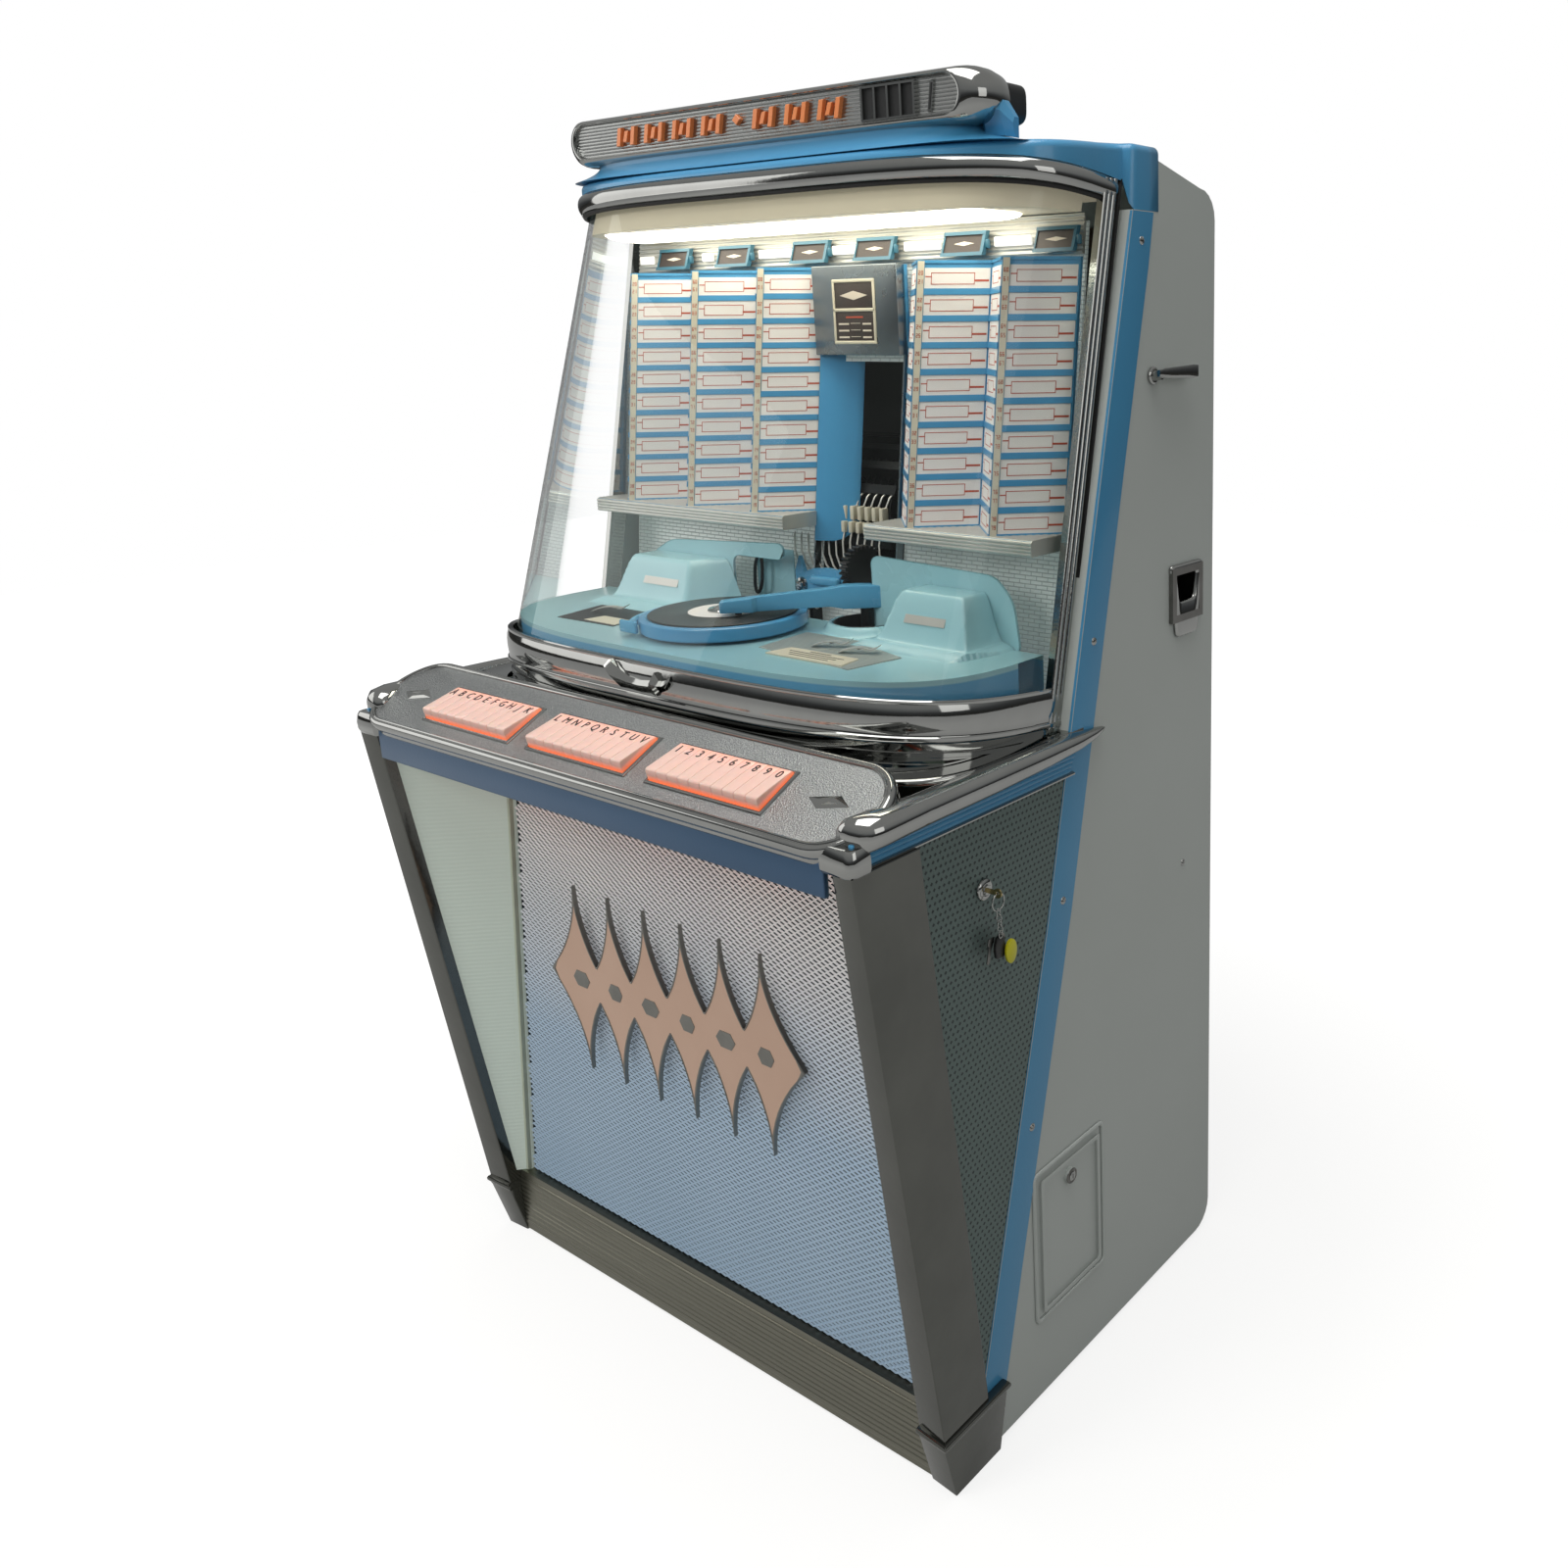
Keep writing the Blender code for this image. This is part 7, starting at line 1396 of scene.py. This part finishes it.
def within(polygon, x, y):
    """Distance inside a convex outline listed anticlockwise: the least distance to its edges, negative outside."""
    least = np.full(np.shape(x), 9.0)
    for (x0, y0), (x1, y1) in zip(polygon, polygon[1:] + polygon[:1]):
        long = math.hypot(x1 - x0, y1 - y0)
        least = np.minimum(least, ((x1 - x0) * (y - y0) - (y1 - y0) * (x - x0)) / long)
    return least


ENDS = [(-0.292, -0.180), (0.272, -0.178), (0.378, -0.040), (0.378, 0.050), (-0.350, 0.050)]
DECK = [(-0.270, -0.163), (0.250, -0.160), (0.264, -0.150), (0.330, -0.052), (0.344, 0.000), (0.344, 0.050),
        (-0.322, 0.050)]
WELL, TABLE = (0.122, 0.017), (-0.025, -0.075)
TRAY_REAR, TRAY_FOOT, TABLE_ROOM = 0.0202, 0.8132, 0.1180


def tray_height(x, y):
    """Height of the cover: a base, two steps, the humps as capped slopes on a flared foot that stays clear of
    the turntable, and a ring about the well that falls away inside it."""
    z = 0.8812 + 0.0058 * soft_step(within(ENDS, x, y), 0.003) + 0.0082 * soft_step(within(DECK, x, y), 0.0045)
    clear = np.hypot(x - TABLE[0], y - TABLE[1]) - TABLE_ROOM
    for left, right in ((0.190, 0.328), (-0.292, -0.078)):
        flare = np.minimum(np.minimum(np.minimum(x - left + 0.026, right + 0.022 - x), y + 0.066), clear + 0.004)
        rise = np.minimum(np.minimum(np.minimum(x - left, right - x) * 2.3, (y + 0.044) * 2.1), clear * 2.3)
        z = np.maximum(z, 0.8952 + (0.0075 * soft_step(flare, 0.022) + 0.0545 * soft_step(rise, 0.060)) * (z > 0.889))
    away = np.hypot(x - WELL[0], y - WELL[1])
    ring = soft_step(0.0540 - away, 0.008) * 0.010
    z = np.where(away < 0.060, np.maximum(z, 0.8950 + ring), z)
    return np.where(away < 0.0400, np.maximum(0.9050 - (0.0400 - away) * 8, 0.8835), z)


share = np.linspace(-1, 1, 301)
x_line = 0.3836 * np.sin(share * np.pi / 2 * 0.998)
front_line = TRAY_REAR - (TRAY_REAR + 0.1990) * (1 - (abs(x_line) / 0.3840) ** LOW_POWER) ** (1 / LOW_POWER)
back_share = np.linspace(0, 1, 150)[:, None]
x_net = np.broadcast_to(x_line, (150, 301))
y_net = front_line + (TRAY_REAR - front_line) * back_share
z_net = tray_height(x_net, y_net)
skirt_front = np.stack([x_net[0], y_net[0], np.full(301, TRAY_FOOT)], -1)
skirt_back = np.stack([x_net[-1], y_net[-1], np.full(301, TRAY_FOOT)], -1)
tray_net = np.concatenate([skirt_front[None], np.stack([x_net, y_net, z_net], -1), skirt_back[None]])
tray_paint, tree, out = blank("aqua_and_blue_enamel")
place = add(tree, "TexCoord").outputs["Object"]
rise = add(tree, "SeparateXYZ", {0: place}).outputs["Z"]
edge = add(tree, "MapRange", {"Value": rise, "From Min": 0.8884, "From Max": 0.8900})
patches = add(tree, "TexNoise", {"Vector": place, "Scale": 6.0, "Detail": 3.0})
aqua_tone = add(tree, "Mix", {"Factor": patches.outputs["Fac"], 6: linear("#A6D2D8"), 7: linear("#98C6CE")},
                data_type="RGBA")
blue_tone = add(tree, "Mix", {"Factor": patches.outputs["Fac"], 6: linear("#6DB0D3"), 7: linear("#5FA4CA")},
                data_type="RGBA")
tone = add(tree, "Mix", {"Factor": edge.outputs[0], 6: blue_tone.outputs[2], 7: aqua_tone.outputs[2]},
           data_type="RGBA")
fine = add(tree, "TexNoise", {"Vector": place, "Scale": 300.0})
relief = add(tree, "Bump", {"Height": fine.outputs["Fac"], "Strength": 0.3, "Distance": 0.0002})
shader = add(tree, "BsdfPrincipled",
             {"Base Color": tone.outputs[2], "Roughness": 0.24, "Normal": relief.outputs[0], "Coat Weight": 0.3})
tree.links.new(shader.outputs[0], out.inputs["Surface"])
cover = surface("mechanism_cover", tray_net, tray_paint, caps=False, sharp=55)
keep([cover], "cabinet", "mechanism_tray")
well_floor = turned("well_floor", [(0.0, 0.0), (0.0385, 0.0), (0.0385, 0.002), (0.0, 0.002)],
                    (WELL[0], WELL[1], 0.8830), (0, 0, 1), black_plastic)
well_liner = turned("well_liner",
                    [(0.0350, 0.8840), (0.0387, 0.9049), (0.0395, 0.9055), (0.0400, 0.9049), (0.0362, 0.8836)],
                    (WELL[0], WELL[1], 0.0), (0, 0, 1), black_plastic)
keep([well_floor, well_liner], "cabinet")
aqua_enamel = sprayed("aqua_enamel", "#A2CFD6", "#94C3CB", 0.26, patch=6.0)
keep([slab("rear_board_inner", (-0.1140, 0.0556, 0.8890), (-0.0440, 0.0580, 0.9700), aqua_enamel, 0.0008)],
     "cabinet")
for label, corners in (("right",
                        [(0.128, 0.8900), (0.352, 0.8900), (0.343, 0.9500), (0.318, 0.9765), (0.128, 0.9840)]),
                        ("left", [(-0.300, 0.8900), (-0.118, 0.8900), (-0.118, 0.9640), (-0.022, 0.9640),
                        (-0.022, 0.9850), (-0.240, 0.9740), (-0.282, 0.9520)])):
    ring = round_corners(corners, 0.014, 6)
    rows = [np.column_stack([ring[:, 0], np.full(len(ring), y), ring[:, 1]])
            for y in (0.0212, 0.0205, 0.0228, 0.0240)]
    rows[0] = rows[0] + np.column_stack([np.zeros(len(ring)), np.zeros(len(ring)), -0.0008 * (ring[:, 1] > 0.93)])
    keep([surface("rear_board_" + label, rows, aqua_enamel, wrap_columns=True, caps=True, sharp=40)], "cabinet")

# Deck fittings: a ribbed aluminium plate with two bent spring clips and a cream card at the
# right, a dark plate with a card and one clip at the left. The script badges are left off:
# plain aluminium bars stand on the humps in their place.
deck_aluminium, tree, out = blank("ribbed_deck_aluminium_painted_groove_shade")
place = add(tree, "TexCoord").outputs["Object"]
across_y = add(tree, "SeparateXYZ", {0: place}).outputs["Y"]
lines = add(tree, "Math", {0: add(tree, "Math", {0: across_y, 1: 1 / 0.0042}, operation="MULTIPLY").outputs[0]},
            operation="FRACT")
groove = add(tree, "MapRange", {"Value": lines.outputs[0], "From Min": 0.0, "From Max": 0.35})
# Painted shade: the plate is darker along the groove of each rib.
tone = add(tree, "Mix", {"Factor": groove.outputs[0], 6: linear("#8C9490"), 7: linear("#A9B0AB")}, data_type="RGBA")
relief = add(tree, "Bump", {"Height": groove.outputs[0], "Strength": 0.6, "Distance": 0.0006})
shader = add(tree, "BsdfPrincipled",
             {"Base Color": tone.outputs[2], "Metallic": 0.45, "Roughness": 0.4, "Normal": relief.outputs[0]})
tree.links.new(shader.outputs[0], out.inputs["Surface"])


def laid(name, outline, low, high, material, ease=0.0006):
    """A flat plate lying on the deck: its outline in X and Y, with a small bevel at its top edge."""
    outline = np.array(outline, float)
    middle = outline.mean(0)
    small = middle + (outline - middle) * (1 - ease / abs(outline - middle).max())
    rows = [np.column_stack([ring, np.full(len(ring), z)]) for ring,
            z in ((outline, low), (outline, high - ease), (small, high))]
    return surface(name, rows, material, wrap_columns=True, caps=True, sharp=20)


deck_pieces = [laid("deck_plate_right",
                    [(0.088, -0.122), (0.250, -0.143), (0.262, -0.074), (0.196, -0.054), (0.176, -0.040),
                     (0.078, -0.040)], 0.8945, 0.8962, deck_aluminium),
               laid("deck_plate_left", [(-0.258, -0.145), (-0.150, -0.142), (-0.158, -0.068), (-0.276, -0.068)],
                    0.8945, 0.8960, dark_steel)]
price_card = laid("deck_card_right", [(0.118, -0.1385), (0.236, -0.1385), (0.229, -0.1060), (0.124, -0.1060)],
                  0.8955, 0.8972, column_paper)
maker_card = laid("deck_card_left", [(-0.212, -0.1385), (-0.152, -0.1385), (-0.158, -0.1120), (-0.208, -0.1120)],
                  0.8955, 0.8968, column_paper)
keep(deck_pieces + [price_card, maker_card], "cabinet")
card_lines = []
for row in range(4):
    half = (0.016, 0.042, 0.036, 0.030)[row]
    y = -0.1125 - row * 0.0062
    card_lines.append(laid("deck_card_line_%d" % row,
                           [(0.177 - half, y), (0.177 + half, y), (0.177 + half, y + 0.0016),
                            (0.177 - half, y + 0.0016)], 0.8968, 0.8974, dark, 0.0001))
keep(card_lines, "cabinet")
share = np.linspace(0, 1, 22)
for index, (x, y, turn_by) in enumerate(((0.160, -0.078, 0.45), (0.208, -0.083, 0.45), (-0.226, -0.090, 0.5))):
    along = np.column_stack([share * 0.046,
            0.0010 + 0.0050 * np.sin(share * np.pi) + 0.0070 * np.clip((share - 0.75) / 0.25, 0, 1) ** 2])
    wide = 0.0062 - 0.0014 * np.sin(share * np.pi)
    way, side = np.array([math.cos(turn_by), math.sin(turn_by)]), np.array([-math.sin(turn_by), math.cos(turn_by)])
    middle = np.array([x, y]) + (along[:, :1] - 0.023) * way
    rings = []
    for k in range(22):
        ends = [middle[k] + side * wide[k], middle[k] - side * wide[k]]
        z = 0.8962 + along[k, 1]
        rings.append([(*ends[0], z), (*ends[1], z), (*ends[1], z + 0.0010), (*ends[0], z + 0.0010)])
    clip = surface("deck_clip_%d" % index, rings, bright_aluminium, wrap_columns=True, caps=True, sharp=50)
    keep([clip, turned("deck_clip_screw_%d" % index, [(0.0, 0.0), (0.0026, 0.0), (0.0024, 0.0010), (0.0, 0.0014)],
                       (x, y, 0.9005), (0, 0, 1), chrome, 16)], "cabinet")
for index, (x, half) in enumerate(((0.258, 0.030), (-0.200, 0.034))):
    bar = [(x - half, 0.9240), (x + half, 0.9240), (x + half, 0.9330), (x - half, 0.9330)]
    rows = [[(a, -0.0302 + (b - 0.9240) * 0.50 - d, b) for a, b in bar] for d in (-0.002, 0.0030)]
    keep([surface("hump_bar_%d" % index, rows, bright_aluminium, wrap_columns=True, caps=True, sharp=20)],
         "cabinet")

# Turntable: a blue cast platter, the black record lying on it with its fine grooves, a cream
# label and a chrome hub.
platter = turned("platter", [(0.0, 0.8982), (0.0900, 0.8982), (0.0955, 0.8990), (0.0975, 0.9010), (0.0979, 0.9060),
        (0.0979, 0.9110), (0.0972, 0.9140), (0.0950, 0.9152), (0.0900, 0.9156), (0.0885, 0.9146), (0.0, 0.9146)],
        (*TABLE, 0.0), (0, 0, 1), blue_enamel, 96)
vinyl, tree, out = blank("grooved_black_vinyl")
place = add(tree, "TexCoord").outputs["Object"]
split = add(tree, "SeparateXYZ", {0: place})
dx = add(tree, "Math", {0: split.outputs["X"], 1: TABLE[0]}, operation="SUBTRACT")
dy = add(tree, "Math", {0: split.outputs["Y"], 1: TABLE[1]}, operation="SUBTRACT")
squares = add(tree, "Math", {0: dx.outputs[0], 1: dx.outputs[0],
        2: add(tree, "Math", {0: dy.outputs[0], 1: dy.outputs[0]}, operation="MULTIPLY").outputs[0]},
        operation="MULTIPLY_ADD")
away = add(tree, "Math", {0: squares.outputs[0]}, operation="SQRT")
groove = add(tree, "Math", {0: add(tree, "Math", {0: away.outputs[0], 1: 5200.0}, operation="MULTIPLY").outputs[0]},
             operation="SINE")
relief = add(tree, "Bump", {"Height": groove.outputs[0], "Strength": 0.35, "Distance": 0.0003})
shader = add(tree, "BsdfPrincipled",
             {"Base Color": linear("#161514"), "Roughness": 0.28, "Normal": relief.outputs[0], "Anisotropic": 0.4})
tree.links.new(shader.outputs[0], out.inputs["Surface"])
record = turned("record_disc",
                [(0.0, 0.9150), (0.0868, 0.9150), (0.0875, 0.9157), (0.0875, 0.9165), (0.0866, 0.9172),
                 (0.0450, 0.9170), (0.0440, 0.9174), (0.0, 0.9174)], (*TABLE, 0.0), (0, 0, 1), vinyl, 96)
label = turned("record_label", [(0.0, 0.9170), (0.0415, 0.9170), (0.0415, 0.9177), (0.0, 0.9178)], (*TABLE, 0.0),
               (0, 0, 1), card_paper, 64)
hub_cap = turned("table_hub", [(0.0, 0.9172), (0.0190, 0.9172), (0.0190, 0.9190), (0.0178, 0.9204),
        (0.0120, 0.9212), (0.0080, 0.9236), (0.0058, 0.9239), (0.0, 0.9239)], (*TABLE, 0.0), (0, 0, 1), chrome, 48)
keep([platter, record, label, hub_cap], "turntable", "turntable")

# Gripper bow: a blue casting that runs round the platter from its axle and ends in a square
# block at the front.
turns = np.radians(np.concatenate([np.linspace(96, 110, 5), np.linspace(116, 240, 44)]))
bow_rings = []
for turn_at in turns:
    lift = 0.004 * max(0.0, 1 - (math.degrees(turn_at) - 96) / 40)
    section = round_corners([(0.1012, 0.9015), (0.1108, 0.9015), (0.1108, 0.9105 + lift), (0.1012, 0.9105 + lift)],
                            0.0028, 4)
    bow_rings.append(np.column_stack([TABLE[0] + section[:, 0] * math.cos(turn_at),
            TABLE[1] + section[:, 0] * math.sin(turn_at), section[:, 1]]))
arm_blue = sprayed("arm_blue_enamel", "#5BA3C9", "#5297BD", 0.26, patch=12.0)
bow_ring = surface("gripper_bow", bow_rings, arm_blue, wrap_columns=True, caps=True, sharp=50)
end = math.radians(240)
block_x, block_y = TABLE[0] + 0.111 * math.cos(end), TABLE[1] + 0.111 * math.sin(end)
block = slab("gripper_block", (block_x - 0.0150, block_y, 0.9010), (block_x + 0.0150, block_y + 0.0050, 0.9158),
             arm_blue, 0.0020)
axle = turned("gripper_axle", [(0.0, -0.030), (0.0055, -0.030), (0.0055, 0.030), (0.0, 0.030)],
              (TABLE[0], 0.046, 0.906), (1, 0, 0), chrome, 20)
hub = turned("gripper_hub", [(0.0, -0.0235), (0.0070, -0.0235), (0.0079, -0.0225), (0.0079, 0.0225),
        (0.0070, 0.0235), (0.0, 0.0235)], (TABLE[0], 0.046, 0.906), (1, 0, 0), arm_blue, 28)
yoke = slab("gripper_yoke", (TABLE[0] - 0.0232, 0.0262, 0.9012), (TABLE[0] + 0.0232, 0.0455, 0.9108), arm_blue,
            0.0022)
keep([bow_ring, block, axle, hub, yoke], "gripper_arm", "gripper_arm")

# Tonearm: a pressed blue box arm that widens towards its pivot, with a raised pivot housing, a
# cross screw and the cartridge under its head.
PIVOT = np.array([0.122, 0.017])
reach = np.array([-0.117, -0.110])
along = reach / np.linalg.norm(reach)
square = np.array([-along[1], along[0]])
arm_rings = []
for share, half, low_z, high_z in ((-0.165, 0.0080, 0.9225, 0.9440), (-0.155, 0.0098, 0.9215, 0.9475),
        (0.10, 0.0104, 0.9213, 0.9490), (0.20, 0.0100, 0.9213, 0.9490), (0.29, 0.0090, 0.9245, 0.9465),
        (0.55, 0.0078, 0.9235, 0.9430), (0.80, 0.0070, 0.9218, 0.9395), (0.83, 0.0108, 0.9214, 0.9385),
        (1.045, 0.0092, 0.9214, 0.9350), (1.055, 0.0080, 0.9220, 0.9340)):
    middle = PIVOT + reach * share - along * 0.018 * max(0.0, 1 - share) * 0.4
    ring = round_corners([(-half, low_z), (half, low_z), (half, high_z), (-half, high_z)], 0.0016, 3)
    arm_rings.append([(*(middle + square * a), b) for a, b in ring])
arm_body = surface("tonearm_box", arm_rings, arm_blue, wrap_columns=True, caps=True, sharp=30)
screw_side = PIVOT + reach * 0.04 + square * 0.0088
tonearm_screw = turned("tonearm_screw", [(0.0, 0.0), (0.0032, 0.0), (0.0030, 0.0012), (0.0, 0.0016)],
                       (*screw_side, 0.9330), (*square, 0.0), chrome, 20)
cartridge_at = PIVOT + reach * 0.93
cartridge = turned("tonearm_cartridge", [(0.0, 0.0), (0.0042, 0.0), (0.0042, 0.0030), (0.0, 0.0030)],
                   (*cartridge_at, 0.9186), (0, 0, 1), black_plastic, 16)
shaft = turned("tonearm_post", [(0.0, 0.0), (0.0065, 0.0), (0.0065, 0.0010), (0.0, 0.0010)], (*PIVOT, 0.9205),
               (0, 0, 1), chrome, 24)
keep([arm_body, tonearm_screw, cartridge, shaft], "tonearm", "tonearm")

# Behind the deck: a blue crown-shaped bracket, a toothed black wheel and a black wire loop of
# the record changer.
crown = [(-0.040, 0.9050), (-0.042, 0.9450), (-0.034, 0.9640), (-0.026, 0.9440), (-0.008, 0.9500), (0.018, 0.9520),
         (0.034, 0.9500), (0.052, 0.9660), (0.046, 0.9380), (0.030, 0.9200), (0.026, 0.9050)]
crown_rows = [[(a, y, b) for a, b in crown] for y in (0.0560, 0.0620)]
crown_piece = surface("changer_bracket", crown_rows, arm_blue, wrap_columns=True, caps=True, sharp=30)
crown_arm = slab("changer_arm", (-0.0100, 0.0480, 0.9300), (0.0400, 0.0565, 0.9420), arm_blue, 0.003)
crown_boss = turned("changer_boss",
                    [(0.0, 0.0), (0.0100, 0.0), (0.0090, 0.0030), (0.0055, 0.0035), (0.0050, 0.0060),
                     (0.0, 0.0062)], (-0.0310, 0.0560, 0.9270), (0, -1, 0), chrome, 24)
teeth = []
for tooth in range(28):
    for turn_share, radius in ((0.0, 0.0265), (0.2, 0.0300), (0.55, 0.0300), (0.75, 0.0265)):
        spin = 2 * np.pi * (tooth + turn_share) / 28
        teeth.append((radius * math.cos(spin), radius * math.sin(spin)))
axis = np.array([0.98, -0.20, 0.0])
side = np.array([0.20, 0.98, 0.0])
wheel_rows = [[np.array([0.079, 0.056, 0.9570]) + axis * d + side * a + np.array([0, 0, b]) for a, b in teeth]
              for d in (-0.0070, 0.0070)]
wheel = surface("toothed_wheel", wheel_rows, black_plastic, wrap_columns=True, caps=True, sharp=25)
loop_at = np.linspace(0, 2 * np.pi, 40, endpoint=False)
loop_path = np.column_stack([-0.0960 + 0.0070 * np.cos(loop_at) + 0.004 * np.sin(loop_at), np.full(40, 0.0420),
        0.9370 + 0.0190 * np.sin(loop_at) + 0.006 * np.sign(np.sin(loop_at)) * abs(np.sin(loop_at)) ** 0.3])
loop = tube("changer_loop", loop_path, 0.0022, black_plastic, 8, closed=True)
keep([crown_piece, crown_arm], "cabinet")
keep([crown_boss, wheel, loop], "cabinet")

# Rear door: painted hardboard with vent slots, backed by a fine black gauze that keeps the
# light out.
vent_gauze = slab("vent_gauze", (-0.300, 0.3135, 0.060), (0.300, 0.3165, 1.340), black_plastic, 0.001)
keep([vent_gauze], "rear_door")

low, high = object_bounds()
